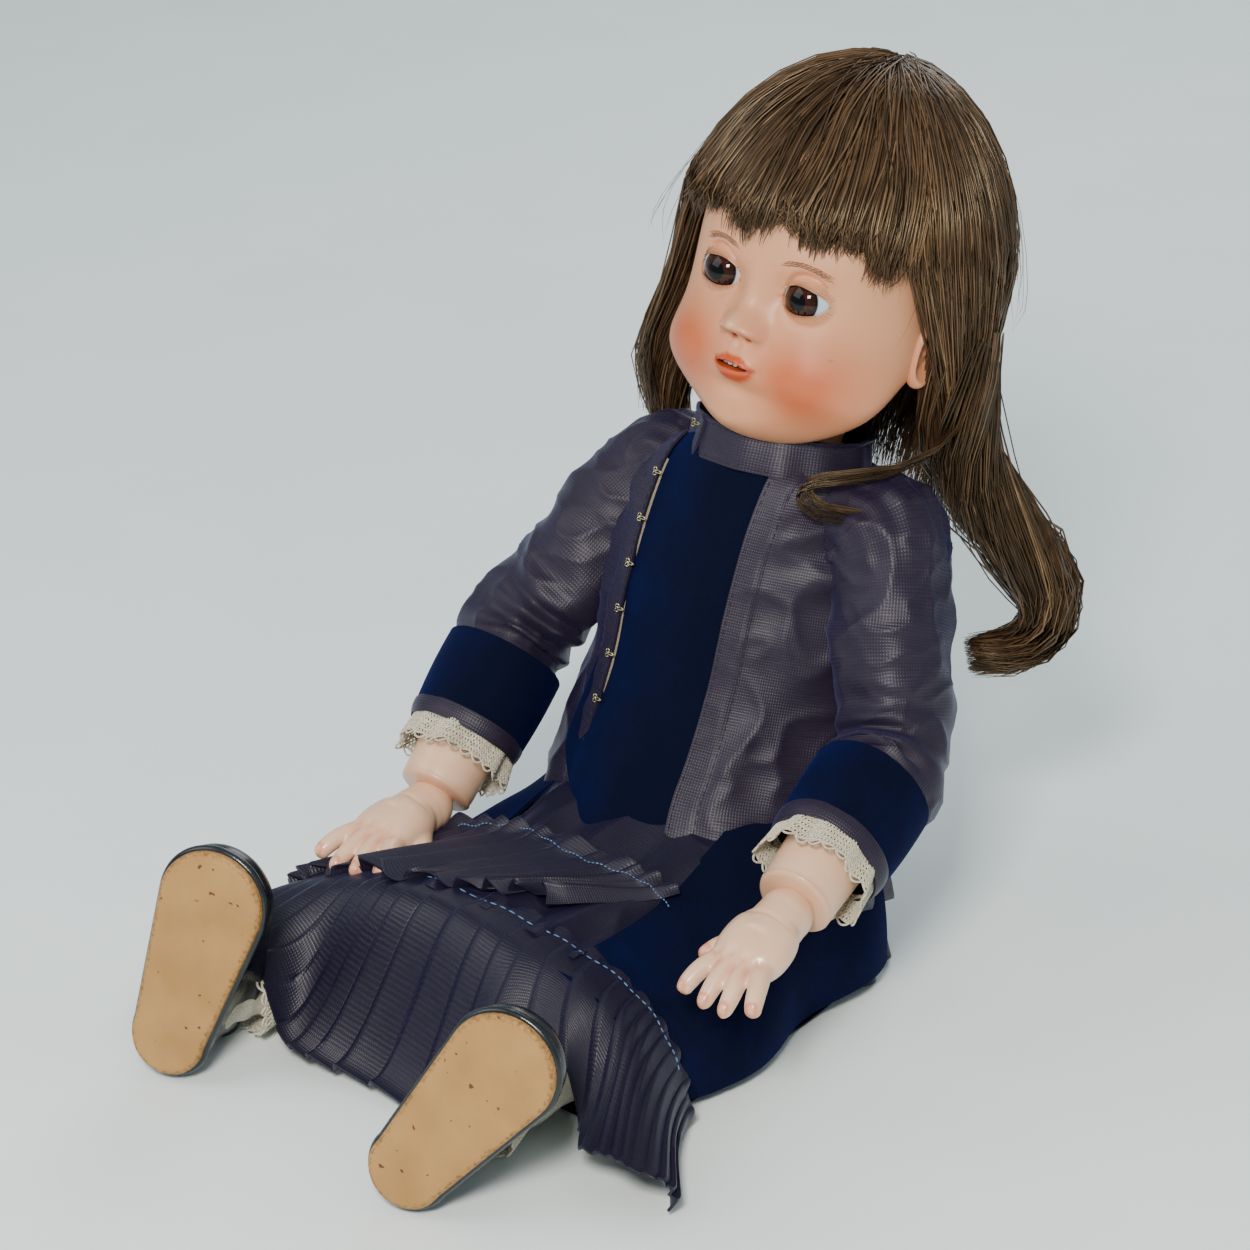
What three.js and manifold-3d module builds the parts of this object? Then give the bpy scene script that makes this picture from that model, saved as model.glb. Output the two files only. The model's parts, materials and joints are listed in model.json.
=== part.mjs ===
// A seated bisque-head doll: a socket head with sleeping eyes on a ball-jointed, elastic-strung
// wood and composition body, dressed in a silk and velvet jacket and skirt.
// Millimetres, +Z up, the doll faces -Y, and its own left side is +X.
// The origin is on the table, under the middle of the hips.
import * as THREE from "three";
import { mergeVertices } from "three/addons/utils/BufferGeometryUtils.js";
import Module from "manifold-3d";

const wasm = await Module();
wasm.setup();

// ---------------------------------------------------------------- driving dimensions
const V = (x, y, z) => new THREE.Vector3(x, y, z);
const rad = THREE.MathUtils.degToRad;
const GAP = 0.35; // air between two pieces that touch on the real doll
const LEAN = 15.6; // degrees that the torso leans back
const HIP_HEIGHT = 36; // hip centres above the table
const HIP_X = 32;
const NECK_Z = 176; // neck centre above the hips, along the torso
const SHOULDER_X = 54;
const SHOULDER_Z = 148;
const HEAD_YAW = 3; // the head looks a little to the doll's own left
const HEAD_PITCH = 5.2;
const HEAD_ROLL = 5.5; // and leans over to that side

const NECK_R = 20;
const SHOULDER_R = 15;
const ELBOW_R = 12;
const WRIST_R = 10.5;
const HIP_R = 22;
const KNEE_R = 14;
const BORE_R = 4.2; // channel for the elastic
const ELASTIC_R = 1.4;
const WALL = 4; // composition wall of the torso, and bisque wall of the head

const EYE_R = 10;
const EYE_X = 19;
const EYE_Y = -35;
const EYE_Z = 60;
const CROWN_Z = 112; // where the head is cut open under the pate

const UPPER_ARM = 88;
const FOREARM = 84;
const CUFF_START = 16;
const CUFF_END = 53;
const LACE_END = 64;
const THIGH_SHARE = 0.485; // the knee's place between hip and ankle

const SOLE_LENGTH = 94;
const SOLE_THICK = 3;
const HEEL_R = 14.5;
const TOE_R = 20.5;
const SHOE_WALL = 1.6;
const CLOTH = 1.6; // cloth with its lining

// Which way each limb points, by side: -1 is the doll's right and +1 its left.
const ARM = {
  [-1]: { upper: V(-31, -51, -61), fore: V(7, -62, -49), hand: V(2, -46, -4) },
  [1]: { upper: V(30, -37, -77), fore: V(11, -73, -28), hand: V(4, -46, -14) },
};
const FOOT = {
  [-1]: { heel: V(-88, -218, 0), yaw: 20, tilt: -6, roll: 17 },
  [1]: { heel: V(38, -229, 0), yaw: 17, tilt: -5, roll: 37 },
};
const SIDE_NAME = { [-1]: "right", [1]: "left" };
const UP = V(0, 0, 1);

// ---------------------------------------------------------------- finishes
const finish = (color, roughness, metalness = 0) =>
  new THREE.MeshStandardMaterial({ color, roughness, metalness });
const bisque = finish("#e3b597", 0.45);
const composition = finish("#e2bb9b", 0.3);
const wood = finish("#c79f78", 0.5);
const steel = finish("#9a9a98", 0.35, 1);
const lead = finish("#6b6d70", 0.6, 0.8);
const glass = finish("#3a1a10", 0.05);
const enamel = finish("#efe9dd", 0.2);
const cork = finish("#b48a5c", 0.9);
const net = finish("#6d5c4a", 0.95);
const hair = finish("#4d3824", 0.45);
const silk = finish("#4a4460", 0.5);
const velvet = finish("#0d1a4a", 0.85);
const lace = finish("#dcd8c4", 0.9);
const cotton = finish("#e6e0cf", 0.85);
const leather = finish("#15191f", 0.35);
const soleLeather = finish("#b5996a", 0.6);
const elastic = finish("#d8cdb8", 0.8);

// ---------------------------------------------------------------- solids
function signedVolume(position, index) {
  let total = 0;
  const [a, b, c] = [V(), V(), V()];
  for (let i = 0; i < index.length; i += 3) {
    a.fromBufferAttribute(position, index[i]);
    b.fromBufferAttribute(position, index[i + 1]);
    c.fromBufferAttribute(position, index[i + 2]);
    total += a.dot(b.cross(c));
  }
  return total;
}

// A closed three.js geometry as a solid, whichever way its faces point.
function solid(geometry) {
  const bare = geometry.clone();
  bare.deleteAttribute("normal");
  bare.deleteAttribute("uv");
  const merged = mergeVertices(bare, 1e-4);
  let index = [];
  const all = merged.index.array;
  for (let i = 0; i < all.length; i += 3) {
    const [a, b, c] = [all[i], all[i + 1], all[i + 2]];
    if (a !== b && b !== c && c !== a) index.push(a, b, c);
  }
  if (signedVolume(merged.attributes.position, index) < 0) index = index.reverse();
  return new wasm.Manifold(
    new wasm.Mesh({
      numProp: 3,
      vertProperties: new Float32Array(merged.attributes.position.array),
      triVerts: new Uint32Array(index),
    }),
  );
}

function geometryOf(made) {
  const mesh = made.getMesh();
  return new THREE.BufferGeometry()
    .setAttribute("position", new THREE.BufferAttribute(new Float32Array(mesh.vertProperties), 3))
    .setIndex(new THREE.BufferAttribute(new Uint32Array(mesh.triVerts), 1));
}

// A solid carried through matrices, one after another.
const placed = (made, ...matrices) =>
  solid(matrices.reduce((shape, matrix) => shape.applyMatrix4(matrix), geometryOf(made)));

// Joins solids, or cuts the rest from the first.
const join = (first, ...rest) => rest.reduce((made, s) => made.add(s), first);
const cut = (first, ...rest) => rest.reduce((made, s) => made.subtract(s), first);

function piece(name, made, material) {
  const mesh = new THREE.Mesh(geometryOf(made), material);
  mesh.name = name;
  return mesh;
}

const ball = (r, at = V(0, 0, 0), around = 12) =>
  solid(new THREE.SphereGeometry(r, around, Math.round(around * 0.6)).translate(at.x, at.y, at.z));

// The room that a ball turns in: its flat facets stay outside the ball's corners.
const socket = (r, at, around = 12) => ball((r + GAP) * 1.05, at, around);

const ellipsoid = (rx, ry, rz, at, around = 12) =>
  solid(
    new THREE.SphereGeometry(1, around, Math.round(around * 0.6))
      .scale(rx, ry, rz)
      .translate(at.x, at.y, at.z),
  );

const block = (low, high) =>
  solid(
    new THREE.BoxGeometry(high.x - low.x, high.y - low.y, high.z - low.z).translate(
      (low.x + high.x) / 2,
      (low.y + high.y) / 2,
      (low.z + high.z) / 2,
    ),
  );

function rod(from, to, r, around = 8) {
  const along = to.clone().sub(from);
  const shape = new THREE.CylinderGeometry(r, r, along.length(), around);
  shape.translate(0, along.length() / 2, 0);
  shape.applyQuaternion(new THREE.Quaternion().setFromUnitVectors(V(0, 1, 0), along.normalize()));
  return solid(shape.translate(from.x, from.y, from.z));
}

// A solid turned about +Z, from [height, radius] pairs; it is closed on the axis at both ends.
function turned(profile, around = 12) {
  const points = profile.map(([z, r]) => new THREE.Vector2(r, z));
  points.unshift(new THREE.Vector2(0, profile[0][0]));
  points.push(new THREE.Vector2(0, profile[profile.length - 1][0]));
  return solid(new THREE.LatheGeometry(points, around).rotateX(Math.PI / 2));
}

// A closed skin through rings that all hold the same number of points.
function loft(rings) {
  const count = rings[0].length;
  const flat = rings.flat();
  const index = [];
  rings.slice(1).forEach((_, k) => {
    for (let i = 0; i < count; i++) {
      const [a, b] = [k * count + i, k * count + ((i + 1) % count)];
      index.push(a, b, a + count, b, b + count, a + count);
    }
  });
  [0, rings.length - 1].forEach((k) => {
    const middle = V(0, 0, 0);
    rings[k].forEach((p) => middle.addScaledVector(p, 1 / count));
    flat.push(middle);
    for (let i = 0; i < count; i++) {
      const [a, b] = [k * count + i, k * count + ((i + 1) % count)];
      index.push(...(k ? [a, b, flat.length - 1] : [b, a, flat.length - 1]));
    }
  });
  return solid(new THREE.BufferGeometry().setFromPoints(flat).setIndex(index));
}

// An oval ring at height z: half-width rx, and its own half-depth in front and behind.
function oval(z, rx, front, back, middleY = 0, around = 16) {
  return Array.from({ length: around }, (_, i) => {
    const a = (i / around) * 2 * Math.PI;
    const depth = Math.sin(a) < 0 ? front : back;
    return V(rx * Math.cos(a), middleY + depth * Math.sin(a), z);
  });
}

// A cord pulled straight from point to point.
function cordThrough(points, r, around = 6) {
  let way = points[1].clone().sub(points[0]).normalize();
  const turn = new THREE.Quaternion().setFromUnitVectors(UP, way);
  const rings = points.map((at, i) => {
    const after = points[Math.min(i + 1, points.length - 1)];
    const before = points[Math.max(i - 1, 0)];
    const next = after.clone().sub(at).normalize().add(at.clone().sub(before).normalize());
    next.normalize();
    turn.premultiply(new THREE.Quaternion().setFromUnitVectors(way, next));
    way = next;
    return oval(0, r, r, r, 0, around).map((p) => p.applyQuaternion(turn).add(at));
  });
  return loft(rings);
}

// A group whose +Z runs from one point to another.
function aimed(from, to) {
  const group = new THREE.Group();
  group.position.copy(from);
  group.quaternion.setFromUnitVectors(UP, to.clone().sub(from).normalize());
  return group;
}

// A round strand through points, as thick along its length as the list of radii says.
function strand(points, radii, steps, around) {
  const curve = new THREE.CatmullRomCurve3(points, false, "centripetal");
  const frames = curve.computeFrenetFrames(steps);
  const rings = Array.from({ length: steps + 1 }, (_, i) => {
    const at = curve.getPointAt(i / steps);
    const spot = (i / steps) * (radii.length - 1);
    const low = Math.min(Math.floor(spot), radii.length - 2);
    const r = THREE.MathUtils.lerp(radii[low], radii[low + 1], spot - low);
    return Array.from({ length: around }, (_, k) => {
      const a = (k / around) * 2 * Math.PI;
      return at
        .clone()
        .addScaledVector(frames.normals[i], r * Math.cos(a))
        .addScaledVector(frames.binormals[i], r * Math.sin(a));
    });
  });
  return loft(rings);
}

const doll = new THREE.Group();
const torsoFrame = new THREE.Group();
torsoFrame.position.set(0, 0, HIP_HEIGHT);
torsoFrame.rotation.x = -rad(LEAN);
const headFrame = new THREE.Group();
headFrame.position.set(0, 0, NECK_Z);
headFrame.rotation.set(rad(HEAD_PITCH), rad(HEAD_ROLL), rad(HEAD_YAW), "ZXY");
torsoFrame.add(headFrame);
doll.add(torsoFrame);
doll.updateMatrixWorld(true);
const fromTorso = (p) => torsoFrame.localToWorld(p.clone());
const toTorso = (p) => torsoFrame.worldToLocal(p.clone());

// ---------------------------------------------------------------- head
// [height, half-width, front, back, middle]; wall is taken off for the hollow inside.
const HEAD_RINGS = [
  [-17.5, 9, 9, 9, 0],
  [-12, 16, 16, 16, 0],
  [0, 20, 20, 20, 0],
  [6.5, 20, 20, 22, 1],
  [9, 29, 36, 25, -5],
  [17, 41, 44, 32, -3],
  [34, 49, 49, 42, 1],
  [58, 49.5, 50, 49, 3],
  [80, 48.5, 50, 52, 4],
  [99, 45, 45, 49, 5],
  [CROWN_Z, 39, 37, 42, 6],
];

function headVolume(offset, top = CROWN_Z) {
  const rings = HEAD_RINGS.map(([z, rx, front, back, mid]) =>
    oval(z === CROWN_Z ? top : z, rx + offset, front + offset, back + offset, mid),
  );
  return loft(rings);
}

const domeVolume = (offset) =>
  ellipsoid(39 + offset, 39.5 + offset, 19 + offset, V(0, 8, CROWN_Z), 14);

function makeHead() {
  const hollow = loft(
    HEAD_RINGS.filter(([z]) => z !== 6.5 && z !== 9).map(([z, rx, front, back, mid], i) =>
      oval(
        i === 0 ? -14 : z === CROWN_Z ? CROWN_Z + 3 : z,
        rx - WALL,
        front - WALL,
        back - WALL,
        mid,
        14,
      ),
    ),
  );
  const nose = ellipsoid(6, 8, 8, V(0, -48, 40), 8);
  const ears = [-1, 1].map((s) => ellipsoid(5, 8, 14, V(s * 49, 10, 44), 8));
  const mouth = block(V(-7, -60, 23), V(7, -38, 27));
  const eyeHoles = [-1, 1].map((s) => ellipsoid(9.5, 30, 6.5, V(s * EYE_X, EYE_Y - 12, EYE_Z)));
  const eyeSeats = [-1, 1].map((s) => socket(EYE_R, V(s * EYE_X, EYE_Y, EYE_Z)));
  const hookHole = rod(V(0, 0, -30), V(0, 0, 0), 5);
  return cut(join(headVolume(0), nose, ...ears), hollow, mouth, ...eyeHoles, ...eyeSeats, hookHole);
}

function makePate() {
  const dome = cut(domeVolume(0), domeVolume(-2.2));
  const below = block(V(-80, -80, 0), V(80, 80, CROWN_Z + GAP));
  return cut(dome, below);
}

function makeWigCap() {
  const shell = cut(
    join(headVolume(1.6), domeVolume(1.6)),
    join(headVolume(0.5), domeVolume(0.5)),
  );
  const below = block(V(-80, -80, -60), V(80, 80, 84));
  return cut(shell, below);
}

function makeHair() {
  const mass = loft([
    oval(12, 57, 10, 50, 8, 16),
    oval(30, 68, 22, 62, 6, 16),
    oval(55, 72, 40, 66, 4, 16),
    oval(82, 70, 60, 66, 3, 16),
    oval(108, 61, 58, 60, 3, 16),
    oval(127, 44, 44, 46, 4, 16),
    oval(138, 22, 22, 24, 5, 16),
    oval(141, 8, 8, 8, 5, 16),
  ]);
  const face = ellipsoid(47, 60, 44, V(0, -50, 42), 14);
  const ears = [-1, 1].map((s) => ellipsoid(5.8, 8.8, 14.8, V(s * 49, 10, 44), 8));
  return cut(mass, headVolume(2), domeVolume(2), face, ...ears);
}

const eye = (s) => ball(EYE_R, V(s * EYE_X, EYE_Y, EYE_Z));

function makeEyeRocker() {
  const reach = EYE_X - EYE_R - GAP;
  const bar = rod(V(-reach, EYE_Y, EYE_Z), V(reach, EYE_Y, EYE_Z), 1.6);
  const stem = rod(V(0, EYE_Y, EYE_Z), V(0, -15, 31), 1.5);
  return join(bar, stem, ball(6, V(0, -14, 29), 8));
}

const makeTeeth = () => block(V(-6, -40.5, 25.2), V(6, -37, 29.5));

headFrame.add(
  piece("head", makeHead(), bisque),
  piece("pate", makePate(), cork),
  piece("wig_cap", makeWigCap(), net),
  piece("wig_hair", makeHair(), hair),
  piece("eye_right", eye(-1), glass),
  piece("eye_left", eye(1), glass),
  piece("eye_rocker", makeEyeRocker(), lead),
  piece("teeth", makeTeeth(), enamel),
);

// The long hair that lies on the shoulders and back.
const hairFall = loft([
  oval(150, 46, 6, 8, 53, 12),
  oval(170, 58, 7, 12, 52, 12),
  oval(184, 60, 7, 14, 50, 12),
]);
torsoFrame.add(piece("hair_fall", hairFall, hair));
doll.add(
  piece(
    "curl_left",
    strand(
      [V(81, 84, 236), V(86, 94, 206), V(98, 102, 176), V(106, 100, 150), V(92, 96, 124)],
      [8, 12, 15, 14, 7],
      8,
      8,
    ),
    hair,
  ),
  piece(
    "curl_right",
    strand([V(-82, 74, 232), V(-88, 76, 206), V(-90, 76, 180)], [8, 14, 8], 5, 8),
    hair,
  ),
);

// ---------------------------------------------------------------- torso
// [height, half-width, front, back, middle]
const TORSO_RINGS = [
  [-27, 28, 18, 19, 0],
  [-19, 46, 28, 34, 0],
  [-4, 54, 36, 40, 0],
  [22, 51, 37, 35, 0],
  [52, 43, 34, 29, 0],
  [88, 46.5, 36, 31, 0],
  [122, 47, 34, 31, 0],
  [150, 47, 28, 26, 0],
  [164, 33, 25, 24, 0],
  [171, 25, 24, 23, 0],
];
const torsoVolume = (offset) =>
  loft(TORSO_RINGS.map(([z, rx, f, b, m]) => oval(z, rx + offset, f + offset, b + offset, m)));

// How far the hips swing, in degrees from the seated thigh: raised is negative.
const HIP_SWING = [-25, 74];

function makeTorso() {
  const neck = V(0, 0, NECK_Z);
  const hips = [-1, 1].map((s) => V(s * HIP_X, 0, 0));
  const shoulders = [-1, 1].map((s) => V(s * SHOULDER_X, 0, SHOULDER_Z));
  const hollow = cut(
    loft(
      TORSO_RINGS.filter(([z]) => z > -25).map(([z, rx, f, b, m]) =>
        oval(z, rx - WALL, f - WALL, b - WALL, m, 14),
      ),
    ),
    ball(NECK_R + WALL, neck),
    ...hips.map((p) => ball(HIP_R + WALL, p)),
    ...shoulders.map((p) => ball(SHOULDER_R + WALL, p)),
  );
  const thighSweep = [];
  for (let a = HIP_SWING[0] - 4; a <= HIP_SWING[1] + 6; a += 27) {
    const turn = rad(a);
    const way = toTorso(V(0, -Math.cos(turn), HIP_HEIGHT - Math.sin(turn)));
    hips.forEach((p) => {
      const far = p.clone().addScaledVector(way, 74);
      thighSweep.push(rod(p, far, 27, 10));
    });
  }
  const sockets = [
    socket(NECK_R, neck, 14),
    ...hips.map((p) => socket(HIP_R, p)),
    ...shoulders.map((p) => socket(SHOULDER_R, p)),
  ];
  const channels = [
    rod(neck, V(0, 0, 130), 9),
    rod(shoulders[0], shoulders[1], 6),
    ...hips.map((p) => rod(p, V(0, 0, 120), 6)),
  ];
  return cut(torsoVolume(0), hollow, ...thighSweep, ...sockets, ...channels);
}

const RING_Z = NECK_Z - 36; // the hook's ring inside the torso
function makeNeckHook() {
  const button = cut(ball(NECK_R - WALL - 2.4, V(0, 0, NECK_Z)), block(V(-30, -30, NECK_Z - 8), V(30, 30, NECK_Z + 30)));
  const stem = rod(V(0, 0, NECK_Z - 10), V(0, 0, RING_Z + 5), 1.7);
  const ring = solid(
    new THREE.TorusGeometry(5, 1.4, 6, 12).rotateY(Math.PI / 2).translate(0, 0, RING_Z),
  );
  return join(button, stem, ring);
}

torsoFrame.add(piece("torso", makeTorso(), composition), piece("neck_hook", makeNeckHook(), steel));

// ---------------------------------------------------------------- limbs
// A limb along +Z with a cup for the ball at each end and a channel for the elastic.
function limb(profile, cups, length) {
  const made = turned(profile);
  const channel = rod(V(0, 0, -5), V(0, 0, length + 5), BORE_R);
  return cut(made, channel, socket(cups[0], V(0, 0, 0)), socket(cups[1], V(0, 0, length)));
}

// A joint ball with channels from its middle towards two places.
function jointBall(r, at, ways) {
  const channels = ways.map((to) => {
    const behind = at.clone().addScaledVector(to.clone().sub(at).normalize(), -BORE_R);
    return rod(behind, to, BORE_R - 0.2, 5);
  });
  return cut(ball(r, at, 10), ...channels);
}

// Room on the inside of a bend, so that the limb beyond the ball can fold in.
// at is the ball's middle, along runs into the limb that is cut, and towards is the way it folds.
function foldRoom(at, along, towards, inset) {
  const x = along.clone().normalize();
  const y = towards.clone().addScaledVector(x, -towards.dot(x)).normalize();
  const basis = new THREE.Matrix4().makeBasis(x, y, x.clone().cross(y)).setPosition(at);
  return placed(block(V(-2, inset, -30), V(15, 40, 30)), basis);
}

const shoulderAt = (s) => fromTorso(V(s * SHOULDER_X, 0, SHOULDER_Z));
const hipAt = (s) => fromTorso(V(s * HIP_X, 0, 0));

const UPPER_ARM_PROFILE = [
  [9, 12.5],
  [13, 15.5],
  [40, 15],
  [70, 13],
  [79, 11],
];
const FOREARM_PROFILE = [
  [5, 11],
  [12, 14.5],
  [40, 15.8],
  [72, 14.6],
  [77, 11.5],
];

function makeHand(s) {
  const palm = ellipsoid(14.5, 8, 17, V(0, 0, 22), 10);
  const ballEnd = ball(WRIST_R, V(0, 0, 0), 10);
  const wrist = turned([[2, 9.4], [16, 9]], 8);
  const digit = (from, to, r) => strand([from, to], [r, r, r, r * 0.6], 3, 6);
  const fingers = [-1.5, -0.5, 0.5, 1.5].map((k) =>
    digit(V(k * 6, 0, 24), V(k * 9.5, -2, 51 - Math.abs(k) * 3.2), 3.5),
  );
  const thumb = digit(V(-s * 7, 0, 14), V(-s * 21, -1, 29), 3.9);
  return join(palm, ballEnd, wrist, thumb, ...fingers);
}

// A sleeve, cuff or lace round the forearm: a turned shell.
function tubeShell(profile, thick, around = 12) {
  const inside = profile.map(([z, r]) => [z, r - thick]);
  inside[0] = [inside[0][0] - 1, inside[0][1]];
  inside[inside.length - 1] = [inside.at(-1)[0] + 1, inside.at(-1)[1]];
  return cut(turned(profile, around), turned(inside, around));
}

// A bent sleeve from the shoulder over the elbow to under the cuff.
function makeSleeve(shoulder, elbow, wrist) {
  const cuffAt = elbow.clone().lerp(wrist, (CUFF_START - 1) / FOREARM);
  const down = elbow.clone().sub(shoulder).normalize();
  const start = shoulder.clone().addScaledVector(down, 10);
  const curve = new THREE.QuadraticBezierCurve3(start, elbow, cuffAt);
  const whole = (grow, thin) => {
    const steps = 6;
    const rings = Array.from({ length: steps + 1 }, (_, i) => {
      const t = -grow + (i / steps) * (1 + 2 * grow);
      const at = curve.getPoint(t);
      const way = curve.getTangent(Math.min(Math.max(t, 0), 1));
      const turn = new THREE.Quaternion().setFromUnitVectors(UP, way);
      const r = THREE.MathUtils.lerp(21.5, 19.4, i / steps) - thin;
      return oval(0, r, r, r, 0, 12).map((p) => p.applyQuaternion(turn).add(at));
    });
    return loft(rings);
  };
  return cut(whole(0, 0), whole(0.05, 1.2));
}

const armPoints = {};
const torsoRoom = placed(torsoVolume(1.2), torsoFrame.matrixWorld);
for (const s of [-1, 1]) {
  const side = SIDE_NAME[s];
  const shoulder = shoulderAt(s);
  const elbow = shoulder.clone().addScaledVector(ARM[s].upper.normalize(), UPPER_ARM);
  const wrist = elbow.clone().addScaledVector(ARM[s].fore.normalize(), FOREARM);
  const inner = fromTorso(V(s * 14, 7, SHOULDER_Z));
  const upper = aimed(shoulder, elbow);
  upper.updateMatrixWorld(true);
  // The inner face is flat beside the chest, so that the arm can swing past it.
  const chest = placed(
    block(V(-SHOULDER_X + 4, -150, -150), V(SHOULDER_X - 4, 150, 300)),
    torsoFrame.matrixWorld,
    upper.matrixWorld.clone().invert(),
  );
  const upperFold = foldRoom(elbow, shoulder.clone().sub(elbow), ARM[s].fore, 4);
  const armRoot = limb(UPPER_ARM_PROFILE, [SHOULDER_R, ELBOW_R], UPPER_ARM);
  const upperRoom = placed(upperFold, upper.matrixWorld.clone().invert());
  upper.add(piece(`upper_arm_${side}`, cut(armRoot, chest, upperRoom), wood));
  const fore = aimed(elbow, wrist);
  fore.updateMatrixWorld(true);
  const foreFold = foldRoom(elbow, ARM[s].fore, shoulder.clone().sub(elbow), 4);
  const foreRoom = placed(foreFold, fore.matrixWorld.clone().invert());
  const foreRoot = limb(FOREARM_PROFILE, [ELBOW_R, WRIST_R], FOREARM);
  fore.add(
    piece(`forearm_${side}`, cut(foreRoot, foreRoom), composition),
    piece(`cuff_${side}`, tubeShell([[CUFF_START, 22.5], [CUFF_END, 20.5]], 1.8), velvet),
    piece(`cuff_lace_${side}`, tubeShell([[CUFF_END - 6, 18], [LACE_END, 19.5]], 0.9), lace),
  );
  const palm = aimed(wrist, wrist.clone().add(ARM[s].hand));
  palm.add(piece(`hand_${side}`, makeHand(s), composition));
  doll.add(
    upper,
    fore,
    palm,
    piece(`shoulder_ball_${side}`, jointBall(SHOULDER_R, shoulder, [inner, elbow]), wood),
    piece(`elbow_ball_${side}`, jointBall(ELBOW_R, elbow, [shoulder, wrist]), wood),
    piece(`sleeve_${side}`, cut(makeSleeve(shoulder, elbow, wrist), torsoRoom), silk),
  );
  armPoints[s] = { shoulder, elbow, wrist };
}

// ---------------------------------------------------------------- legs and shoes
const THIGH_PROFILE = (l) => [
  [7, 21],
  [14, 22.5],
  [40, 20.5],
  [l - 16, 15.8],
  [l - 8, 13],
];
const SHIN_PROFILE = (l) => [
  [7, 13],
  [15, 15],
  [34, 16.2],
  [l * 0.62, 12.4],
  [l * 0.86, 10],
  [l + 4, 10],
];

// The sole's outline: a small heel circle and a large toe circle with straight sides.
function soleOutline(inset, toeEnd = SOLE_LENGTH, steps = 6) {
  const [heelR, toeR] = [HEEL_R - inset, Math.min(TOE_R, toeEnd / 2.6) - inset];
  const toeMiddle = toeEnd - inset - toeR;
  const lean = Math.asin((toeR - heelR) / (toeMiddle - HEEL_R));
  const points = [];
  for (let i = 0; i <= steps; i++) {
    const a = Math.PI - lean + (i / steps) * (Math.PI + 2 * lean);
    points.push([heelR * Math.cos(a), HEEL_R + heelR * Math.sin(a)]);
  }
  for (let i = 0; i <= steps; i++) {
    const a = lean * -1 + (i / steps) * (Math.PI + 2 * lean);
    points.push([toeR * Math.cos(a), toeMiddle + toeR * Math.sin(a)]);
  }
  return points;
}

const SHOE_RINGS = [
  [SOLE_THICK + GAP, 0.9, SOLE_LENGTH],
  [12, 0.6, SOLE_LENGTH],
  [19, 1.6, 87],
  [26, 2.4, 72],
  [33, 1.6, 54],
  [39, 0.8, 47],
];
// The shoe's shape as a solid in the foot's frame, grown inwards by inset.
const shoeVolume = (inset, bottom, top) =>
  loft(
    SHOE_RINGS.map(([y, ease, toe], i) => {
      const height = i === 0 ? y + bottom : i === SHOE_RINGS.length - 1 ? y + top : y;
      return soleOutline(ease + inset, toe).map(([x, z]) => V(x, height, z));
    }),
  );

function makeBow() {
  const loops = [-1, 1].map((s) => ellipsoid(6.5, 2.2, 4, V(s * 6.5, 24.6, 70), 6));
  return join(ball(3, V(0, 25, 70), 6), ...loops);
}

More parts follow.
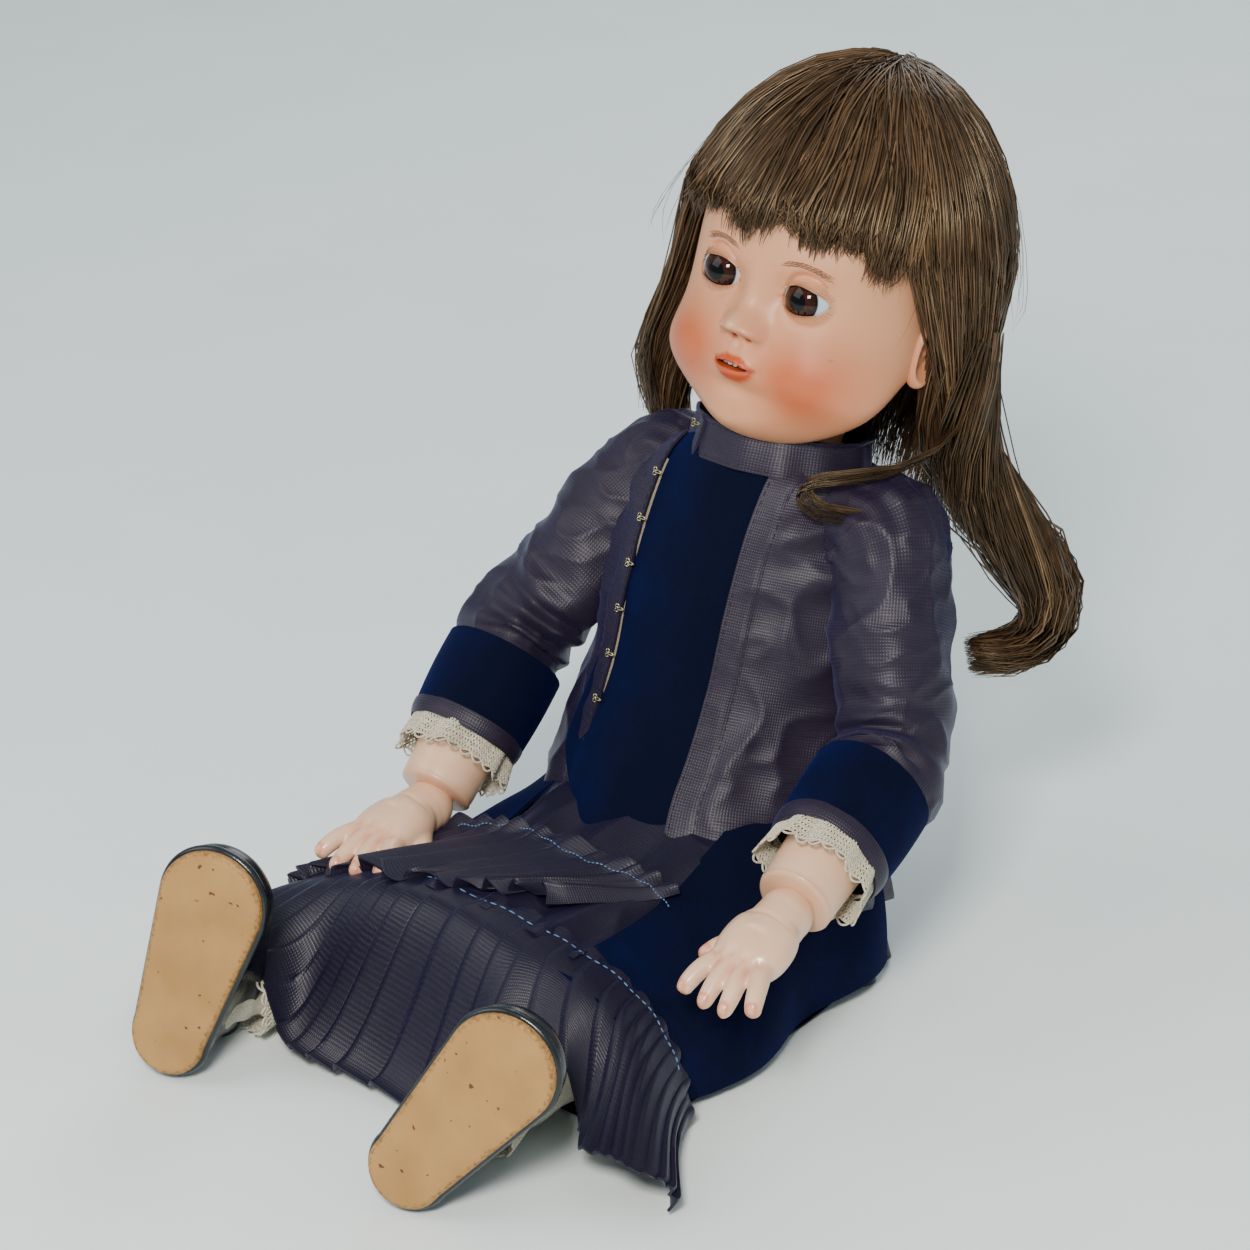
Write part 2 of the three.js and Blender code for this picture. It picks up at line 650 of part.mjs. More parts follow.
const ankleInFoot = V(0, 30, 19);
const legPoints = {};
for (const s of [-1, 1]) {
  const side = SIDE_NAME[s];
  const { heel, yaw, tilt, roll } = FOOT[s];
  const foot = new THREE.Group();
  foot.rotation.set(rad(tilt), rad(roll), rad(yaw), "ZXY");
  foot.position.copy(heel);
  const sole = loft(
    [0, SOLE_THICK].map((y) => soleOutline(0).map(([x, z]) => V(x, y, z))),
  );
  const upperShape = cut(shoeVolume(0, 0, 0), shoeVolume(SHOE_WALL, SHOE_WALL, 2));
  // Stand the shoe's lowest point on the table.
  foot.updateMatrixWorld(true);
  foot.position.z -= placed(join(sole, upperShape), foot.matrixWorld).boundingBox().min[2];
  foot.updateMatrixWorld(true);
  const hip = hipAt(s);
  const ankle = foot.localToWorld(ankleInFoot.clone());
  const length = hip.distanceTo(ankle);
  const knee = hip.clone().lerp(ankle, THIGH_SHARE);
  const [thighLength, shinLength] = [length * THIGH_SHARE, length * (1 - THIGH_SHARE)];
  const thigh = aimed(hip, ankle);
  const [down, back] = [V(0, 0, -1), hip.clone().sub(knee)];
  thigh.updateMatrixWorld(true);
  const behindKnee = placed(foldRoom(knee, back, down, 4), thigh.matrixWorld.clone().invert());
  thigh.add(
    piece(
      `thigh_${side}`,
      cut(limb(THIGH_PROFILE(thighLength), [HIP_R, KNEE_R], thighLength), behindKnee),
      wood,
    ),
    piece(
      `drawers_leg_${side}`,
      tubeShell(
        [[30, 24], [thighLength - 10, 18.6], [thighLength + 34, 18.9], [length - 32, 14.8]],
        1,
      ),
      cotton,
    ),
  );
  const shin = aimed(knee, ankle);
  shin.updateMatrixWorld(true);
  const inShin = (made) => placed(made, foot.matrixWorld, shin.matrixWorld.clone().invert());
  const insideShoe = inShin(shoeVolume(SHOE_WALL + GAP, SHOE_WALL + GAP, 1));
  const aroundShoe = inShin(cut(shoeVolume(-6, -6, 0.6), shoeVolume(SHOE_WALL + GAP, SHOE_WALL + GAP, 3)));
  const behindShin = placed(
    foldRoom(knee, back.clone().negate(), down, 4),
    shin.matrixWorld.clone().invert(),
  );
  const shinSolid = cut(
    join(cut(turned(SHIN_PROFILE(shinLength)), behindShin, aroundShoe), insideShoe),
    socket(KNEE_R, V(0, 0, 0)),
    rod(V(0, 0, 0), V(0, 0, shinLength - 12), BORE_R),
  );
  shin.add(
    piece(`shin_${side}`, shinSolid, composition),
    piece(
      `stocking_${side}`,
      cut(
        tubeShell([[20, 17.2], [34, 17.5], [shinLength * 0.62, 13.8], [shinLength * 0.8, 12.2]], 0.9),
        inShin(shoeVolume(-0.5, -1, 3)),
      ),
      cotton,
    ),
  );
  foot.add(
    piece(`shoe_sole_${side}`, sole, soleLeather),
    piece(`shoe_upper_${side}`, upperShape, leather),
    piece(`shoe_bow_${side}`, cut(makeBow(), shoeVolume(-GAP, 0, 0)), leather),
  );
  const hookRing = fromTorso(V(0, 0, RING_Z));
  doll.add(
    foot,
    thigh,
    shin,
    piece(`hip_ball_${side}`, jointBall(HIP_R, hip, [hookRing, ankle]), wood),
    piece(`knee_ball_${side}`, jointBall(KNEE_R, knee, [hip, ankle]), wood),
  );
  legPoints[s] = { hip, end: knee.clone().lerp(ankle, (shinLength - 16) / shinLength) };
}

// ---------------------------------------------------------------- elastic
const insideTorso = (x, y, z) => fromTorso(V(x, y, z));
const legRoute = [
  legPoints[-1].end,
  legPoints[-1].hip,
  insideTorso(-8, 0, RING_Z - 6),
  insideTorso(0, 0, RING_Z),
  insideTorso(8, 0, RING_Z - 6),
  legPoints[1].hip,
  legPoints[1].end,
];
const armEnd = ({ elbow, wrist }) => elbow.clone().lerp(wrist, (FOREARM - 14) / FOREARM);
const armRoute = [
  armEnd(armPoints[-1]),
  armPoints[-1].elbow,
  armPoints[-1].shoulder,
  insideTorso(-14, 7, SHOULDER_Z),
  insideTorso(14, 7, SHOULDER_Z),
  armPoints[1].shoulder,
  armPoints[1].elbow,
  armEnd(armPoints[1]),
];
doll.add(
  piece("leg_elastic", cordThrough(legRoute, ELASTIC_R), elastic),
  piece("arm_elastic", cordThrough(armRoute, ELASTIC_R), elastic),
);

// ---------------------------------------------------------------- skirt
// Arches across the lap, from behind the seat to the hem: [y, middle x, half-width, top].
const ARCHES = [
  [66, 0, 24, 14],
  [60, 0, 46, 46],
  [46, 0, 60, 78],
  [25, 0, 66, 92],
  [-8, -1, 74, 92],
  [-45, -3, 80, 76],
  [-80, -9, 87, 63],
  [-114, -12, 94, 61],
  [-143, -12, 107, 60],
  [-170, -11, 126, 55],
];
const SEAT = 2.6; // thickness of the skirt and drawers under the doll
const HEM_Y = -170;

// Everything under the skirt's outer face, grown by offset, down to floor.
function skirtVolume(offset, floor, past = 0) {
  const around = 14;
  const [, x, w, h] = ARCHES.at(-1);
  const arches = past ? [...ARCHES, [HEM_Y - past, x, w, h]] : ARCHES;
  return loft(
    arches.map(([y, x, w, h]) => {
      const at = y === ARCHES[0][0] ? y + offset : y;
      return Array.from({ length: around + 1 }, (_, i) => {
        const a = (i / around) * Math.PI;
        const [c, n] = [Math.cos(a), Math.sin(a)];
        const wide = (w + offset) * Math.sign(c) * Math.abs(c) ** 0.92;
        return V(x + wide, at, Math.max(floor, (h + offset) * n ** 0.75));
      });
    }),
  );
}

const skirtShell = cut(skirtVolume(0, 0), skirtVolume(-CLOTH, SEAT, 5));
const everywhere = (low, high) => block(V(low[0], low[1], low[2]), V(high[0], high[1], high[2]));
const BACK_Y = 16;
const BODICE_X = 40; // half-width of the front panel
const FLOUNCE_TOP = -116;

const seatPart = everywhere([-300, -300, -1], [300, 300, SEAT + 0.1]);
const frontHalf = everywhere([-300, -300, SEAT + GAP], [300, BACK_Y, 300]);
const frontBand = everywhere([-BODICE_X - 4, -300, 0], [BODICE_X - 4, 300, 300]);
const hemBand = everywhere([-300, -300, 0], [300, FLOUNCE_TOP, 300]);
const panelRoom = (s) =>
  s < 0
    ? everywhere([-300, FLOUNCE_TOP + GAP, 0], [-BODICE_X - 4 - GAP, 300, 300])
    : everywhere([BODICE_X - 4 + GAP, FLOUNCE_TOP + GAP, 0], [300, 300, 300]);
const aboveSkirt = cut(skirtShell.intersect(frontHalf), torsoRoom);
const flounce = (inner, outer, room) =>
  cut(skirtVolume(outer, -1).intersect(room), skirtVolume(inner, -2, 9)).subtract(torsoRoom);

doll.add(
  piece("skirt_seat", skirtShell.intersect(seatPart), silk),
  piece(
    "skirt_back",
    cut(skirtShell.intersect(everywhere([-300, BACK_Y + GAP, SEAT + GAP], [300, 300, 300])), torsoRoom),
    silk,
  ),
  piece("skirt_front", aboveSkirt.intersect(join(frontBand, hemBand)), silk),
  piece("velvet_panel_right", aboveSkirt.intersect(panelRoom(-1)), velvet),
  piece("velvet_panel_left", aboveSkirt.intersect(panelRoom(1)), velvet),
  piece("flounce_lower", flounce(0.4, 2.6, everywhere([-300, -164, SEAT + GAP], [300, -126, 300])), silk),
  piece("flounce_upper", flounce(0.4, 2.6, everywhere([-44, -122, SEAT], [36, -74, 300])), silk),
);

// ---------------------------------------------------------------- jacket
// [height, half-width, front, back, middle]
const JACKET_RINGS = [
  [4, 68, 62, 52, 0],
  [40, 60, 50, 45, 0],
  [75, 55, 43, 38, 0],
  [110, 53, 41, 36, 0],
  [140, 52, 36, 33, 0],
  [158, 44, 31, 30, 0],
  [168, 33, 28, 28, 0],
];
const jacketVolume = (offset, spare = 0) =>
  loft(
    JACKET_RINGS.map(([z, rx, f, b, m], i) => {
      const past = i === 0 ? -spare : i === JACKET_RINGS.length - 1 ? spare : 0;
      return oval(z + past, rx + offset, f + offset, b + offset, m);
    }),
  );
const inTorso = (made) => placed(made, torsoFrame.matrixWorld.clone().invert());
const lapRoom = inTorso(skirtVolume(3.2, -2, 9));
const armRoom = [-1, 1].map((s) =>
  inTorso(rod(armPoints[s].shoulder, armPoints[s].elbow, 22.6, 12)),
);
const shoulderRoom = [-1, 1].map((s) => ball(SHOULDER_R + 7, V(s * (SHOULDER_X + 4), 0, SHOULDER_Z)));
const jacketShell = cut(
  jacketVolume(0),
  jacketVolume(-CLOTH, 2),
  lapRoom,
  ...armRoom,
  ...shoulderRoom,
);
const OPENING = [-27, 24]; // the jacket's two front edges
const openingRoom = (grow) =>
  block(V(OPENING[0] - grow, -200, -100), V(OPENING[1] + grow, 0, 300));

const HOOKS = [150, 132, 114, 96, 78, 60];
function makeHookTape() {
  const at = (z) => {
    const ringIndex = JACKET_RINGS.findIndex(([height]) => height >= z);
    const [low, high] = [JACKET_RINGS[ringIndex - 1], JACKET_RINGS[ringIndex]];
    const t = (z - low[0]) / (high[0] - low[0]);
    const [rx, front] = [1, 2].map((k) => THREE.MathUtils.lerp(low[k], high[k], t));
    const x = OPENING[0];
    return V(x, -front * Math.sqrt(1 - (x / rx) ** 2) - 1.3, z);
  };
  const tape = HOOKS.slice(1).map((z, i) => rod(at(HOOKS[i]), at(z), 0.5, 4));
  const hooks = HOOKS.map((z) => ellipsoid(2.4, 0.9, 1.6, at(z), 6));
  return join(...tape, ...hooks);
}

const collarShell = cut(
  loft([oval(168.6, 31.5, 30, 28, -1, 16), oval(181, 28.5, 28, 26, -2, 16)]),
  loft([oval(167, 29.7, 28.2, 26.2, -1, 16), oval(182, 26.7, 26.2, 24.2, -2, 16)]),
  inTorso(placed(headVolume(0.6), headFrame.matrixWorld)),
);
const hookTape = cut(makeHookTape(), jacketVolume(0.15));
torsoFrame.add(
  piece("jacket", cut(jacketShell, openingRoom(GAP / 2)), silk),
  piece("plastron", jacketShell.intersect(openingRoom(-GAP / 2)), velvet),
  piece("collar", collarShell, silk),
  piece("hook_tape", hookTape, steel),
);

export default doll;
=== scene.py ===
"""Dresses a seated porcelain doll: a bisque socket head with sleeping eyes and a long wig, painted
composition limbs, a silk and velvet jacket and skirt, cotton lace, stockings and leather shoes.

Lengths are millimetres in the doll's own frames and become metres when a piece is placed."""
import json
import logging
import math
from dataclasses import dataclass
from enum import Enum
from typing import Callable, Optional, Sequence

import bmesh
import bpy
import numpy as np
from mathutils import Matrix, Vector, noise
from mathutils.bvhtree import BVHTree


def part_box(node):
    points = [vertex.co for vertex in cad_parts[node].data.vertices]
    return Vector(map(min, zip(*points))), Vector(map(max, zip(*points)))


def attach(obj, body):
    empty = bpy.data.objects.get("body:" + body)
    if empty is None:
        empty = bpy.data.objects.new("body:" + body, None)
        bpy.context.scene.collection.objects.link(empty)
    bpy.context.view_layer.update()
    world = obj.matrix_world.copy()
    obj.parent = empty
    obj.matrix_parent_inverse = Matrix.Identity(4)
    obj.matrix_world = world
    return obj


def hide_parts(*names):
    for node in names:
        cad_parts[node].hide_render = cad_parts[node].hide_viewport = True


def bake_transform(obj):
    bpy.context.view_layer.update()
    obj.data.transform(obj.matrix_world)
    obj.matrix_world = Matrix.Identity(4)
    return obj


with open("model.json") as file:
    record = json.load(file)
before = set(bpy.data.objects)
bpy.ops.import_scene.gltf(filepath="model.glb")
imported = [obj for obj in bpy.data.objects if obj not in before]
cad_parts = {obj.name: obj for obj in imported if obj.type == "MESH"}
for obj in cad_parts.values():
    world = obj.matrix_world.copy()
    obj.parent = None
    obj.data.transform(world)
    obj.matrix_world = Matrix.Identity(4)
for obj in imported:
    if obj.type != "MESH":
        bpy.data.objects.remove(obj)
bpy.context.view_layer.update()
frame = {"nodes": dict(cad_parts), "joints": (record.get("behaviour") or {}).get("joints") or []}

MM = 0.001
LOG = logging.getLogger("doll")
Array = np.ndarray
JOINTS = {joint["name"]: joint for joint in frame["joints"]}
BISQUE_SKIN = "#cb8f69"
COMPOSITION_SKIN = "#e3b898"
IRIS_SHARE = 0.60  # where the iris ends, as a share of the eye's painted front


class Side(Enum):
    """The doll's own right and left, as the sign of X."""

    RIGHT = -1
    LEFT = 1

    @property
    def word(self) -> str:
        """The name that nodes and bodies end with."""
        return self.name.lower()


# ------------------------------------------------------------------ number helpers
def smooth(low: float, high: float, x: Array) -> Array:
    """A ramp from 0 at low to 1 at high with level ends.

    Args:
        low: Where the ramp starts.
        high: Where it ends.
        x: Where it is read.

    Returns:
        The ramp's height at each x.
    """
    t = np.clip((np.asarray(x, float) - low) / (high - low), 0.0, 1.0)
    return t * t * (3 - 2 * t)


def bump(x: Array, z: Array, cx: float, cz: float, sx: float, sz: float) -> Array:
    """A round swelling of height 1 centred on (cx, cz).

    Args:
        x: Places in the first direction.
        z: Places in the second.
        cx: The swelling's middle in x.
        cz: Its middle in z.
        sx: Its half-width in x.
        sz: Its half-width in z.

    Returns:
        Its height at each place.
    """
    return np.exp(-(((x - cx) / sx) ** 2) - ((z - cz) / sz) ** 2)


def unit(v: Sequence[float]) -> Array:
    """The vector at length 1."""
    a = np.asarray(v, float)
    return a / np.linalg.norm(a)


def ripple(points: Array, size: float, seed: float = 0.0) -> Array:
    """Smooth noise from -1 to 1 at each point, with features of about size.

    Args:
        points: Places, in millimetres.
        size: How large a feature is.
        seed: Which of the noises it is.

    Returns:
        The noise at each place.
    """
    shift = Vector((seed * 17.3, seed * 5.1, seed * 9.7))
    return np.array([noise.noise(Vector(p) / size + shift) for p in np.asarray(points, float)])


def creases(points: Array, size: float, seed: float = 0.0) -> Array:
    """Sharp raised lines wandering over a surface, as in crushed silk: 1 on a line, falling to about 0.

    Args:
        points: Places, in millimetres.
        size: How far apart the lines are, roughly.
        seed: Which of the noises it is.

    Returns:
        The height at each place.
    """
    return np.exp(-3.2 * np.abs(ripple(points, size, seed)))


def spline(points: Sequence[Sequence[float]], t: Array) -> Array:
    """Points on a Catmull-Rom curve through the given points, at each t from 0 to 1.

    Args:
        points: The points that the curve runs through.
        t: Where it is read, from 0 to 1.

    Returns:
        A point for each t.
    """
    p = np.asarray(points, float)
    p = np.vstack([2 * p[0] - p[1], p, 2 * p[-1] - p[-2]])
    spans = len(p) - 3
    s = np.clip(np.asarray(t, float), 0, 1) * spans
    i = np.minimum(s.astype(int), spans - 1)
    f = (s - i)[..., None]
    a, b, c, d = p[i], p[i + 1], p[i + 2], p[i + 3]
    return 0.5 * (
        2 * b + (c - a) * f + (2 * a - 5 * b + 4 * c - d) * f**2 + (3 * b - 3 * c + d - a) * f**3
    )


def table(x: Array, rows: Sequence[Sequence[float]], column: int) -> Array:
    """Reads one column of a table of sections at x, on a smooth curve through its rows.

    Args:
        x: Where the table is read.
        rows: Sections, each starting with its own x.
        column: Which column is read.

    Returns:
        The column's value at each x.
    """
    keys = np.array([row[0] for row in rows], float)
    values = np.array([row[column] for row in rows], float)
    slopes = np.gradient(values, keys)
    x = np.clip(np.asarray(x, float), keys[0], keys[-1])
    i = np.clip(np.searchsorted(keys, x) - 1, 0, len(keys) - 2)
    h = keys[i + 1] - keys[i]
    t = (x - keys[i]) / h
    return (
        (2 * t**3 - 3 * t**2 + 1) * values[i]
        + (t**3 - 2 * t**2 + t) * h * slopes[i]
        + (3 * t**2 - 2 * t**3) * values[i + 1]
        + (t**3 - t**2) * h * slopes[i + 1]
    )


@dataclass(frozen=True)
class Rig:
    """A local frame of the doll: where it is, in metres, and which way it is turned."""

    origin: Array
    turn: Array

    def place(self, points: Array) -> Array:
        """Local millimetres as points of the whole doll, in metres."""
        return np.asarray(points, float) @ self.turn.T * MM + self.origin

    def local(self, points: Array) -> Array:
        """Points of the whole doll, in metres, as local millimetres."""
        return (np.asarray(points, float) - self.origin) @ self.turn / MM


def aimed(at: Array, towards: Array, up: Sequence[float] = (0, 0, 1)) -> Rig:
    """A frame at a place in metres, whose z points along a limb and whose y leans towards up.

    Args:
        at: The frame's origin, in metres.
        towards: The way that z points.
        up: The way that y leans.

    Returns:
        The frame.
    """
    z = unit(towards)
    x = unit(np.cross(np.asarray(up, float), z))
    return Rig(np.asarray(at, float), np.column_stack([x, np.cross(z, x), z]))


def joint_at(name: str) -> Array:
    """Where a joint turns, in metres."""
    return np.array(JOINTS[name]["pos_m"], float)


def joint_axis(name: str) -> Array:
    """A joint's axis."""
    return unit(JOINTS[name]["axis"])


def torso_rig() -> Rig:
    """The torso's frame: its origin is between the hips and its z runs up the spine."""
    origin = (joint_at("leg_swing_left") + joint_at("leg_swing_right")) / 2
    z = joint_axis("head_turn")
    return Rig(origin, np.column_stack([(1, 0, 0), np.cross(z, (1, 0, 0)), z]))


EYES_FROM_NECK = (0.0, -35.0, 60.0)


def head_rig() -> Rig:
    """The head's frame: its origin is the neck's centre, and it faces -Y."""
    neck = joint_at("head_turn")
    side = joint_axis("head_nod")
    eyes = unit(joint_at("eyes_close") - neck)
    here = np.column_stack([side, eyes, np.cross(side, eyes)])
    local = unit(EYES_FROM_NECK)
    drawn = np.column_stack([(1, 0, 0), local, np.cross((1, 0, 0), local)])
    return Rig(neck, here @ drawn.T)


TORSO = torso_rig()
HEAD = head_rig()
WORLD = Rig(np.zeros(3), np.eye(3))


# ------------------------------------------------------------------ modelling helpers
def alone(piece: bpy.types.Object) -> bpy.types.Object:
    """Makes a piece the only one selected, and active."""
    bpy.ops.object.select_all(action="DESELECT")
    piece.select_set(True)
    bpy.context.view_layer.objects.active = piece
    return piece


def finish(piece: bpy.types.Object, *modifiers: tuple[str, dict]) -> bpy.types.Object:
    """Adds modifiers to a piece and applies them, in order.

    Args:
        piece: The piece, with a mesh of its own.
        modifiers: Each modifier's type and its settings.

    Returns:
        The same piece.
    """
    alone(piece)
    for kind, settings in modifiers:
        modifier = piece.modifiers.new(kind.lower(), kind)
        for key, value in settings.items():
            setattr(modifier, key, value)
        bpy.ops.object.modifier_apply(modifier=modifier.name)
    return piece


def outward(piece: bpy.types.Object) -> bpy.types.Object:
    """Merges doubled points and turns every face out."""
    alone(piece)
    bpy.ops.object.mode_set(mode="EDIT")
    bpy.ops.mesh.select_all(action="SELECT")
    bpy.ops.mesh.remove_doubles(threshold=2e-6)
    bpy.ops.mesh.normals_make_consistent(inside=False)
    bpy.ops.object.mode_set(mode="OBJECT")
    return piece


def softened(piece: bpy.types.Object, angle: float = 50.0) -> bpy.types.Object:
    """Shades a piece smooth, but keeps its real edges.

    Args:
        piece: The piece.
        angle: The sharpest bend that is still smooth, in degrees.

    Returns:
        The same piece.
    """
    alone(piece)
    bpy.ops.object.shade_smooth_by_angle(angle=math.radians(angle))
    return piece


def points_of(piece: bpy.types.Object) -> Array:
    """A piece's points, in metres."""
    out = np.empty(len(piece.data.vertices) * 3)
    piece.data.vertices.foreach_get("co", out)
    return out.reshape(-1, 3)


def put_points(piece: bpy.types.Object, points: Array) -> None:
    """Moves a piece's points.

    Args:
        piece: The piece.
        points: Its points' new places, in metres.
    """
    piece.data.vertices.foreach_set("co", np.ascontiguousarray(points, np.float32).ravel())
    piece.data.update()


Shape = Callable[[Array, Array], Array]


def sheet_of(
    name: str, across: int, along: int, shape: Shape, rig: Rig = WORLD, ring: bool = False,
    size: tuple[float, float] = (1.0, 1.0),
) -> bpy.types.Object:
    """A sheet or tube: a flat grid drawn into shape.

    Args:
        name: The piece's name.
        across: Squares in the first direction.
        along: Squares in the second direction.
        shape: Gives the local place in millimetres of u and v, which run from 0 to 1.
        rig: The frame that the shape is drawn in.
        ring: Whether u = 0 and u = 1 meet, as round a tube.
        size: The cloth's flat size in millimetres, which the UV map is laid out at.

    Returns:
        The piece, open at its edges.
    """
    bpy.ops.object.select_all(action="DESELECT")
    bpy.ops.mesh.primitive_grid_add(
        x_subdivisions=across, y_subdivisions=along, size=1.0, calc_uvs=True
    )
    piece = bpy.context.active_object
    piece.name = name
    flat = points_of(piece) + 0.5
    put_points(piece, rig.place(shape(flat[:, 0], flat[:, 1])))
    layer = piece.data.uv_layers.active.data
    spread = np.empty(len(layer) * 2)
    layer.foreach_get("uv", spread)
    layer.foreach_set("uv", (spread.reshape(-1, 2) * np.array(size) * MM).ravel())
    if ring:
        outward(piece)
    return piece


def ball_of(
    name: str, around: int, rings: int, shape: Callable[[Array], Array], rig: Rig = WORLD,
    pole: str = "Z",
) -> bpy.types.Object:
    """A closed form: a round primitive drawn into shape.

    Args:
        name: The piece's name.
        around: Segments round the pole.
        rings: Rings from pole to pole.
        shape: Gives local millimetres for each unit direction from the middle.
        rig: The frame that the shape is drawn in.
        pole: The axis that the rings close on.

    Returns:
        The piece.
    """
    bpy.ops.object.select_all(action="DESELECT")
    bpy.ops.mesh.primitive_uv_sphere_add(segments=around, ring_count=rings, radius=1.0)
    piece = bpy.context.active_object
    piece.name = name
    ways = points_of(piece)
    if pole == "Y":
        ways = np.column_stack([ways[:, 0], -ways[:, 2], ways[:, 1]])
    put_points(piece, rig.place(shape(ways)))
    return piece


def tube_of(
    name: str, centre: Array, radii: Array, around: int, rig: Rig = WORLD, capped: bool = True
) -> bpy.types.Object:
    """A round or oval tube along a line of points.

    Args:
        name: The piece's name.
        centre: The line's points, in local millimetres.
        radii: One radius for each point.
        around: Sides.
        rig: The frame that it is drawn in.
        capped: Whether both ends are closed.

    Returns:
        The piece.
    """
    rings = ring_points(centre, radii, around)
    n = len(centre)

    def shape(u: Array, v: Array) -> Array:
        """The ring and the point in it that each u and v stand for."""
        col = np.rint(u * around).astype(int) % around
        return rings[np.rint(v * (n - 1)).astype(int), col]

    piece = sheet_of(name, around, n - 1, shape, rig, ring=True)
    if capped:
        cap_ends(piece)
    return piece


def cap_ends(piece: bpy.types.Object) -> None:
    """Closes a tube's open ends with a face each."""
    alone(piece)
    bpy.ops.object.mode_set(mode="EDIT")
    bpy.ops.mesh.select_all(action="DESELECT")
    bpy.ops.mesh.select_non_manifold(extend=False)
    bpy.ops.mesh.edge_face_add()
    bpy.ops.mesh.select_all(action="SELECT")
    bpy.ops.mesh.normals_make_consistent(inside=False)
    bpy.ops.object.mode_set(mode="OBJECT")


def ring_points(centre: Array, radii: Array, around: int) -> Array:
    """Rings of points square to a line, turned as little as they can be.

    Args:
        centre: The line's points.
        radii: One radius for each point.
        around: Points in each ring.

    Returns:
        An array of rings by points by three.
    """
    centre = np.asarray(centre, float)
    way = np.gradient(centre, axis=0)
    way /= np.linalg.norm(way, axis=1)[:, None]
    side = np.cross(way[0], (0.3, 0.2, 1.0))
    sides = []
    for w in way:
        side = side - w * (side @ w)
        side = side / np.linalg.norm(side)
        sides.append(side)
    sides = np.array(sides)
    others = np.cross(way, sides)
    a = np.arange(around) / around * 2 * np.pi
    circle = np.cos(a)[None, :, None] * sides[:, None] + np.sin(a)[None, :, None] * others[:, None]
    return centre[:, None] + circle * np.asarray(radii, float)[:, None, None]


def shaded(piece: bpy.types.Object, values: Array) -> None:
    """Keeps a number for each point of a piece as its Shade attribute.

    Args:
        piece: The piece.
        values: A number for each point.
    """
    layer = piece.data.attributes.new("Shade", "FLOAT", "POINT")
    layer.data.foreach_set("value", values)


def rounded(piece: bpy.types.Object) -> bpy.types.Object:
    """Shades a piece smooth all over."""
    piece.data.polygons.foreach_set("use_smooth", np.ones(len(piece.data.polygons), bool))
    return piece


def raw_mesh(name: str, verts: Array, faces: Array) -> bpy.types.Object:
    """A piece from points in metres and equal-sided faces, for what repeats thousands of times.

    Args:
        name: The piece's name.
        verts: Its points, in metres.
        faces: Each face's point numbers.

    Returns:
        The piece.
    """
    mesh = bpy.data.meshes.new(name)
    sides = faces.shape[1]
    mesh.vertices.add(len(verts))
    mesh.vertices.foreach_set("co", np.ascontiguousarray(verts, np.float32).ravel())
    mesh.loops.add(faces.size)
    mesh.loops.foreach_set("vertex_index", np.ascontiguousarray(faces, np.int32).ravel())
    mesh.polygons.add(len(faces))
    mesh.polygons.foreach_set("loop_start", np.arange(0, faces.size, sides, dtype=np.int32))
    mesh.update(calc_edges=True)
    piece = bpy.data.objects.new(name, mesh)
    bpy.context.scene.collection.objects.link(piece)
    return piece


def strands(
    name: str, paths: Array, width: Array, shades: Array, rig: Rig, around: int = 3
) -> bpy.types.Object:
    """Many thin closed strands as one piece, such as hair or thread.

    Args:
        name: The piece's name.
        paths: Strands by points by three, in local millimetres.
        width: Each strand's radius at each point, in millimetres.
        shades: Each strand's shade, from 0 to 1, kept as a point attribute.
        rig: The frame that the paths are drawn in.
        around: Sides of a strand.

    Returns:
        The piece.
    """
    count, steps, _ = paths.shape
    way = np.gradient(paths, axis=1)
    way /= np.maximum(np.linalg.norm(way, axis=2), 1e-6)[..., None]
    side = np.cross(way, np.array([0.31, 0.18, 0.93]))
    side /= np.maximum(np.linalg.norm(side, axis=2), 1e-6)[..., None]
    other = np.cross(way, side)
    a = np.arange(around) / around * 2 * np.pi
    spread = (
        np.cos(a)[:, None] * side[:, :, None] + np.sin(a)[:, None] * other[:, :, None]
    ) * width[:, :, None, None]
    ring = paths[:, :, None] + spread
    verts = rig.place(ring.reshape(-1, 3))
    base = (np.arange(count) * steps * around)[:, None, None]
    k = (np.arange(steps - 1) * around)[None, :, None]
    i = np.arange(around)[None, None, :]
    j = (np.arange(around) + 1) % around
    quad = np.stack([base + k + i, base + k + j, base + k + j + around, base + k + i + around], -1)
    faces = quad.reshape(-1, 4)
    piece = raw_mesh(name, verts, faces)
    shaded(piece, np.repeat(shades.reshape(count, 1), steps * around, 1).ravel())
    return rounded(piece)


def joined(name: str, pieces: Sequence[bpy.types.Object]) -> bpy.types.Object:
    """Joins pieces into one object.

    Args:
        name: The new piece's name.
        pieces: What is joined.

    Returns:
        The new piece.
    """
    alone(pieces[0])
    for piece in pieces:
        piece.select_set(True)
    bpy.ops.object.join()
    pieces[0].name = name
    return pieces[0]


def settle(
    piece: bpy.types.Object, body: str, material: bpy.types.Material,
    stands_for: Sequence[str] = (),
) -> bpy.types.Object:
    """Gives a finished piece its material, its body and the CAD nodes that it stands for.

    Args:
        piece: The finished piece.
        body: The body that it rides on, or an empty string for none.
        material: Its material.
        stands_for: CAD nodes that it replaces.

    Returns:
        The same piece.
    """
    piece.data.materials.clear()
    piece.data.materials.append(material)
    if body:
        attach(piece, body)
    if stands_for:
        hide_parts(*stands_for)
    LOG.info("%s: %d faces", piece.name, len(piece.data.polygons))
    return piece


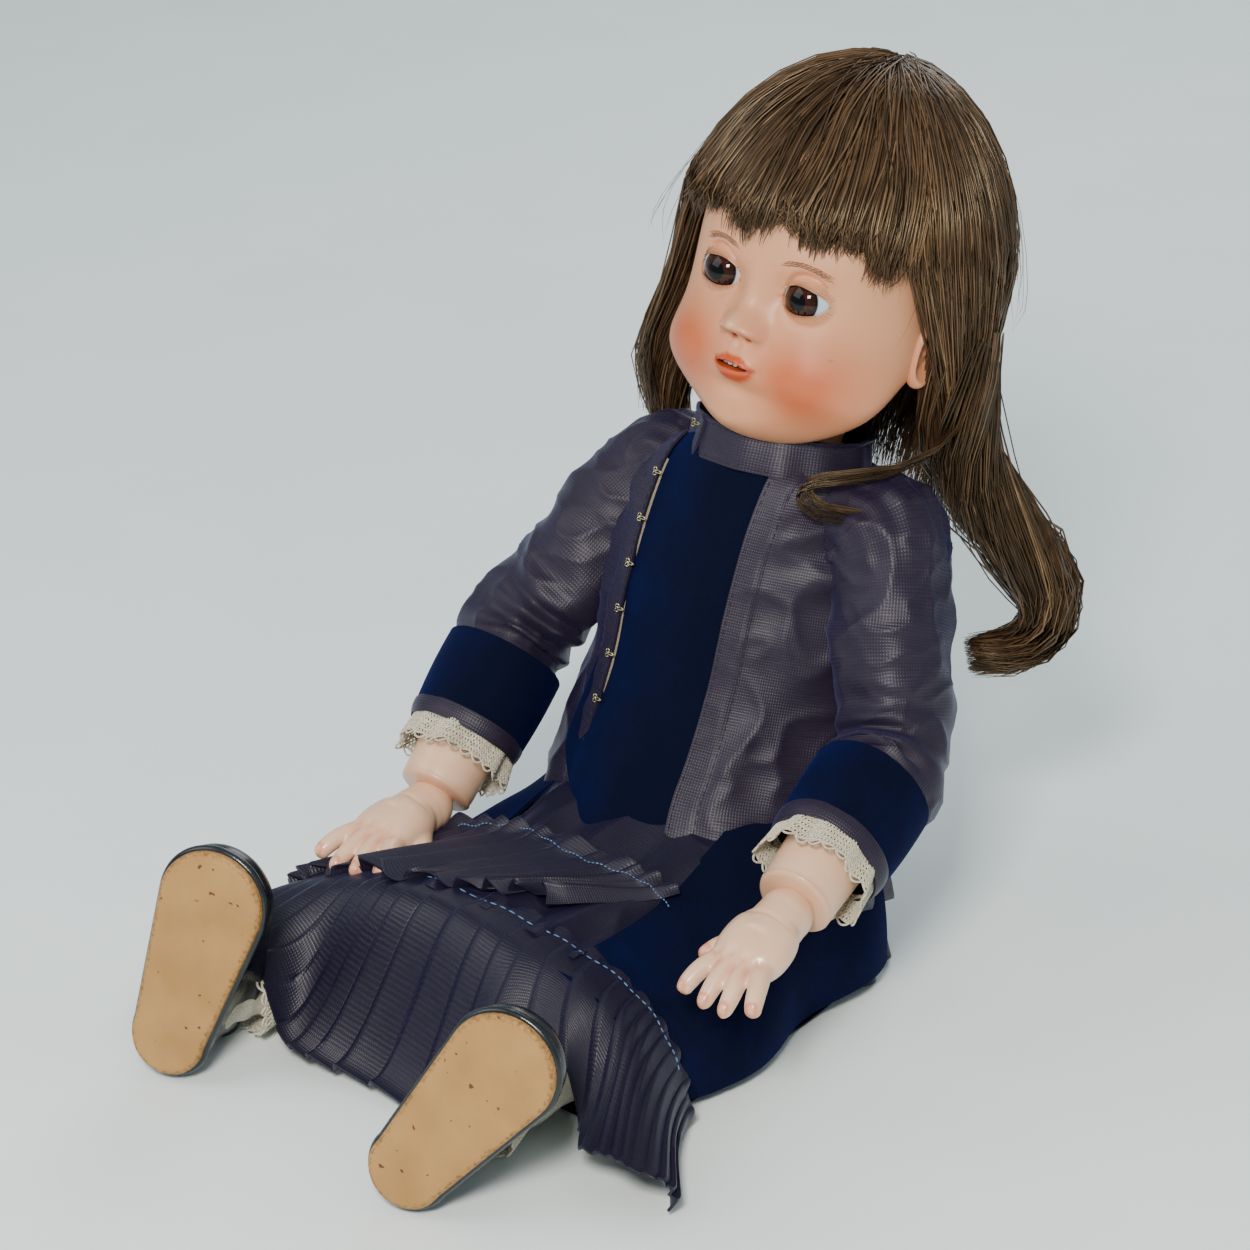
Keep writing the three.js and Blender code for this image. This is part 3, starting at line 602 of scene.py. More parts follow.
def tint(piece: bpy.types.Object, colours: Array) -> None:
    """Keeps a linear colour for each point of a piece as its Tint attribute.

    Args:
        piece: The piece.
        colours: A linear colour for each point.
    """
    layer = piece.data.color_attributes.new("Tint", "FLOAT_COLOR", "POINT")
    full = np.ones((len(colours), 4))
    full[:, :3] = colours
    layer.data.foreach_set("color", full.ravel())


# ------------------------------------------------------------------ finishes
def linear(code: str) -> tuple[float, float, float, float]:
    """An sRGB hex colour as linear light, with full alpha."""
    parts = [int(code.lstrip("#")[i : i + 2], 16) / 255 for i in (0, 2, 4)]
    rgb = [c / 12.92 if c <= 0.04045 else ((c + 0.055) / 1.055) ** 2.4 for c in parts]
    return (*rgb, 1.0)


def rgb(code: str) -> Array:
    """An sRGB hex colour as a linear array of three."""
    return np.array(linear(code)[:3])


def add(
    tree: bpy.types.NodeTree, kind: str, links: Optional[dict] = None, **settings: object
) -> bpy.types.Node:
    """Adds a node, sets its properties, and feeds its inputs with sockets or values.

    Args:
        tree: The material's node tree.
        kind: The node's type, without the ShaderNode that all begin with.
        links: Input name or number to an output socket or a value.
        settings: The node's own properties.

    Returns:
        The node.
    """
    node = tree.nodes.new("ShaderNode" + kind)
    for key, value in settings.items():
        setattr(node, key, value)
    for key, value in (links or {}).items():
        if isinstance(value, bpy.types.NodeSocket):
            tree.links.new(value, node.inputs[key])
        else:
            node.inputs[key].default_value = value
    return node


def ramp(
    tree: bpy.types.NodeTree, source: bpy.types.NodeSocket, stops: Sequence[tuple[float, str]]
) -> bpy.types.NodeSocket:
    """A colour ramp of (place, hex colour) stops, fed by a socket; returns its colour socket.

    Args:
        tree: The material's node tree.
        source: The socket that feeds it.
        stops: Each stop's place and colour.

    Returns:
        The ramp's colour socket.
    """
    node = add(tree, "ValToRGB", {"Fac": source})
    marks = node.color_ramp.elements
    while len(marks) < len(stops):
        marks.new(0.5)
    for mark, (place, code) in zip(marks, stops):
        mark.position = place
        mark.color = linear(code)
    return node.outputs["Color"]


@dataclass(frozen=True)
class Finish:
    """A finish: every material starts as one principled shader on one output."""

    name: str
    roughness: float = 0.5
    metallic: float = 0.0
    ior: float = 1.5

    def start(self) -> tuple[bpy.types.Material, bpy.types.NodeTree, bpy.types.Node]:
        """A new material with only its shader and output."""
        material = bpy.data.materials.new(self.name)
        material.use_nodes = True
        tree = material.node_tree
        tree.nodes.clear()
        shader = add(
            tree,
            "BsdfPrincipled",
            {"Roughness": self.roughness, "Metallic": self.metallic, "IOR": self.ior},
        )
        add(tree, "OutputMaterial", {"Surface": shader.outputs["BSDF"]})
        return material, tree, shader


def tune(shader: bpy.types.Node, values: dict) -> None:
    """Sets the shader's own sockets by name.

    Args:
        shader: The shader.
        values: Socket name to value.
    """
    for key, value in values.items():
        shader.inputs[key].default_value = value


def grain(
    tree: bpy.types.NodeTree, where: bpy.types.NodeSocket, size_mm: float, detail: float = 2
) -> bpy.types.NodeSocket:
    """Noise whose features are size_mm across; returns its value socket.

    Args:
        tree: The material's node tree.
        where: The coordinates.
        size_mm: How large a feature is.
        detail: How many finer layers it has.

    Returns:
        The noise's value socket.
    """
    node = add(tree, "TexNoise", {"Vector": where, "Scale": 1000 / size_mm, "Detail": detail})
    return node.outputs["Fac"]


def relief(
    tree: bpy.types.NodeTree, shader: bpy.types.Node, height: bpy.types.NodeSocket, depth_mm: float,
    strength: float = 1.0,
) -> None:
    """Raises the shader's surface by height times depth_mm.

    Args:
        tree: The material's node tree.
        shader: The shader.
        height: The socket with the height.
        depth_mm: How deep the relief is.
        strength: How strongly it shows.
    """
    node = add(
        tree, "Bump", {"Height": height, "Distance": depth_mm * MM, "Strength": strength}
    )
    tree.links.new(node.outputs["Normal"], shader.inputs["Normal"])


@dataclass(frozen=True)
class Bisque(Finish):
    """Tinted bisque: unglazed porcelain fired with china paint, so a fine silky skin, not a glaze."""

    def make(self) -> bpy.types.Material:
        """Builds the material; its colour is the piece's Tint."""
        material, tree, shader = self.start()
        where = add(tree, "TexCoord").outputs["Object"]
        colour = add(tree, "Attribute", attribute_name="Tint").outputs["Color"]
        cloud = grain(tree, where, 14, 3)
        warm = add(
            tree, "MixRGB", {"Fac": 0.10, "Color1": colour, "Color2": cloud}, blend_type="SOFT_LIGHT"
        )
        tree.links.new(warm.outputs["Color"], shader.inputs["Base Color"])
        tune(
            shader,
            {
                "Subsurface Weight": 0.12, "Subsurface Radius": (1.0, 0.45, 0.25),
                "Subsurface Scale": 2.0 * MM, "Specular IOR Level": 0.5,
            },
        )
        # the biscuit's own pores are about 0.1 mm, drawn at 0.35 mm so that they show
        relief(tree, shader, grain(tree, where, 0.35, 1), 0.006)
        return material


@dataclass(frozen=True)
class Composition(Finish):
    """Flesh-painted sawdust composition under varnish: an even, warm shine with brush ripples."""

    def make(self) -> bpy.types.Material:
        """Builds the material; its colour is the piece's Tint."""
        material, tree, shader = self.start()
        where = add(tree, "TexCoord").outputs["Object"]
        colour = add(tree, "Attribute", attribute_name="Tint").outputs["Color"]
        cloud = grain(tree, where, 9, 3)
        warm = add(
            tree, "MixRGB", {"Fac": 0.16, "Color1": colour, "Color2": cloud}, blend_type="SOFT_LIGHT"
        )
        tree.links.new(warm.outputs["Color"], shader.inputs["Base Color"])
        tune(
            shader,
            {
                "Subsurface Weight": 0.06, "Subsurface Radius": (1.0, 0.4, 0.2),
                "Subsurface Scale": 1.5 * MM, "Coat Weight": 0.35, "Coat Roughness": 0.16,
            },
        )
        relief(tree, shader, grain(tree, where, 3.0, 3), 0.06)
        return material


@dataclass(frozen=True)
class Silk(Finish):
    """Changeable silk taffeta: aubergine one way, violet blue the other, with slubs in the weft."""

    face: str = "#31283b"
    turned: str = "#1c1e4c"
    thread_mm: float = 0.55

    def make(self) -> bpy.types.Material:
        """Builds the material; its weave follows the piece's UV map, which is in metres."""
        material, tree, shader = self.start()
        where = add(tree, "UVMap").outputs["UV"]
        # real threads are 0.25 mm, drawn at thread_mm so that the weave shows
        warp, weft = (
            add(
                tree, "TexWave",
                {"Vector": where, "Scale": 1000 / self.thread_mm / 6.28, "Distortion": 0.8},
                wave_type="BANDS", bands_direction=way,
            ).outputs["Fac"]
            for way in ("X", "Y")
        )
        weave = add(tree, "Math", {0: warp, 1: weft}, operation="MULTIPLY").outputs[0]
        drawn = add(tree, "Mapping", {"Vector": where, "Scale": (0.09, 1.0, 1.0)}).outputs[0]
        slub = grain(tree, drawn, 0.9, 3)
        cloud = grain(tree, where, 22, 3)
        turn = add(tree, "LayerWeight", {"Blend": 0.42}).outputs["Facing"]
        mixed = add(tree, "Math", {0: turn, 1: cloud}, operation="MULTIPLY_ADD")
        mixed.inputs[2].default_value = -0.12
        base = ramp(tree, mixed.outputs[0], [(0.0, self.face), (0.55, self.turned)])
        thread = ramp(tree, slub, [(0.30, "#35313f"), (0.52, "#6e6874"), (0.76, "#b4a8a4")])
        dyed = add(
            tree, "MixRGB", {"Fac": 0.42, "Color1": base, "Color2": thread}, blend_type="OVERLAY"
        ).outputs["Color"]
        shade = ramp(tree, weave, [(0.0, "#b8b8bc"), (0.6, "#ffffff")])
        cloth = add(
            tree, "MixRGB", {"Fac": 0.55, "Color1": dyed, "Color2": shade}, blend_type="MULTIPLY"
        ).outputs["Color"]
        tree.links.new(cloth, shader.inputs["Base Color"])
        tune(
            shader,
            {
                "Sheen Weight": 0.16, "Sheen Roughness": 0.35, "Sheen Tint": linear("#7d7cb4"),
                "Specular IOR Level": 0.28,
            },
        )
        both = add(tree, "Math", {0: weave, 1: slub}, operation="ADD").outputs[0]
        relief(tree, shader, both, 0.10, 0.9)
        return material


@dataclass(frozen=True)
class Velvet(Finish):
    """Cotton velvet: its upright pile is painted darkest straight on and brighter along its edges, as a
    painted sheen.
    """

    pile: str = "#050a22"
    glow: str = "#091345"

    def make(self) -> bpy.types.Material:
        """Builds the material."""
        material, tree, shader = self.start()
        where = add(tree, "TexCoord").outputs["Object"]
        turn = add(tree, "LayerWeight", {"Blend": 0.5}).outputs["Facing"]
        brushed = grain(tree, where, 16, 3)
        pile = grain(tree, where, 0.5, 2)
        both = add(tree, "Math", {0: turn, 1: brushed}, operation="MULTIPLY").outputs[0]
        # painted sheen: the colour brightens from the pile's towards the edges as they turn away
        base = ramp(tree, both, [(0.05, self.pile), (0.5, self.glow)])
        fluff = ramp(tree, pile, [(0.35, "#b0b0b8"), (0.65, "#ffffff")])
        cloth = add(
            tree, "MixRGB", {"Fac": 0.6, "Color1": base, "Color2": fluff}, blend_type="MULTIPLY"
        ).outputs["Color"]
        tree.links.new(cloth, shader.inputs["Base Color"])
        tune(
            shader,
            {
                "Sheen Weight": 0.34, "Sheen Roughness": 0.3, "Sheen Tint": linear("#14286e"),
                "Specular IOR Level": 0.08,
            },
        )
        relief(tree, shader, pile, 0.12)
        return material


@dataclass(frozen=True)
class Cotton(Finish):
    """Knitted or crocheted cotton: dull, a little fluffy, every stitch throwing its own shadow."""

    colour: str = "#d9d2bc"
    stitch_mm: float = 0.9

    def make(self) -> bpy.types.Material:
        """Builds the material."""
        material, tree, shader = self.start()
        where = add(tree, "TexCoord").outputs["Object"]
        cell = add(
            tree, "TexVoronoi", {"Vector": where, "Scale": 1000 / self.stitch_mm}
        ).outputs["Distance"]
        cloud = grain(tree, where, 10, 2)
        dark = ramp(tree, cell, [(0.0, "#ffffff"), (0.75, "#a89f8a")])
        base = add(
            tree, "MixRGB", {"Fac": 0.5, "Color1": linear(self.colour), "Color2": dark},
            blend_type="MULTIPLY",
        ).outputs["Color"]
        aged = add(
            tree, "MixRGB", {"Fac": 0.25, "Color1": base, "Color2": cloud}, blend_type="SOFT_LIGHT"
        ).outputs["Color"]
        tree.links.new(aged, shader.inputs["Base Color"])
        tune(shader, {"Sheen Weight": 0.3})
        turned = add(tree, "Math", {0: 1.0, 1: cell}, operation="SUBTRACT").outputs[0]
        relief(tree, shader, turned, 0.25)
        return material


@dataclass(frozen=True)
class Leather(Finish):
    """Dressed calf leather: pores and short creases under a wax shine."""

    colour: str = "#0f1216"
    light: str = "#20262c"
    pore_mm: float = 0.6

    def make(self) -> bpy.types.Material:
        """Builds the material."""
        material, tree, shader = self.start()
        where = add(tree, "TexCoord").outputs["Object"]
        pores = add(
            tree, "TexVoronoi", {"Vector": where, "Scale": 1000 / self.pore_mm},
            feature="DISTANCE_TO_EDGE",
        ).outputs["Distance"]
        cloud = grain(tree, where, 12, 4)
        base = ramp(tree, cloud, [(0.35, self.colour), (0.7, self.light)])
        tree.links.new(base, shader.inputs["Base Color"])
        wear = ramp(tree, cloud, [(0.3, "#5a5a5a"), (0.75, "#9a9a9a")])
        tree.links.new(wear, shader.inputs["Roughness"])
        relief(tree, shader, pores, 0.05)
        return material


@dataclass(frozen=True)
class SoleLeather(Finish):
    """Vegetable-tanned sole leather: flat tan, faint clouds, a few dark specks and edge rubs."""

    def make(self) -> bpy.types.Material:
        """Builds the material; its Shade is 1 along the rubbed edge."""
        material, tree, shader = self.start()
        where = add(tree, "TexCoord").outputs["Object"]
        cloud = grain(tree, where, 20, 4)
        base = ramp(tree, cloud, [(0.3, "#9d7541"), (0.7, "#ad844f")])
        speck = grain(tree, where, 3.2, 1)
        spots = ramp(tree, speck, [(0.0, "#ffffff"), (0.735, "#ffffff"), (0.75, "#6b5136")])
        speckled = add(
            tree, "MixRGB", {"Fac": 0.85, "Color1": base, "Color2": spots}, blend_type="MULTIPLY"
        ).outputs["Color"]
        edge = add(tree, "Attribute", attribute_name="Shade").outputs["Fac"]
        scuffs = grain(tree, where, 1.4, 3)
        rub = add(tree, "Math", {0: edge, 1: scuffs}, operation="MULTIPLY").outputs[0]
        worn = ramp(tree, rub, [(0.40, "#ffffff"), (0.75, "#9a7c55")])
        tanned = add(
            tree, "MixRGB", {"Fac": 0.9, "Color1": speckled, "Color2": worn}, blend_type="MULTIPLY"
        ).outputs["Color"]
        tree.links.new(tanned, shader.inputs["Base Color"])
        tune(shader, {"Specular IOR Level": 0.3})
        relief(tree, shader, grain(tree, where, 0.7, 2), 0.02)
        return material


@dataclass(frozen=True)
class Hair(Finish):
    """Brown hair: dark roots, strands of random shades, the golden ones painted highlights, and a long soft
    gleam.
    """

    dark: str = "#1f160f"
    middle: str = "#402f21"
    light: str = "#745940"

    def make(self) -> bpy.types.Material:
        """Builds the material; each strand's own Shade picks its colour."""
        material, tree, shader = self.start()
        where = add(tree, "TexCoord").outputs["Object"]
        shade = add(tree, "Attribute", attribute_name="Shade").outputs["Fac"]
        along = grain(tree, where, 9, 2)
        both = add(tree, "MixRGB", {"Fac": 0.3, "Color1": shade, "Color2": along}).outputs["Color"]
        # each strand's random shade picks its colour; the golden top stop, which few strands reach, is a
        # painted highlight standing for glints
        base = ramp(
            tree, both, [(0.15, self.dark), (0.45, self.middle), (0.76, self.light), (0.94, "#b0906a")]
        )
        tree.links.new(base, shader.inputs["Base Color"])
        tune(shader, {"Specular IOR Level": 0.75, "Specular Tint": linear("#e0cca8")})
        return material


@dataclass(frozen=True)
class Plain(Finish):
    """A finish with a mottled colour and a fine tooth, for small or hidden pieces."""

    low: str = "#808080"
    high: str = "#a0a0a0"
    patch_mm: float = 4.0
    tooth_mm: float = 0.5
    depth_mm: float = 0.02

    def make(self) -> bpy.types.Material:
        """Builds the material."""
        material, tree, shader = self.start()
        where = add(tree, "TexCoord").outputs["Object"]
        base = ramp(tree, grain(tree, where, self.patch_mm, 3), [(0.3, self.low), (0.7, self.high)])
        tree.links.new(base, shader.inputs["Base Color"])
        relief(tree, shader, grain(tree, where, self.tooth_mm, 2), self.depth_mm)
        return material


@dataclass(frozen=True)
class Wood(Finish):
    """Turned limewood under flesh paint that has worn: long pale grain."""

    def make(self) -> bpy.types.Material:
        """Builds the material."""
        material, tree, shader = self.start()
        where = add(tree, "TexCoord").outputs["Object"]
        rings = add(
            tree, "TexWave", {"Vector": where, "Scale": 1000 / 14, "Distortion": 5.0, "Detail": 3},
            wave_type="BANDS",
        ).outputs["Fac"]
        base = ramp(tree, rings, [(0.0, "#c39a72"), (1.0, "#dab692")])
        tree.links.new(base, shader.inputs["Base Color"])
        relief(tree, shader, rings, 0.04)
        return material


@dataclass(frozen=True)
class EyeGlass(Finish):
    """Blown glass eye: white under clear glass, a deep brown iris with fine spokes, black pupil."""

    def make(self) -> bpy.types.Material:
        """Builds the material; UV y is the distance from the iris's middle, and UV x goes round."""
        material, tree, shader = self.start()
        uv = add(tree, "UVMap").outputs["UV"]
        split = add(tree, "SeparateXYZ", {"Vector": uv})
        spokes = add(tree, "Mapping", {"Vector": uv, "Scale": (1.0, 0.12, 1.0)}).outputs[0]
        fibre = add(tree, "TexNoise", {"Vector": spokes, "Scale": 46.0, "Detail": 3}).outputs["Fac"]
        brown = ramp(tree, fibre, [(0.3, "#1d0a05"), (0.55, "#33150a"), (0.75, "#542712")])
        mask = ramp(
            tree,
            split.outputs["Y"],
            [
                (0.0, "#000000"), (0.27, "#050202"), (0.33, "#ffffff"), (0.52, "#d0d0d0"),
                (IRIS_SHARE, "#2a1a16"),
            ],
        )
        iris = add(
            tree, "MixRGB", {"Fac": 1.0, "Color1": brown, "Color2": mask}, blend_type="MULTIPLY"
        ).outputs["Color"]
        white = ramp(tree, split.outputs["Y"], [(0.62, "#aebcc4"), (1.0, "#c6d0d2")])
        edge = ramp(tree, split.outputs["Y"], [(IRIS_SHARE, "#000000"), (0.635, "#ffffff")])
        colour = add(
            tree, "MixRGB", {"Fac": edge, "Color1": iris, "Color2": white}
        ).outputs["Color"]
        tree.links.new(colour, shader.inputs["Base Color"])
        tune(shader, {"Specular IOR Level": 0.1, "Coat Weight": 0.35, "Coat Roughness": 0.02})
        return material


class Finishes:
    """Every finish of the doll, made once."""

    def __init__(self) -> None:
        """Makes the materials."""
        self.bisque = Bisque("bisque porcelain", 0.44).make()
        self.composition = Composition("varnished composition", 0.34).make()
        self.silk = Silk("changeable silk taffeta", 0.42).make()
        self.skirt = Silk("skirt silk taffeta", 0.4, face="#211c33", turned="#15163a").make()
        self.velvet = Velvet("navy cotton velvet", 0.9).make()
        self.crochet = Cotton("cream crochet cotton", 0.9).make()
        self.stocking = Cotton("cream knitted cotton", 0.9, colour="#cfcab6", stitch_mm=0.7).make()
        self.lining = Cotton("beige cotton lining", 0.9, colour="#a89c82", stitch_mm=0.6).make()
        self.leather = Leather("black calf leather", 0.38).make()
        self.ribbon = Leather("black silk ribbon", 0.5, colour="#08080a", light="#141418").make()
        self.sole = SoleLeather("tanned sole leather", 0.55).make()
        self.hair = Hair("brown mohair", 0.3).make()
        self.lash = Plain("brown china paint", 0.5, low="#3c2415", high="#573721").make()
        self.brow = Plain("light brown china paint", 0.5, low="#6d452b", high="#875a3a").make()
        self.glass = EyeGlass("blown glass eye", 0.06, ior=1.52).make()
        self.enamel = Plain("white glazed bisque", 0.16, low="#e6e2d8", high="#f4f1ea").make()
        # painted shade: the hollow seen through the parted lips is near black
        self.mouth = Plain("dark inside of the head", 0.9, low="#070303", high="#120706").make()
        self.brass = Plain("tinned brass wire", 0.3, 1.0, low="#8f8266", high="#d0c49e").make()
        self.steel = Plain("bright steel wire", 0.32, 1.0, low="#8a8a8c", high="#b4b4b4").make()
        self.lead = Plain("cast lead", 0.6, 0.9, low="#4c4e52", high="#6a6c70").make()
        self.cork = Plain("cork board", 0.9, low="#8a6238", high="#b88e5c", patch_mm=1.5).make()
        self.wood = Wood("painted limewood", 0.5).make()
        self.elastic = Plain("covered elastic", 0.8, low="#b9a98e", high="#d8cab0").make()
        self.blue_thread = Plain("light blue thread", 0.7, low="#3d5c86", high="#6284ac").make()
        self.dark_thread = Plain("dark thread", 0.8, low="#16121c", high="#241e2c").make()


# ------------------------------------------------------------------ the head
@dataclass
class Face:
    """The bisque head, in the head's own frame: -Y is the way it faces and z is up."""

    eye_x: float = 19.0
    eye_y: float = -35.0
    eye_z: float = 60.0
    eye_half_width: float = 8.8
    eye_outer: float = 1.6
    eye_up: float = 5.8
    eye_down: float = 5.0
    ball: float = 10.8
    skin: float = 0.8
    gap_half_width: float = 6.9
    mouth_z: float = 29.5
    mouth_half_width: float = 9.6
    middle: tuple[float, float, float] = (0.0, 3.0, 62.0)
    columns: int = 232
    rings: int = 150

    def form(self, way: Array) -> Array:
        """The modelled surface in each direction from the middle, before the eyes are cut."""
        x0, y0, z0 = self.middle
        side, ahead, up = way[:, 0], -way[:, 1], way[:, 2]
        high, low = 66.0, 65.0
        half = np.where(ahead > 0, 50.0, 49.0)
        lift = np.where(up > 0, high, low)
        power = np.where(up > 0, 2.6, 3.3)
        level = (np.abs(side / 49.5) ** 2.25 + np.abs(ahead / half) ** 2.25) ** (1 / 2.25)
        size = (level**power + np.abs(up / lift) ** power) ** (-1 / power)
        x, y, z = side * size + x0, -ahead * size + y0, up * size + z0
        front = smooth(0.0, 0.45, ahead)
        # the back of the skull rounds in above the neck
        back = smooth(0.1, 0.8, -ahead) * smooth(44, 6, z)
        y = y - back * 14
        out = self.relief(x, z)
        y = y - front * out
        x = x + front * 6.4 * np.sign(x) * bump(np.abs(x), z, 40, 22, 15, 16)
        # the jaw rises from the chin to the lobe
        z = z + 23.0 * smooth(-30, 8, y) * smooth(48, 2, z)
        return np.column_stack([x, y, z])

    def relief(self, x: Array, z: Array) -> Array:
        """How far each feature of the face stands out of the plain form.

        Args:
            x: How far across the head, in millimetres.
            z: How high on it, in millimetres.

        Returns:
            How far it stands out, in millimetres.
        """
        ax = np.abs(x)
        out = 4.6 * bump(ax, z, 26, 28, 13, 14)
        out += 11.0 * bump(ax, z, 0, 5, 19, 11.5) - 1.0 * bump(ax, z, 0, 11.0, 2.4, 2.4)
        out -= 2.0 * bump(ax, z, 0, 20.0, 10, 2.8)
        out += 6.0 * bump(ax, z, 0, 29.5, 12, 9)
        # nose: bridge, tip, wings and the shadow under them
        bridge = np.exp(-((ax / (4.4 + 0.10 * np.clip(60 - z, 0, 30))) ** 2))
        rise = np.clip((72 - z) / 29, 0, 1) ** 1.7
        out += bridge * (0.9 + 4.6 * rise) * smooth(40.5, 45.0, z) * smooth(82, 66, z)
        out += 7.4 * bump(ax, z, 0, 46.4, 6.2, 4.6)
        out += 5.2 * bump(ax, z, 7.0, 43.8, 3.3, 3.2)
        out -= 1.5 * bump(ax, z, 10.6, 44.0, 1.8, 3.8)
        out -= 2.6 * bump(ax, z, 3.4, 40.6, 1.8, 1.0)
        # philtrum
        out -= 0.7 * bump(ax, z, 0, 37.4, 1.3, 2.2) - 0.4 * bump(ax, z, 2.4, 37.4, 1.0, 2.2)
        # eye hollows, brow and forehead
        out -= 4.4 * bump(ax, z, self.eye_x, self.eye_z + 0.5, 10.5, 8.5)
        out -= 1.8 * bump(ax, z, 9.5, 59, 4.0, 7)
        out += 1.2 * bump(ax, z, 19, 73, 13, 6)
        out += 1.6 * bump(ax, z, 0, 92, 26, 20)
        out += self.lips(x, z)
        return out

    def lips(self, x: Array, z: Array) -> Array:
        """The lips: a bowed upper one and a full lower one.

        Args:
            x: How far across the head, in millimetres.
            z: How high on it, in millimetres.

        Returns:
            How far they stand out, in millimetres.
        """
        ax, zz = np.abs(x), z - self.mouth_z
        wide = np.clip(ax / self.mouth_half_width, 0, 1)
        seam = self.seam(ax)
        upper_top = self.upper_edge(ax)
        lower_end = self.lower_edge(ax)
        up = np.clip((zz - seam) / np.maximum(upper_top - seam, 0.2), 0, 1)
        down = np.clip((seam - zz) / np.maximum(seam - lower_end, 0.2), 0, 1)
        fall = (1 - wide**2.4) * (ax < self.mouth_half_width)
        above = 2.1 * np.sin(np.pi * np.clip(up * 0.86 + 0.14, 0, 1)) * (zz >= seam) * (up < 1)
        below = 2.9 * np.sin(np.pi * np.clip(down * 0.84 + 0.16, 0, 1)) * (zz < seam) * (down < 1)
        pocket = -1.0 * bump(ax, zz, self.mouth_half_width + 0.6, 0.2, 1.3, 1.3)
        return (above + below) * fall + pocket

    def seam(self, ax: Array) -> Array:
        """The height of the line between the lips above the mouth's own height."""
        return 0.35 + 0.55 * np.cos(np.pi * np.clip(ax / self.mouth_half_width, 0, 1) * 1.25) * 0.6

    def upper_edge(self, ax: Array) -> Array:
        """The height of the upper lip's edge: a dip in the middle and a bow each side of it."""
        wide = np.clip(ax / self.mouth_half_width, 0, 1)
        return self.seam(ax) + (1 - wide**1.9) * 4.0 - 1.1 * np.exp(-((ax / 1.5) ** 2))

    def lower_edge(self, ax: Array) -> Array:
        """The height of the lower lip's edge."""
        wide = np.clip(ax / self.mouth_half_width, 0, 1)
        return self.seam(ax) - (1 - wide**2.2) * 6.2 - 0.5

    def lid(self, x: Array, z: Array) -> Array:
        """How far inside an eye's almond each point lies: below 1 is open.

        Args:
            x: How far across the head, in millimetres.
            z: How high on it, in millimetres.

        Returns:
            The share of the way from the eye's middle line to its edge.
        """
        u = np.abs(x) - self.eye_x
        w = z - self.eye_z - 0.05 * u
        across = np.clip(np.abs(u) / (self.eye_half_width + self.eye_outer * (u > 0)), 0, 3)
        up = self.eye_up * np.clip(1 - across**2, 0, 1) ** 0.62
        down = self.eye_down * np.clip(1 - across**2.2, 0, 1) ** 0.7
        edge = np.where(w > 0, up, down)
        return np.where(across < 1, np.abs(w) / np.maximum(edge, 0.35), 1 + across)

    def build(self, finishes: Finishes) -> bpy.types.Object:
        """Models the head, paints it and cuts its eyes and mouth."""
        piece = ball_of("bisque_head", self.columns, self.rings, self.spread, WORLD, "Y")
        points = self.with_lids(points_of(piece) / MM)
        put_points(piece, points)
        self.cut(piece)
        points = points_of(piece)
        tint(piece, self.paint(points))
        put_points(piece, HEAD.place(points))
        softened(piece, 40)
        return settle(piece, "head", finishes.bisque, ("head",))

    def spread(self, way: Array) -> Array:
        """Draws the form with its points gathered towards the face, where the detail is."""
        ahead = -way[:, 1]
        turn = np.arccos(np.clip(ahead, -1, 1)) / np.pi
        angle = turn**1.5 * np.pi
        flat = np.column_stack([way[:, 0], way[:, 2]])
        length = np.maximum(np.linalg.norm(flat, axis=1), 1e-9)
        flat = flat / length[:, None] * np.sin(angle)[:, None]
        return self.form(np.column_stack([flat[:, 0], -np.cos(angle), flat[:, 1]]))

    def with_lids(self, points: Array) -> Array:
        """Wraps the skin round each eye over its ball, so that the lids stand off the glass."""
        x, y, z = points.T
        inside = self.lid(x, z)
        facing = y < 0
        ball = self.ball + self.skin
        du, dz = np.abs(x) - self.eye_x, z - self.eye_z
        reach = np.clip(ball**2 - du**2 - dz**2, 0, None)
        skin = self.eye_y - np.sqrt(reach)
        near = smooth(2.2, 1.0, inside) * smooth(ball * 1.05, ball * 0.75, np.hypot(du, dz))
        y = np.where(facing & (reach > 0), np.minimum(y * (1 - near) + skin * near, skin), y)
        # the crease above the upper lid
        crease = np.exp(-(((inside - 1.75) / 0.22) ** 2)) * (dz > 0) * (np.abs(du) < 11)
        y = np.where(facing, y + 0.9 * crease, y)
        return np.column_stack([x, y, z])

    def cut(self, piece: bpy.types.Object) -> None:
        """Opens the eyes and the mouth through the skin, with crisp edges."""
        for side in Side:
            self.pocket(piece, self.almond(side.value), -20.0)
        self.pocket(piece, self.mouth_gap(), -36.0)

    def almond(self, side: int) -> Array:
        """The outline of one eye's opening, as x and z, running round it once."""
        turn = np.linspace(0, 2 * np.pi, 72, endpoint=False)
        u, w = np.cos(turn), np.sin(turn)
        up = self.eye_up * np.abs(w) ** 0.9 * (1 - 0.10 * u)
        down = -self.eye_down * np.abs(w) ** 0.9
        across = np.sign(u) * np.abs(u) ** 1.15 * (self.eye_half_width + self.eye_outer * (u > 0))
        tall = np.where(w > 0, up, down) + 0.05 * across
        return np.column_stack([side * (self.eye_x + across), self.eye_z + tall])

    def mouth_gap(self) -> Array:
        """The outline of the parted lips, as x and z."""
        turn = np.linspace(0, 2 * np.pi, 48, endpoint=False)
        x = self.gap_half_width * np.cos(turn)
        half = np.where(np.sin(turn) > 0, 1.15, 1.45) * np.sin(turn)
        return np.column_stack([x, self.mouth_z + self.seam(np.abs(x)) + half])

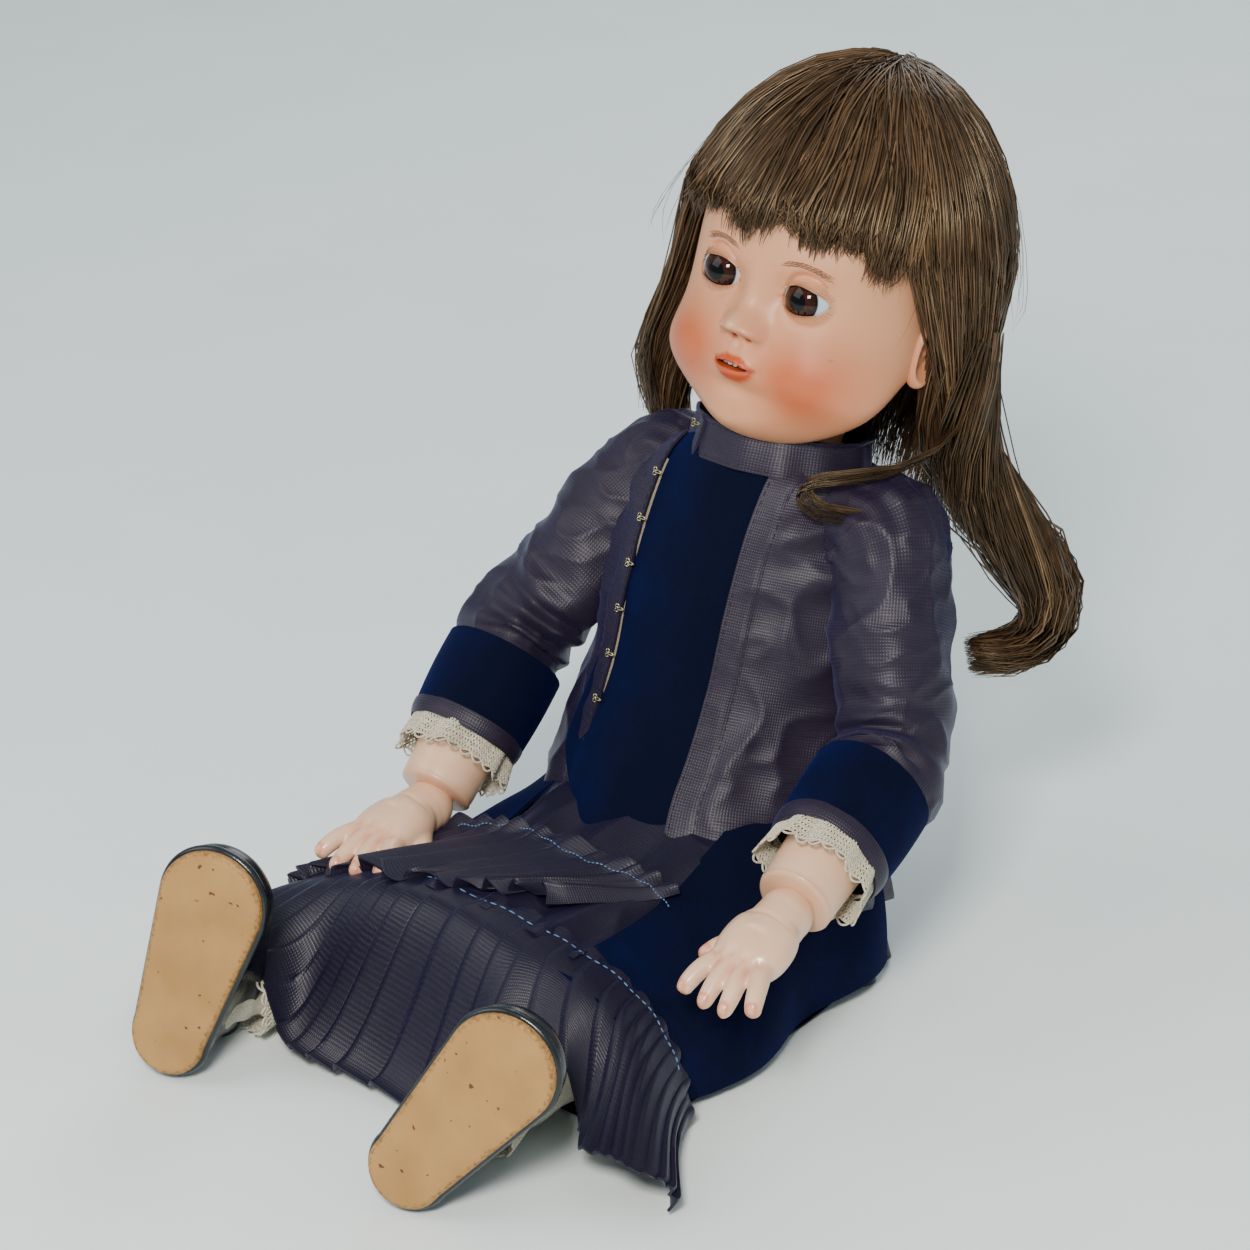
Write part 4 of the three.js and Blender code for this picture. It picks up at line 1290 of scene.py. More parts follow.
    def pocket(self, piece: bpy.types.Object, outline: Array, back: float) -> None:
        """Cuts a hole of the given outline from the front to a depth.

        Args:
            piece: The head, with its mesh in millimetres.
            outline: The hole's x and z, running round it once.
            back: How deep the hole goes, as a place in y.
        """
        count = len(outline)

        def shape(u: Array, v: Array) -> Array:
            """The cutter: the outline, run from front to back."""
            k = np.rint(u * count).astype(int) % count
            depth = np.where(v > 0.5, back, -80.0)
            return np.column_stack([outline[k][:, 0], depth, outline[k][:, 1]]) / MM

        cutter = sheet_of("cutter", count, 1, shape, WORLD, ring=True)
        cap_ends(cutter)
        finish(piece, ("BOOLEAN", {"object": cutter, "operation": "DIFFERENCE", "solver": "EXACT"}))
        bpy.data.objects.remove(cutter)

    def paint(self, points: Array) -> Array:
        """The china paint: flesh, rouge, lips, nostril dots and the corners of the eyes, with painted shade
        where the lips part and a painted highlight on the nose's tip.
        """
        x, y, z = points.T
        ax = np.abs(x)
        colour = np.repeat(rgb(BISQUE_SKIN)[None], len(points), 0)

        def lay(code: str, amount: Array) -> None:
            """Lays a colour over what is there."""
            nonlocal colour
            colour = colour * (1 - amount[:, None]) + rgb(code) * amount[:, None]

        face = smooth(12, -10, y)
        lay("#d4a280", 0.6 * face * smooth(64, 88, z))
        rouge = np.clip(1.2 * bump(ax, z, 26.0, 29.0, 17.0, 16.5), 0, 1)
        lay("#b9501e", 0.84 * rouge * face)
        lay("#d08a66", 0.26 * bump(ax, z, 0, 8, 14, 8) * face)
        lay("#cf8160", 0.34 * bump(ax, z, self.eye_x, self.eye_z + 10.5, 11, 4.4) * face)
        lay("#d59472", 0.35 * bump(ax, z, 8, 45, 5, 5) * face)
        zz = z - self.mouth_z
        upper = self.upper_edge(ax) + 0.15
        lower = self.lower_edge(ax) - 0.1
        inside = smooth(-0.35, 0.35, upper - zz) * smooth(-0.35, 0.35, zz - lower)
        inside = inside * smooth(self.mouth_half_width + 0.1, self.mouth_half_width - 0.9, ax) * face
        lay("#bb4518", 0.95 * inside)
        seam = np.exp(-(((zz - self.seam(ax)) / 0.55) ** 2)) * (ax < self.mouth_half_width - 0.4)
        lay("#6e1f12", 0.75 * seam * face)
        # painted shade: near black where the lips part, over the walls of the opening
        gap = (ax / 7.1) ** 2 + ((zz - self.seam(ax)) / 1.5) ** 2
        lay("#2a0b06", 0.9 * (gap < 0.8) * face)
        lay("#b3422a", 0.8 * bump(ax, z, 3.2, 40.6, 1.3, 0.9) * face)
        lay("#c4553a", 0.85 * bump(ax, z, self.eye_x - 9.6, self.eye_z - 0.8, 0.9, 0.8) * face)
        lay("#7d452c", 0.7 * smooth(1.2, 1.0, self.lid(x, z)) * face)
        lay("#7a4a30", 0.85 * bump(x, z, 33.5, 41.0, 0.5, 0.5) * face)
        # painted highlight on the tip of the nose
        lay("#e9c0a4", 0.3 * bump(ax, z, 0, 47.5, 3, 3) * face)
        return colour


@dataclass
class Eyes:
    """The glass eyes, the painted hairs round them, and the teeth behind the lips."""

    face: Face
    radius: float = 10.8
    iris: float = 7.2
    brow_strokes: int = 34

    def build(self, finishes: Finishes) -> None:
        """Makes both eyes, the brows and lashes, and the teeth."""
        for side in Side:
            self.eye(side, finishes)
            self.brow(side, finishes)
            self.lashes(side, finishes)
        self.teeth(finishes)

    def eye(self, side: Side, finishes: Finishes) -> None:
        """One glass eye, with its clear front standing a little proud over the iris."""
        centre = np.array([side.value * self.face.eye_x, self.face.eye_y, self.face.eye_z])

        def shape(way: Array) -> Array:
            """The ball with its cornea."""
            ahead = -way[:, 1]
            flat = np.hypot(way[:, 0], way[:, 2]) * self.radius
            proud = 0.5 * smooth(self.iris + 1.0, 2.0, flat) * (ahead > 0)
            return centre + way * (self.radius + proud)[:, None]

        piece = ball_of(f"glass_eye_{side.word}", 64, 48, shape, HEAD, "Y")
        local = HEAD.local(points_of(piece)) - centre
        if not piece.data.uv_layers:
            piece.data.uv_layers.new()
        layer = piece.data.uv_layers.active.data
        for loop in piece.data.loops:
            p = local[loop.vertex_index]
            around = math.atan2(p[2], p[0]) / (2 * math.pi)
            away = min(math.hypot(p[0], p[2]) / (self.iris / IRIS_SHARE), 1.0)
            layer[loop.index].uv = (around, away if p[1] < 0 else 1.0)
        rounded(piece)
        settle(piece, "eyes", finishes.glass, (f"eye_{side.word}",))

    def surface(self, x: Array, z: Array) -> Array:
        """The face's depth at each x and z, read off the head itself.

        Args:
            x: How far across the head, in millimetres.
            z: How high on it, in millimetres.

        Returns:
            The skin's y at each place.
        """
        head = bpy.data.objects["bisque_head"]
        if not hasattr(self, "_tree"):
            self._tree = BVHTree.FromObject(head, bpy.context.evaluated_depsgraph_get())
        out = []
        for px, pz in zip(x, z):
            start = Vector(HEAD.place(np.array([px, -90.0, pz])))
            way = Vector(HEAD.turn @ np.array([0.0, 1.0, 0.0]))
            hit = self._tree.ray_cast(start, way)[0]
            out.append(HEAD.local(np.array(hit))[1] if hit is not None else -40.0)
        return np.array(out)

    def stroke(self, ends: Sequence[Sequence[float]], steps: int) -> Array:
        """A painted hair's line over the skin through (x, z) points.

        Args:
            ends: The points that it runs through.
            steps: How many points the line has.

        Returns:
            The line, in head millimetres.
        """
        line = spline([(p[0], 0.0, p[1]) for p in ends], np.linspace(0, 1, steps))
        line[:, 1] = self.surface(line[:, 0], line[:, 2]) - 0.05
        return line

    def brow(self, side: Side, finishes: Finishes) -> None:
        """A feathered eyebrow of fine single strokes."""
        s = side.value
        rng = np.random.default_rng(11 + s)
        steps, paths, widths = 7, [], []
        for i in range(self.brow_strokes):
            t = i / (self.brow_strokes - 1)
            x = 9.6 + 16.0 * t
            z = 70.6 + 3.4 * math.sin(math.pi * (0.12 + 0.70 * t)) - 1.6 * t
            rise = 2.0 * (1 - t) + 0.5
            row = (i % 3 - 1) * 0.75
            reach = 3.8 + 0.9 * rng.random()
            ends = [
                (s * x, z + row * 0.6),
                (s * (x + reach * 0.5), z + row + rise * 0.34),
                (s * (x + reach), z + row + rise * 0.36 - 0.5 * t),
            ]
            paths.append(self.stroke(ends, steps))
            widths.append(np.sin(np.linspace(0.25, np.pi, steps)) * (0.12 + 0.04 * rng.random()) + 0.02)
        self.hairs(f"brow_{side.word}", paths, widths, finishes.brow)

    def lashes(self, side: Side, finishes: Finishes) -> None:
        """Painted lashes above and below one eye."""
        s = side.value
        rng = np.random.default_rng(31 + s)
        steps, paths, widths = 5, [], []
        face = self.face
        for upper in (True, False):
            count = 30 if upper else 24
            for i in range(count):
                t = (i + 0.5) / count
                u = (t * 2 - 1) * 0.97
                if upper:
                    edge = face.eye_up * (1 - u * u) ** 0.62
                else:
                    edge = face.eye_down * (1 - abs(u) ** 2.2) ** 0.7
                px = face.eye_x + u * (face.eye_half_width + face.eye_outer * (u > 0))
                sign = 1 if upper else -1
                pz = face.eye_z + 0.05 * u * face.eye_half_width + sign * (edge + 0.25)
                length = (2.0 if upper else 1.7) * (0.85 + 0.3 * rng.random())
                lean = u * 0.75 + 0.16
                tip = (px + lean * length, pz + sign * length * 0.86)
                mid = ((px + tip[0]) / 2 + 0.12, (pz + tip[1]) / 2)
                ends = [(s * px, pz), (s * mid[0], mid[1]), (s * tip[0], tip[1])]
                paths.append(self.stroke(ends, steps))
                widths.append(np.linspace(0.11, 0.03, steps))
        self.hairs(f"painted_lashes_{side.word}", paths, widths, finishes.lash)

    def hairs(self, name: str, paths: list, widths: list, material: bpy.types.Material) -> None:
        """Makes painted hairs into one piece on the head.

        Args:
            name: The piece's name.
            paths: Each hair's line.
            widths: Each hair's radius along it.
            material: The paint.
        """
        shades = np.full(len(paths), 0.5)
        piece = strands(name, np.array(paths), np.array(widths), shades, HEAD, 4)
        settle(piece, "head", material)

    def teeth(self, finishes: Finishes) -> None:
        """Four small upper teeth in a curved row, and the painted shade of the open mouth behind them."""
        z = self.face.mouth_z + 0.9
        pieces = []
        for i in range(4):
            x = (i - 1.5) * 2.35
            y = float(self.surface(np.array([7.4]), np.array([z + 4]))[0]) - 0.9 + 0.06 * x * x

            def shape(way: Array, x: float = x, y: float = y) -> Array:
                """A rounded tooth."""
                p = np.sign(way) * np.abs(way) ** 0.62
                return p * np.array([1.15, 0.7, 1.5]) + np.array([x, y, z + 0.5])

            pieces.append(ball_of(f"tooth_{i}", 16, 12, shape, HEAD))
        row = joined("upper_teeth", pieces)
        softened(row)
        settle(row, "head", finishes.enamel, ("teeth",))

        def bag(way: Array) -> Array:
            """The hollow behind the lips, a near-black shell: painted shade inside the open mouth."""
            return way * np.array([9.6, 6.0, 6.0]) + np.array([0, -36.5, self.face.mouth_z + 0.2])

        dark = ball_of("mouth_hollow", 24, 16, bag, HEAD)
        settle(dark, "head", finishes.mouth)


@dataclass
class HeadParts:
    """What finishes the head: the ears and the neck."""

    ear_x: float = 49.0
    ear_y: float = 1.0
    ear_z: float = 45.0

    def build(self, finishes: Finishes) -> None:
        """Makes both ears and the neck."""
        for side in Side:
            self.ear(side, finishes)
        self.neck(finishes)

    def ear(self, side: Side, finishes: Finishes) -> None:
        """A small moulded ear: rim, hollow and lobe."""
        s = side.value

        def shape(way: Array) -> Array:
            """The ear's form from a ball's directions."""
            x, y, z = way.T
            tall = 13.5 * z
            wide = (7.0 + 1.8 * smooth(-0.2, 0.9, z)) * y
            thick = 2.6 * x
            flat = np.hypot(y, z)
            rim = np.exp(-(((flat - 0.86) / 0.16) ** 2)) * (x > 0)
            hollow = np.exp(-(((flat - 0.3) / 0.34) ** 2)) * (x > 0)
            lobe = bump(y, z, 0.0, -0.8, 0.5, 0.4)
            out = thick + 1.8 * rim - 2.8 * hollow + 1.6 * lobe
            lean = 0.2 * wide + 0.10 * tall
            return np.column_stack(
                [s * (self.ear_x + out + lean * 0.7), self.ear_y + wide + 0.12 * tall, self.ear_z + tall]
            )

        piece = ball_of(f"ear_{side.word}", 40, 28, shape, HEAD)
        piece = outward(piece)
        x, _, z = HEAD.local(points_of(piece)).T
        # painted shade: the ear's hollow and its side towards the head are painted darker and redder
        deep = smooth(self.ear_x + 2.2, self.ear_x - 0.2, np.abs(x))[:, None]
        base = rgb(BISQUE_SKIN) * (1 - 0.5 * deep) + rgb("#c2714c") * 0.5 * deep
        low = bump(z, z, self.ear_z - 9, self.ear_z - 9, 6, 6)[:, None] ** 0.5
        tint(piece, base * (1 - 0.3 * low) + rgb("#cc7b57") * 0.3 * low)
        softened(piece, 80)
        settle(piece, "head", finishes.bisque)

    def neck(self, finishes: Finishes) -> None:
        """The neck down to its rounded socket end."""
        rows = [(-19.0, 3.0), (-17.5, 9.5), (-12, 15.8), (-5, 19), (0, 19.8), (6, 20), (12, 21.5), (19, 26)]

        def shape(u: Array, v: Array) -> Array:
            """A turned profile."""
            z = -19.0 + 38.0 * v
            r = table(z, rows, 1)
            a = u * 2 * np.pi
            back = 1.0 + 1.6 * smooth(0, 19, z)
            crease = -0.45 * np.exp(-(((z - 2.0) / 1.0) ** 2)) * (np.sin(a) < 0.3)
            return np.column_stack([(r + crease) * np.cos(a), (r + crease) * np.sin(a) + back, z])

        piece = sheet_of("bisque_neck", 96, 48, shape, HEAD, ring=True)
        tint(piece, np.repeat(rgb("#d8a586")[None], len(piece.data.vertices), 0))
        softened(piece, 80)
        settle(piece, "head", finishes.bisque)


# ------------------------------------------------------------------ the wig
@dataclass
class Wig:
    """A long wig with a fringe: thousands of fine locks over a foundation in a dark hair shade, painted
    shade between the locks, in the head's frame.
    """

    middle: tuple[float, float, float] = (0.0, 5.0, 66.0)
    steps: int = 12
    parting: float = 0.98
    nape: float = 2.1
    behind: float = 1.72
    front_locks: int = 150
    side_locks: int = 110
    back_locks: int = 150
    stray_hairs: int = 150
    width: float = 0.38

    def dome(self, around: Array, down: Array, off: Array) -> Array:
        """A place on the wig's outside: around is the bearing from the crown (0 is the front), and
        down runs from 0 at the crown to 1 at the ears' height.

        Args:
            around: The bearing from the crown, in radians; 0 is the front.
            down: From 0 at the crown to 1 at the ears' height.
            off: How far it stands off, in millimetres.

        Returns:
            Points, in head millimetres.
        """
        x0, y0, z0 = self.middle
        tall = 74.0 + off
        side = 58.5 + 5.5 * down**2 + off
        ahead = np.where(np.cos(around) > 0, 54.5 + off, 62.0 + off)
        theta = down * np.pi / 2
        lean = (1 - down) ** 1.5
        x = side * np.sin(theta) * np.sin(around)
        y = -ahead * np.sin(theta) * np.cos(around)
        z = tall * np.cos(theta)
        return np.stack([x + x0, y + y0 + 14 * lean, z + z0], -1)

    def lock_shades(self, rng: np.random.Generator, clumps: Array, count: int) -> Array:
        """Each strand's shade: mostly its clump's, with some spread.

        Args:
            rng: The random draws.
            clumps: The clump's own shade.
            count: How many strands it has.

        Returns:
            A shade for each strand.
        """
        return np.clip(clumps + rng.normal(0, 0.13, count), 0.02, 0.98)

    def make(
        self, name: str, guides: list[Array], per: int, spread: float, seed: int, width: float,
        material: bpy.types.Material, body: str, stands: Sequence[str] = (), point: float = 0.3,
    ) -> bpy.types.Object:
        """Grows strands round guide lines as clumps that meet at their ends.

        Args:
            name: The piece's name.
            guides: Each clump's own line, in head millimetres.
            per: Strands in a clump.
            spread: A clump's half-width, in millimetres.
            seed: Seed of the piece's random draws.
            width: A strand's radius, in millimetres.
            material: The hair.
            body: The body that it rides on.
            stands: CAD nodes that it replaces.
            point: How wide a clump still is at its end, as a share.

        Returns:
            The piece.
        """
        rng = np.random.default_rng(seed)
        t = np.linspace(0, 1, self.steps)
        paths, shades = [], []
        for guide in guides:
            line = spline(guide, t)
            way = np.gradient(line, axis=0)
            way /= np.linalg.norm(way, axis=1)[:, None]
            # painted shade: the forearm's end, where the hand sits in it, is painted darker
            away = line - np.array(self.middle)
            away /= np.linalg.norm(away, axis=1)[:, None]
            side = np.cross(way, away)
            side /= np.maximum(np.linalg.norm(side, axis=1), 1e-6)[:, None]
            deep = np.cross(side, way)
            a = rng.normal(0, 1, (per, 1)) * spread
            b = rng.normal(0, 0.5, (per, 1)) * spread
            taper = (point + (1 - point) * np.sin(np.pi * np.clip(t * 0.8 + 0.16, 0, 1)))[None]
            curl = rng.normal(0, 0.8, (per, 1)) * np.sin(t * rng.uniform(4, 9) + rng.uniform(0, 6))[None]
            sway = rng.normal(0, 1.3) * np.sin(t * rng.uniform(6, 11) + rng.uniform(0, 6))
            curl = curl + (sway * smooth(0.2, 0.6, t))[None]
            u = a * taper + curl
            w = b * taper + rng.normal(0, 0.25, (per, 1)) * np.sin(t * 7 + rng.uniform(0, 6))[None]
            reach = 1 - np.abs(rng.normal(0, 0.08, (per, 1)))
            lines = line[None] + side[None] * u[..., None] + deep[None] * w[..., None]
            s = t[None] * reach
            index = np.clip(s * (self.steps - 1), 0, self.steps - 1.001)
            low = index.astype(int)
            part = (index - low)[..., None]
            rows = np.arange(per)[:, None]
            paths.append(lines[rows, low] * (1 - part) + lines[rows, low + 1] * part)
            shades.append(self.lock_shades(rng, rng.uniform(0.22, 0.66), per))
        paths = np.concatenate(paths)
        shades = np.concatenate(shades)
        taper = np.clip(np.minimum(t * 9 + 0.55, (1 - t) * 5 + 0.18), 0, 1)
        widths = width * taper[None] * rng.uniform(0.75, 1.25, (len(paths), 1))
        piece = strands(name, paths, widths, shades, HEAD, 3)
        return settle(piece, body, material, stands)

    def over_dome(self, bearing: float, stop: float, off: float, start: float = 0.03) -> list[Array]:
        """Guide points from the crown down the dome to stop.

        Args:
            bearing: The guide's bearing from the crown.
            stop: How far down it goes, as for dome.
            off: How far it stands off.
            start: Where it starts.

        Returns:
            Six points, in head millimetres.
        """
        downs = np.linspace(start, stop, 6)
        bow = bearing + 0.10 * math.sin(bearing) * np.linspace(0, 1, 6)
        return list(self.dome(bow, downs, np.full(6, off)))

    def fringe(self, rng: np.random.Generator) -> list[Array]:
        """The fringe's guides: forward from the crown and down to just above the brows."""
        guides = []
        for _ in range(self.front_locks):
            bearing = rng.uniform(-self.parting, self.parting)
            layer = rng.uniform(-3.0, 3.0)
            lines = self.over_dome(bearing, 0.76, layer)
            x = lines[-1][0]
            low = 83.5 - 2.0 * (abs(x) / 40) ** 2 + rng.normal(0, 2.6) - 4.0 * smooth(34, 48, abs(x))
            low += 3.0 * math.sin(x / 4.3) + 2.0 * math.sin(x / 9.0)
            y = -52.0 + 0.0105 * x * x - max(layer, 0) * 0.4
            mid = np.array([x * 0.99, (lines[-1][1] + y) / 2 - 2.0, (lines[-1][2] + low) / 2 + 1.5])
            tip = np.array([x * 0.985 + rng.normal(0, 3.2), y + 2.8, low])
            guides.append(np.array(lines[:-1] + [mid, tip]))
        return guides

    def left_fall(self, rng: np.random.Generator) -> list[Array]:
        """The left side: over the ear's top, behind the lobe and out at the shoulder."""
        guides = []
        for _ in range(self.side_locks):
            bearing = rng.uniform(self.parting, self.nape)
            layer = rng.uniform(-3.5, 2.5)
            lines = self.over_dome(bearing, 0.88, layer)
            q = (bearing - self.parting) / (self.nape - self.parting)
            ear = np.array([max(lines[-1][0], 57.5), 3.0 + 26 * q + rng.normal(0, 1.5), 48.0])
            lobe = np.array([59.5 + 2 * q, 13.0 + 22 * q, 26.0 + rng.normal(0, 1.5)])
            neck = np.array([60 + 5 * q, 20.0 + 20 * q, 4.0])
            low = np.array([66 + 6 * q, 26.0 + 20 * q, -18.0 - rng.uniform(0, 12)])
            guides.append(np.array(lines + [ear, lobe, neck, low]))
        return guides

    def right_fall(self, rng: np.random.Generator) -> list[Array]:
        """The right side: close down the cheek to the shoulder."""
        guides = []
        for _ in range(self.side_locks):
            bearing = -rng.uniform(self.parting, self.nape)
            layer = rng.uniform(-3.5, 2.5)
            lines = self.over_dome(bearing, 0.88, layer)
            q = (-bearing - self.parting) / (self.nape - self.parting)
            cheek = np.array([-59.0, -10.0 + 32 * q + rng.normal(0, 1.5), 50.0])
            jaw = np.array([-65.0, -9.0 + 28 * q, 28.0])
            low = np.array([-71.0 + rng.normal(0, 1.5), -5.0 + 24 * q, 8.0])
            tip = np.array([-68.0 + rng.normal(0, 3), 3.0 + 20 * q, -10.0 - rng.uniform(0, 12)])
            guides.append(np.array(lines + [cheek, jaw, low, tip]))
        return guides

    def back_fall(self, rng: np.random.Generator) -> list[Array]:
        """The back: straight down over the collar to the shoulder blades."""
        guides = []
        for _ in range(self.back_locks):
            bearing = rng.uniform(self.behind, 2 * np.pi - self.behind)
            layer = rng.uniform(-3.5, 2.5)
            lines = self.over_dome(bearing, 0.95, layer)
            x1, y1, _ = lines[-1]
            neck = np.array([x1 * 0.93, y1 * 0.95 + 2.0, 30.0])
            nape = np.array([x1 * 0.86, max(y1 * 0.80, 34.0), 6.0])
            out, low = x1 * 0.84 + rng.normal(0, 3), -18 - rng.uniform(0, 14)
            tip = np.array([out, max(y1 * 0.78, 40.0) + 2, low])
            guides.append(np.array(lines + [neck, nape, tip]))
        return guides

    def big_curl(
        self, rng: np.random.Generator, line: Array, radius: float, turns: float, count: int, phase: float
    ) -> list[Array]:
        """Guides that wind loosely round a line, as a ringlet's locks do.

        Args:
            rng: The random draws.
            line: The curl's middle line, in head millimetres.
            radius: How far its locks stand from that line at the top.
            turns: How often they go round it.
            count: How many locks.
            phase: Where they start, in radians.

        Returns:
            One guide line for each lock.
        """
        guides = []
        t = np.linspace(0, 1, 9)
        core = spline(line, t)
        rings = ring_points(core, np.ones(9), 16)
        side = rings[:, 0] - core
        other = rings[:, 4] - core
        for _ in range(count):
            start = rng.uniform(0, 2 * np.pi) + phase
            r = radius * rng.uniform(0.35, 1.0) * (1.0 - 0.45 * t**2)
            a = start + turns * 2 * np.pi * t
            guides.append(core + side * (r * np.cos(a))[:, None] + other * (r * np.sin(a))[:, None])
        return guides

    def foundation(self, finishes: Finishes) -> None:
        """The wig's cap under the locks, in a dark hair shade that shows between them as painted shade."""

        def shape(u: Array, v: Array) -> Array:
            """The dome and the fall behind it, leaving the face open."""
            a = 2 * np.pi * u
            front = smooth(-0.12, 0.30, np.cos(a))
            side = smooth(-0.5, 0.0, np.cos(a)) * (1 - front)
            stop = 0.76 * front + 1.0 * (1 - front)
            down = np.clip(v / 0.55, 0, 1) * stop
            base = self.dome(a, down, np.full_like(a, -4.0))
            fall = np.clip((v - 0.55) / 0.45, 0, 1)
            drop = fall * (3.0 * front + 62.0 * (1 - front) * (1 - 0.35 * side))
            base[:, 2] -= drop
            behind = fall * (1 - front)
            base[:, 0] *= 1 - 0.10 * behind * (np.cos(a) < 0)
            base[:, 1] += np.where(np.cos(a) > -0.3, 10.0 * behind * (1 - front), -8.0 * behind)
            return base

        piece = sheet_of("wig_foundation", 160, 70, shape, HEAD, ring=True)
        # painted shade: the cap takes a dark hair shade so that the gaps between the locks read dark
        shaded(piece, np.full(len(piece.data.vertices), 0.12))
        cloth(piece, 1.2)
        settle(piece, "head", finishes.hair, ("wig_cap",))

    def build(self, finishes: Finishes) -> None:
        """Makes the wig."""
        self.foundation(finishes)
        rng = np.random.default_rng(5)
        hair = finishes.hair
        w = self.width
        self.make("wig_fringe", self.fringe(rng), 19, 2.8, 21, 0.40, hair, "head", ("wig_hair",), 0.8)
        self.make("wig_left", self.left_fall(rng), 24, 3.2, 22, w, hair, "head", point=0.8)
        self.make("wig_right", self.right_fall(rng), 24, 3.2, 23, w, hair, "head", point=0.8)
        self.make("wig_back", self.back_fall(rng), 19, 3.8, 24, w, hair, "head", ("hair_fall",), 0.7)
        left = np.array(
            [
                (55, 16, 54), (59, 20, 28), (62, 27, 6), (74, 40, -16), (90, 56, -34), (94, 66, -54),
                (84, 66, -72), (68, 54, -80),
            ]
        )
        guides = self.big_curl(rng, left, 13.5, 0.8, 70, 0.0)
        self.make("wig_curl_left", guides, 28, 2.8, 25, w, hair, "head", ("curl_left",), 0.4)
        right = np.array([(-57, 4, 44), (-63, 4, 22), (-68, 8, 2), (-69, 16, -18), (-66, 24, -30)])
        guides = self.big_curl(rng, right, 10.0, 0.3, 44, 1.0)
        self.make("wig_curl_right", guides, 26, 2.6, 26, w, hair, "head", ("curl_right",), 0.8)
        tress = np.array(
            [
                (62, 14, 24), (64, 2, 12), (54, -18, 1), (38, -33, -5), (32, -37, -11), (40, -36, -17),
                (58, -20, -16), (72, 2, -18),
            ]
        )
        guides = [tress, tress + 1.4, tress - (0.5, 1.0, 1.8), tress * (1.05, 0.92, 1.0) + (0, 0, 3.0)]
        self.make("wig_tress", guides, 16, 0.7, 27, 0.15, hair, "head", point=0.5)
        self.flyaways(finishes)

    def flyaways(self, finishes: Finishes) -> None:
        """Single stray hairs that stand off the wig."""
        rng = np.random.default_rng(8)
        guides = []
        for _ in range(self.stray_hairs):
            bearing = rng.uniform(0.6, 2 * np.pi - 0.6)
            downs = np.linspace(rng.uniform(0.05, 0.6), rng.uniform(0.9, 1.25), 4)
            lift = np.array([0.0, 2.5, 5.0, 8.0]) * rng.uniform(0.5, 1.5)
            line = self.dome(np.full(4, bearing) + rng.normal(0, 0.05, 4), downs, lift)
            tip = line[-1] + np.array([rng.normal(0, 5), rng.normal(0, 5), -rng.uniform(4, 24)])
            guides.append(np.vstack([line, tip]))
        self.make("wig_flyaways", guides, 1, 0.2, 28, 0.10, finishes.hair, "head")


# ------------------------------------------------------------------ clothes
# The torso's ovals: height, half-width, depth in front and depth behind, in millimetres.
JACKET_RINGS = [
    (4, 68, 62, 52), (40, 60, 50, 45), (75, 55, 43, 38), (110, 53, 41, 36),
    (140, 52, 36, 33), (158, 44, 31, 30), (168, 33, 28, 28),
]


def part_of(piece: bpy.types.Object, name: str, keep: Callable[[Array], Array]) -> bpy.types.Object:
    """Copies the faces whose middles (in metres) the rule keeps, as a piece of their own.

    Args:
        piece: The piece that is copied from.
        name: The copy's name.
        keep: Says for each face's middle whether it stays.

    Returns:
        The copy.
    """
    copy = piece.copy()
    copy.data = piece.data.copy()
    copy.name = name
    bpy.context.scene.collection.objects.link(copy)
    mesh = bmesh.new()
    mesh.from_mesh(copy.data)
    faces = list(mesh.faces)
    kept = keep(np.array([tuple(f.calc_center_median()) for f in faces]))
    gone = [f for f, k in zip(faces, kept) if not k]
    bmesh.ops.delete(mesh, geom=gone, context="FACES")
    mesh.to_mesh(copy.data)
    mesh.free()
    return copy


def cloth(piece: bpy.types.Object, thick_mm: float, offset: float = -1.0) -> bpy.types.Object:
    """Gives a sheet its thickness and soft shading.

    Args:
        piece: The sheet.
        thick_mm: Its thickness.
        offset: Which side of it the thickness goes to.

    Returns:
        The same piece.
    """
    finish(piece, ("SOLIDIFY", {"thickness": thick_mm * MM, "offset": offset, "use_rim": True}))
    return softened(piece, 60)


def cut_cloth(piece: bpy.types.Object) -> None:
    """Reads the areas of a sheet's faces, and keeps nothing.

    Args:
        piece: The finished sheet, with its thickness.
    """
    areas = np.empty(len(piece.data.polygons))
    piece.data.polygons.foreach_get("area", areas)


def stitches(
    name: str, line: Callable[[Array], Array], length: float, rig: Rig, step: float = 3.6,
    radius: float = 0.22,
) -> bpy.types.Object:
    """A row of running stitches along a line.

    Args:
        name: The piece's name.
        line: Local places in millimetres for t from 0 to 1.
        length: The line's length in millimetres.
        rig: The frame that the line is drawn in.
        step: From one stitch to the next, in millimetres.
        radius: The thread's radius, in millimetres.

    Returns:
        The piece.
    """
    count = max(int(length / step), 1)
    starts = (np.arange(count) + 0.2) / count
    t = starts[:, None] + np.linspace(0, 0.62 / count, 4)[None]
    paths = line(t.ravel()).reshape(count, 4, 3)
    width = np.tile(np.array([0.5, 1.0, 1.0, 0.5]) * radius, (count, 1))
    return strands(name, paths, width, np.full(count, 0.5), rig, 5)


def swung(points: Array) -> Array:
    """Moves the front of the torso's clothes to where they sit, twisted a little to the doll's right."""
    x, y, z = points.T
    near = smooth(0, 30, -y) * smooth(0, 40, z)
    return np.column_stack([x - 7.5 * near, y - 3.0 * near, z])


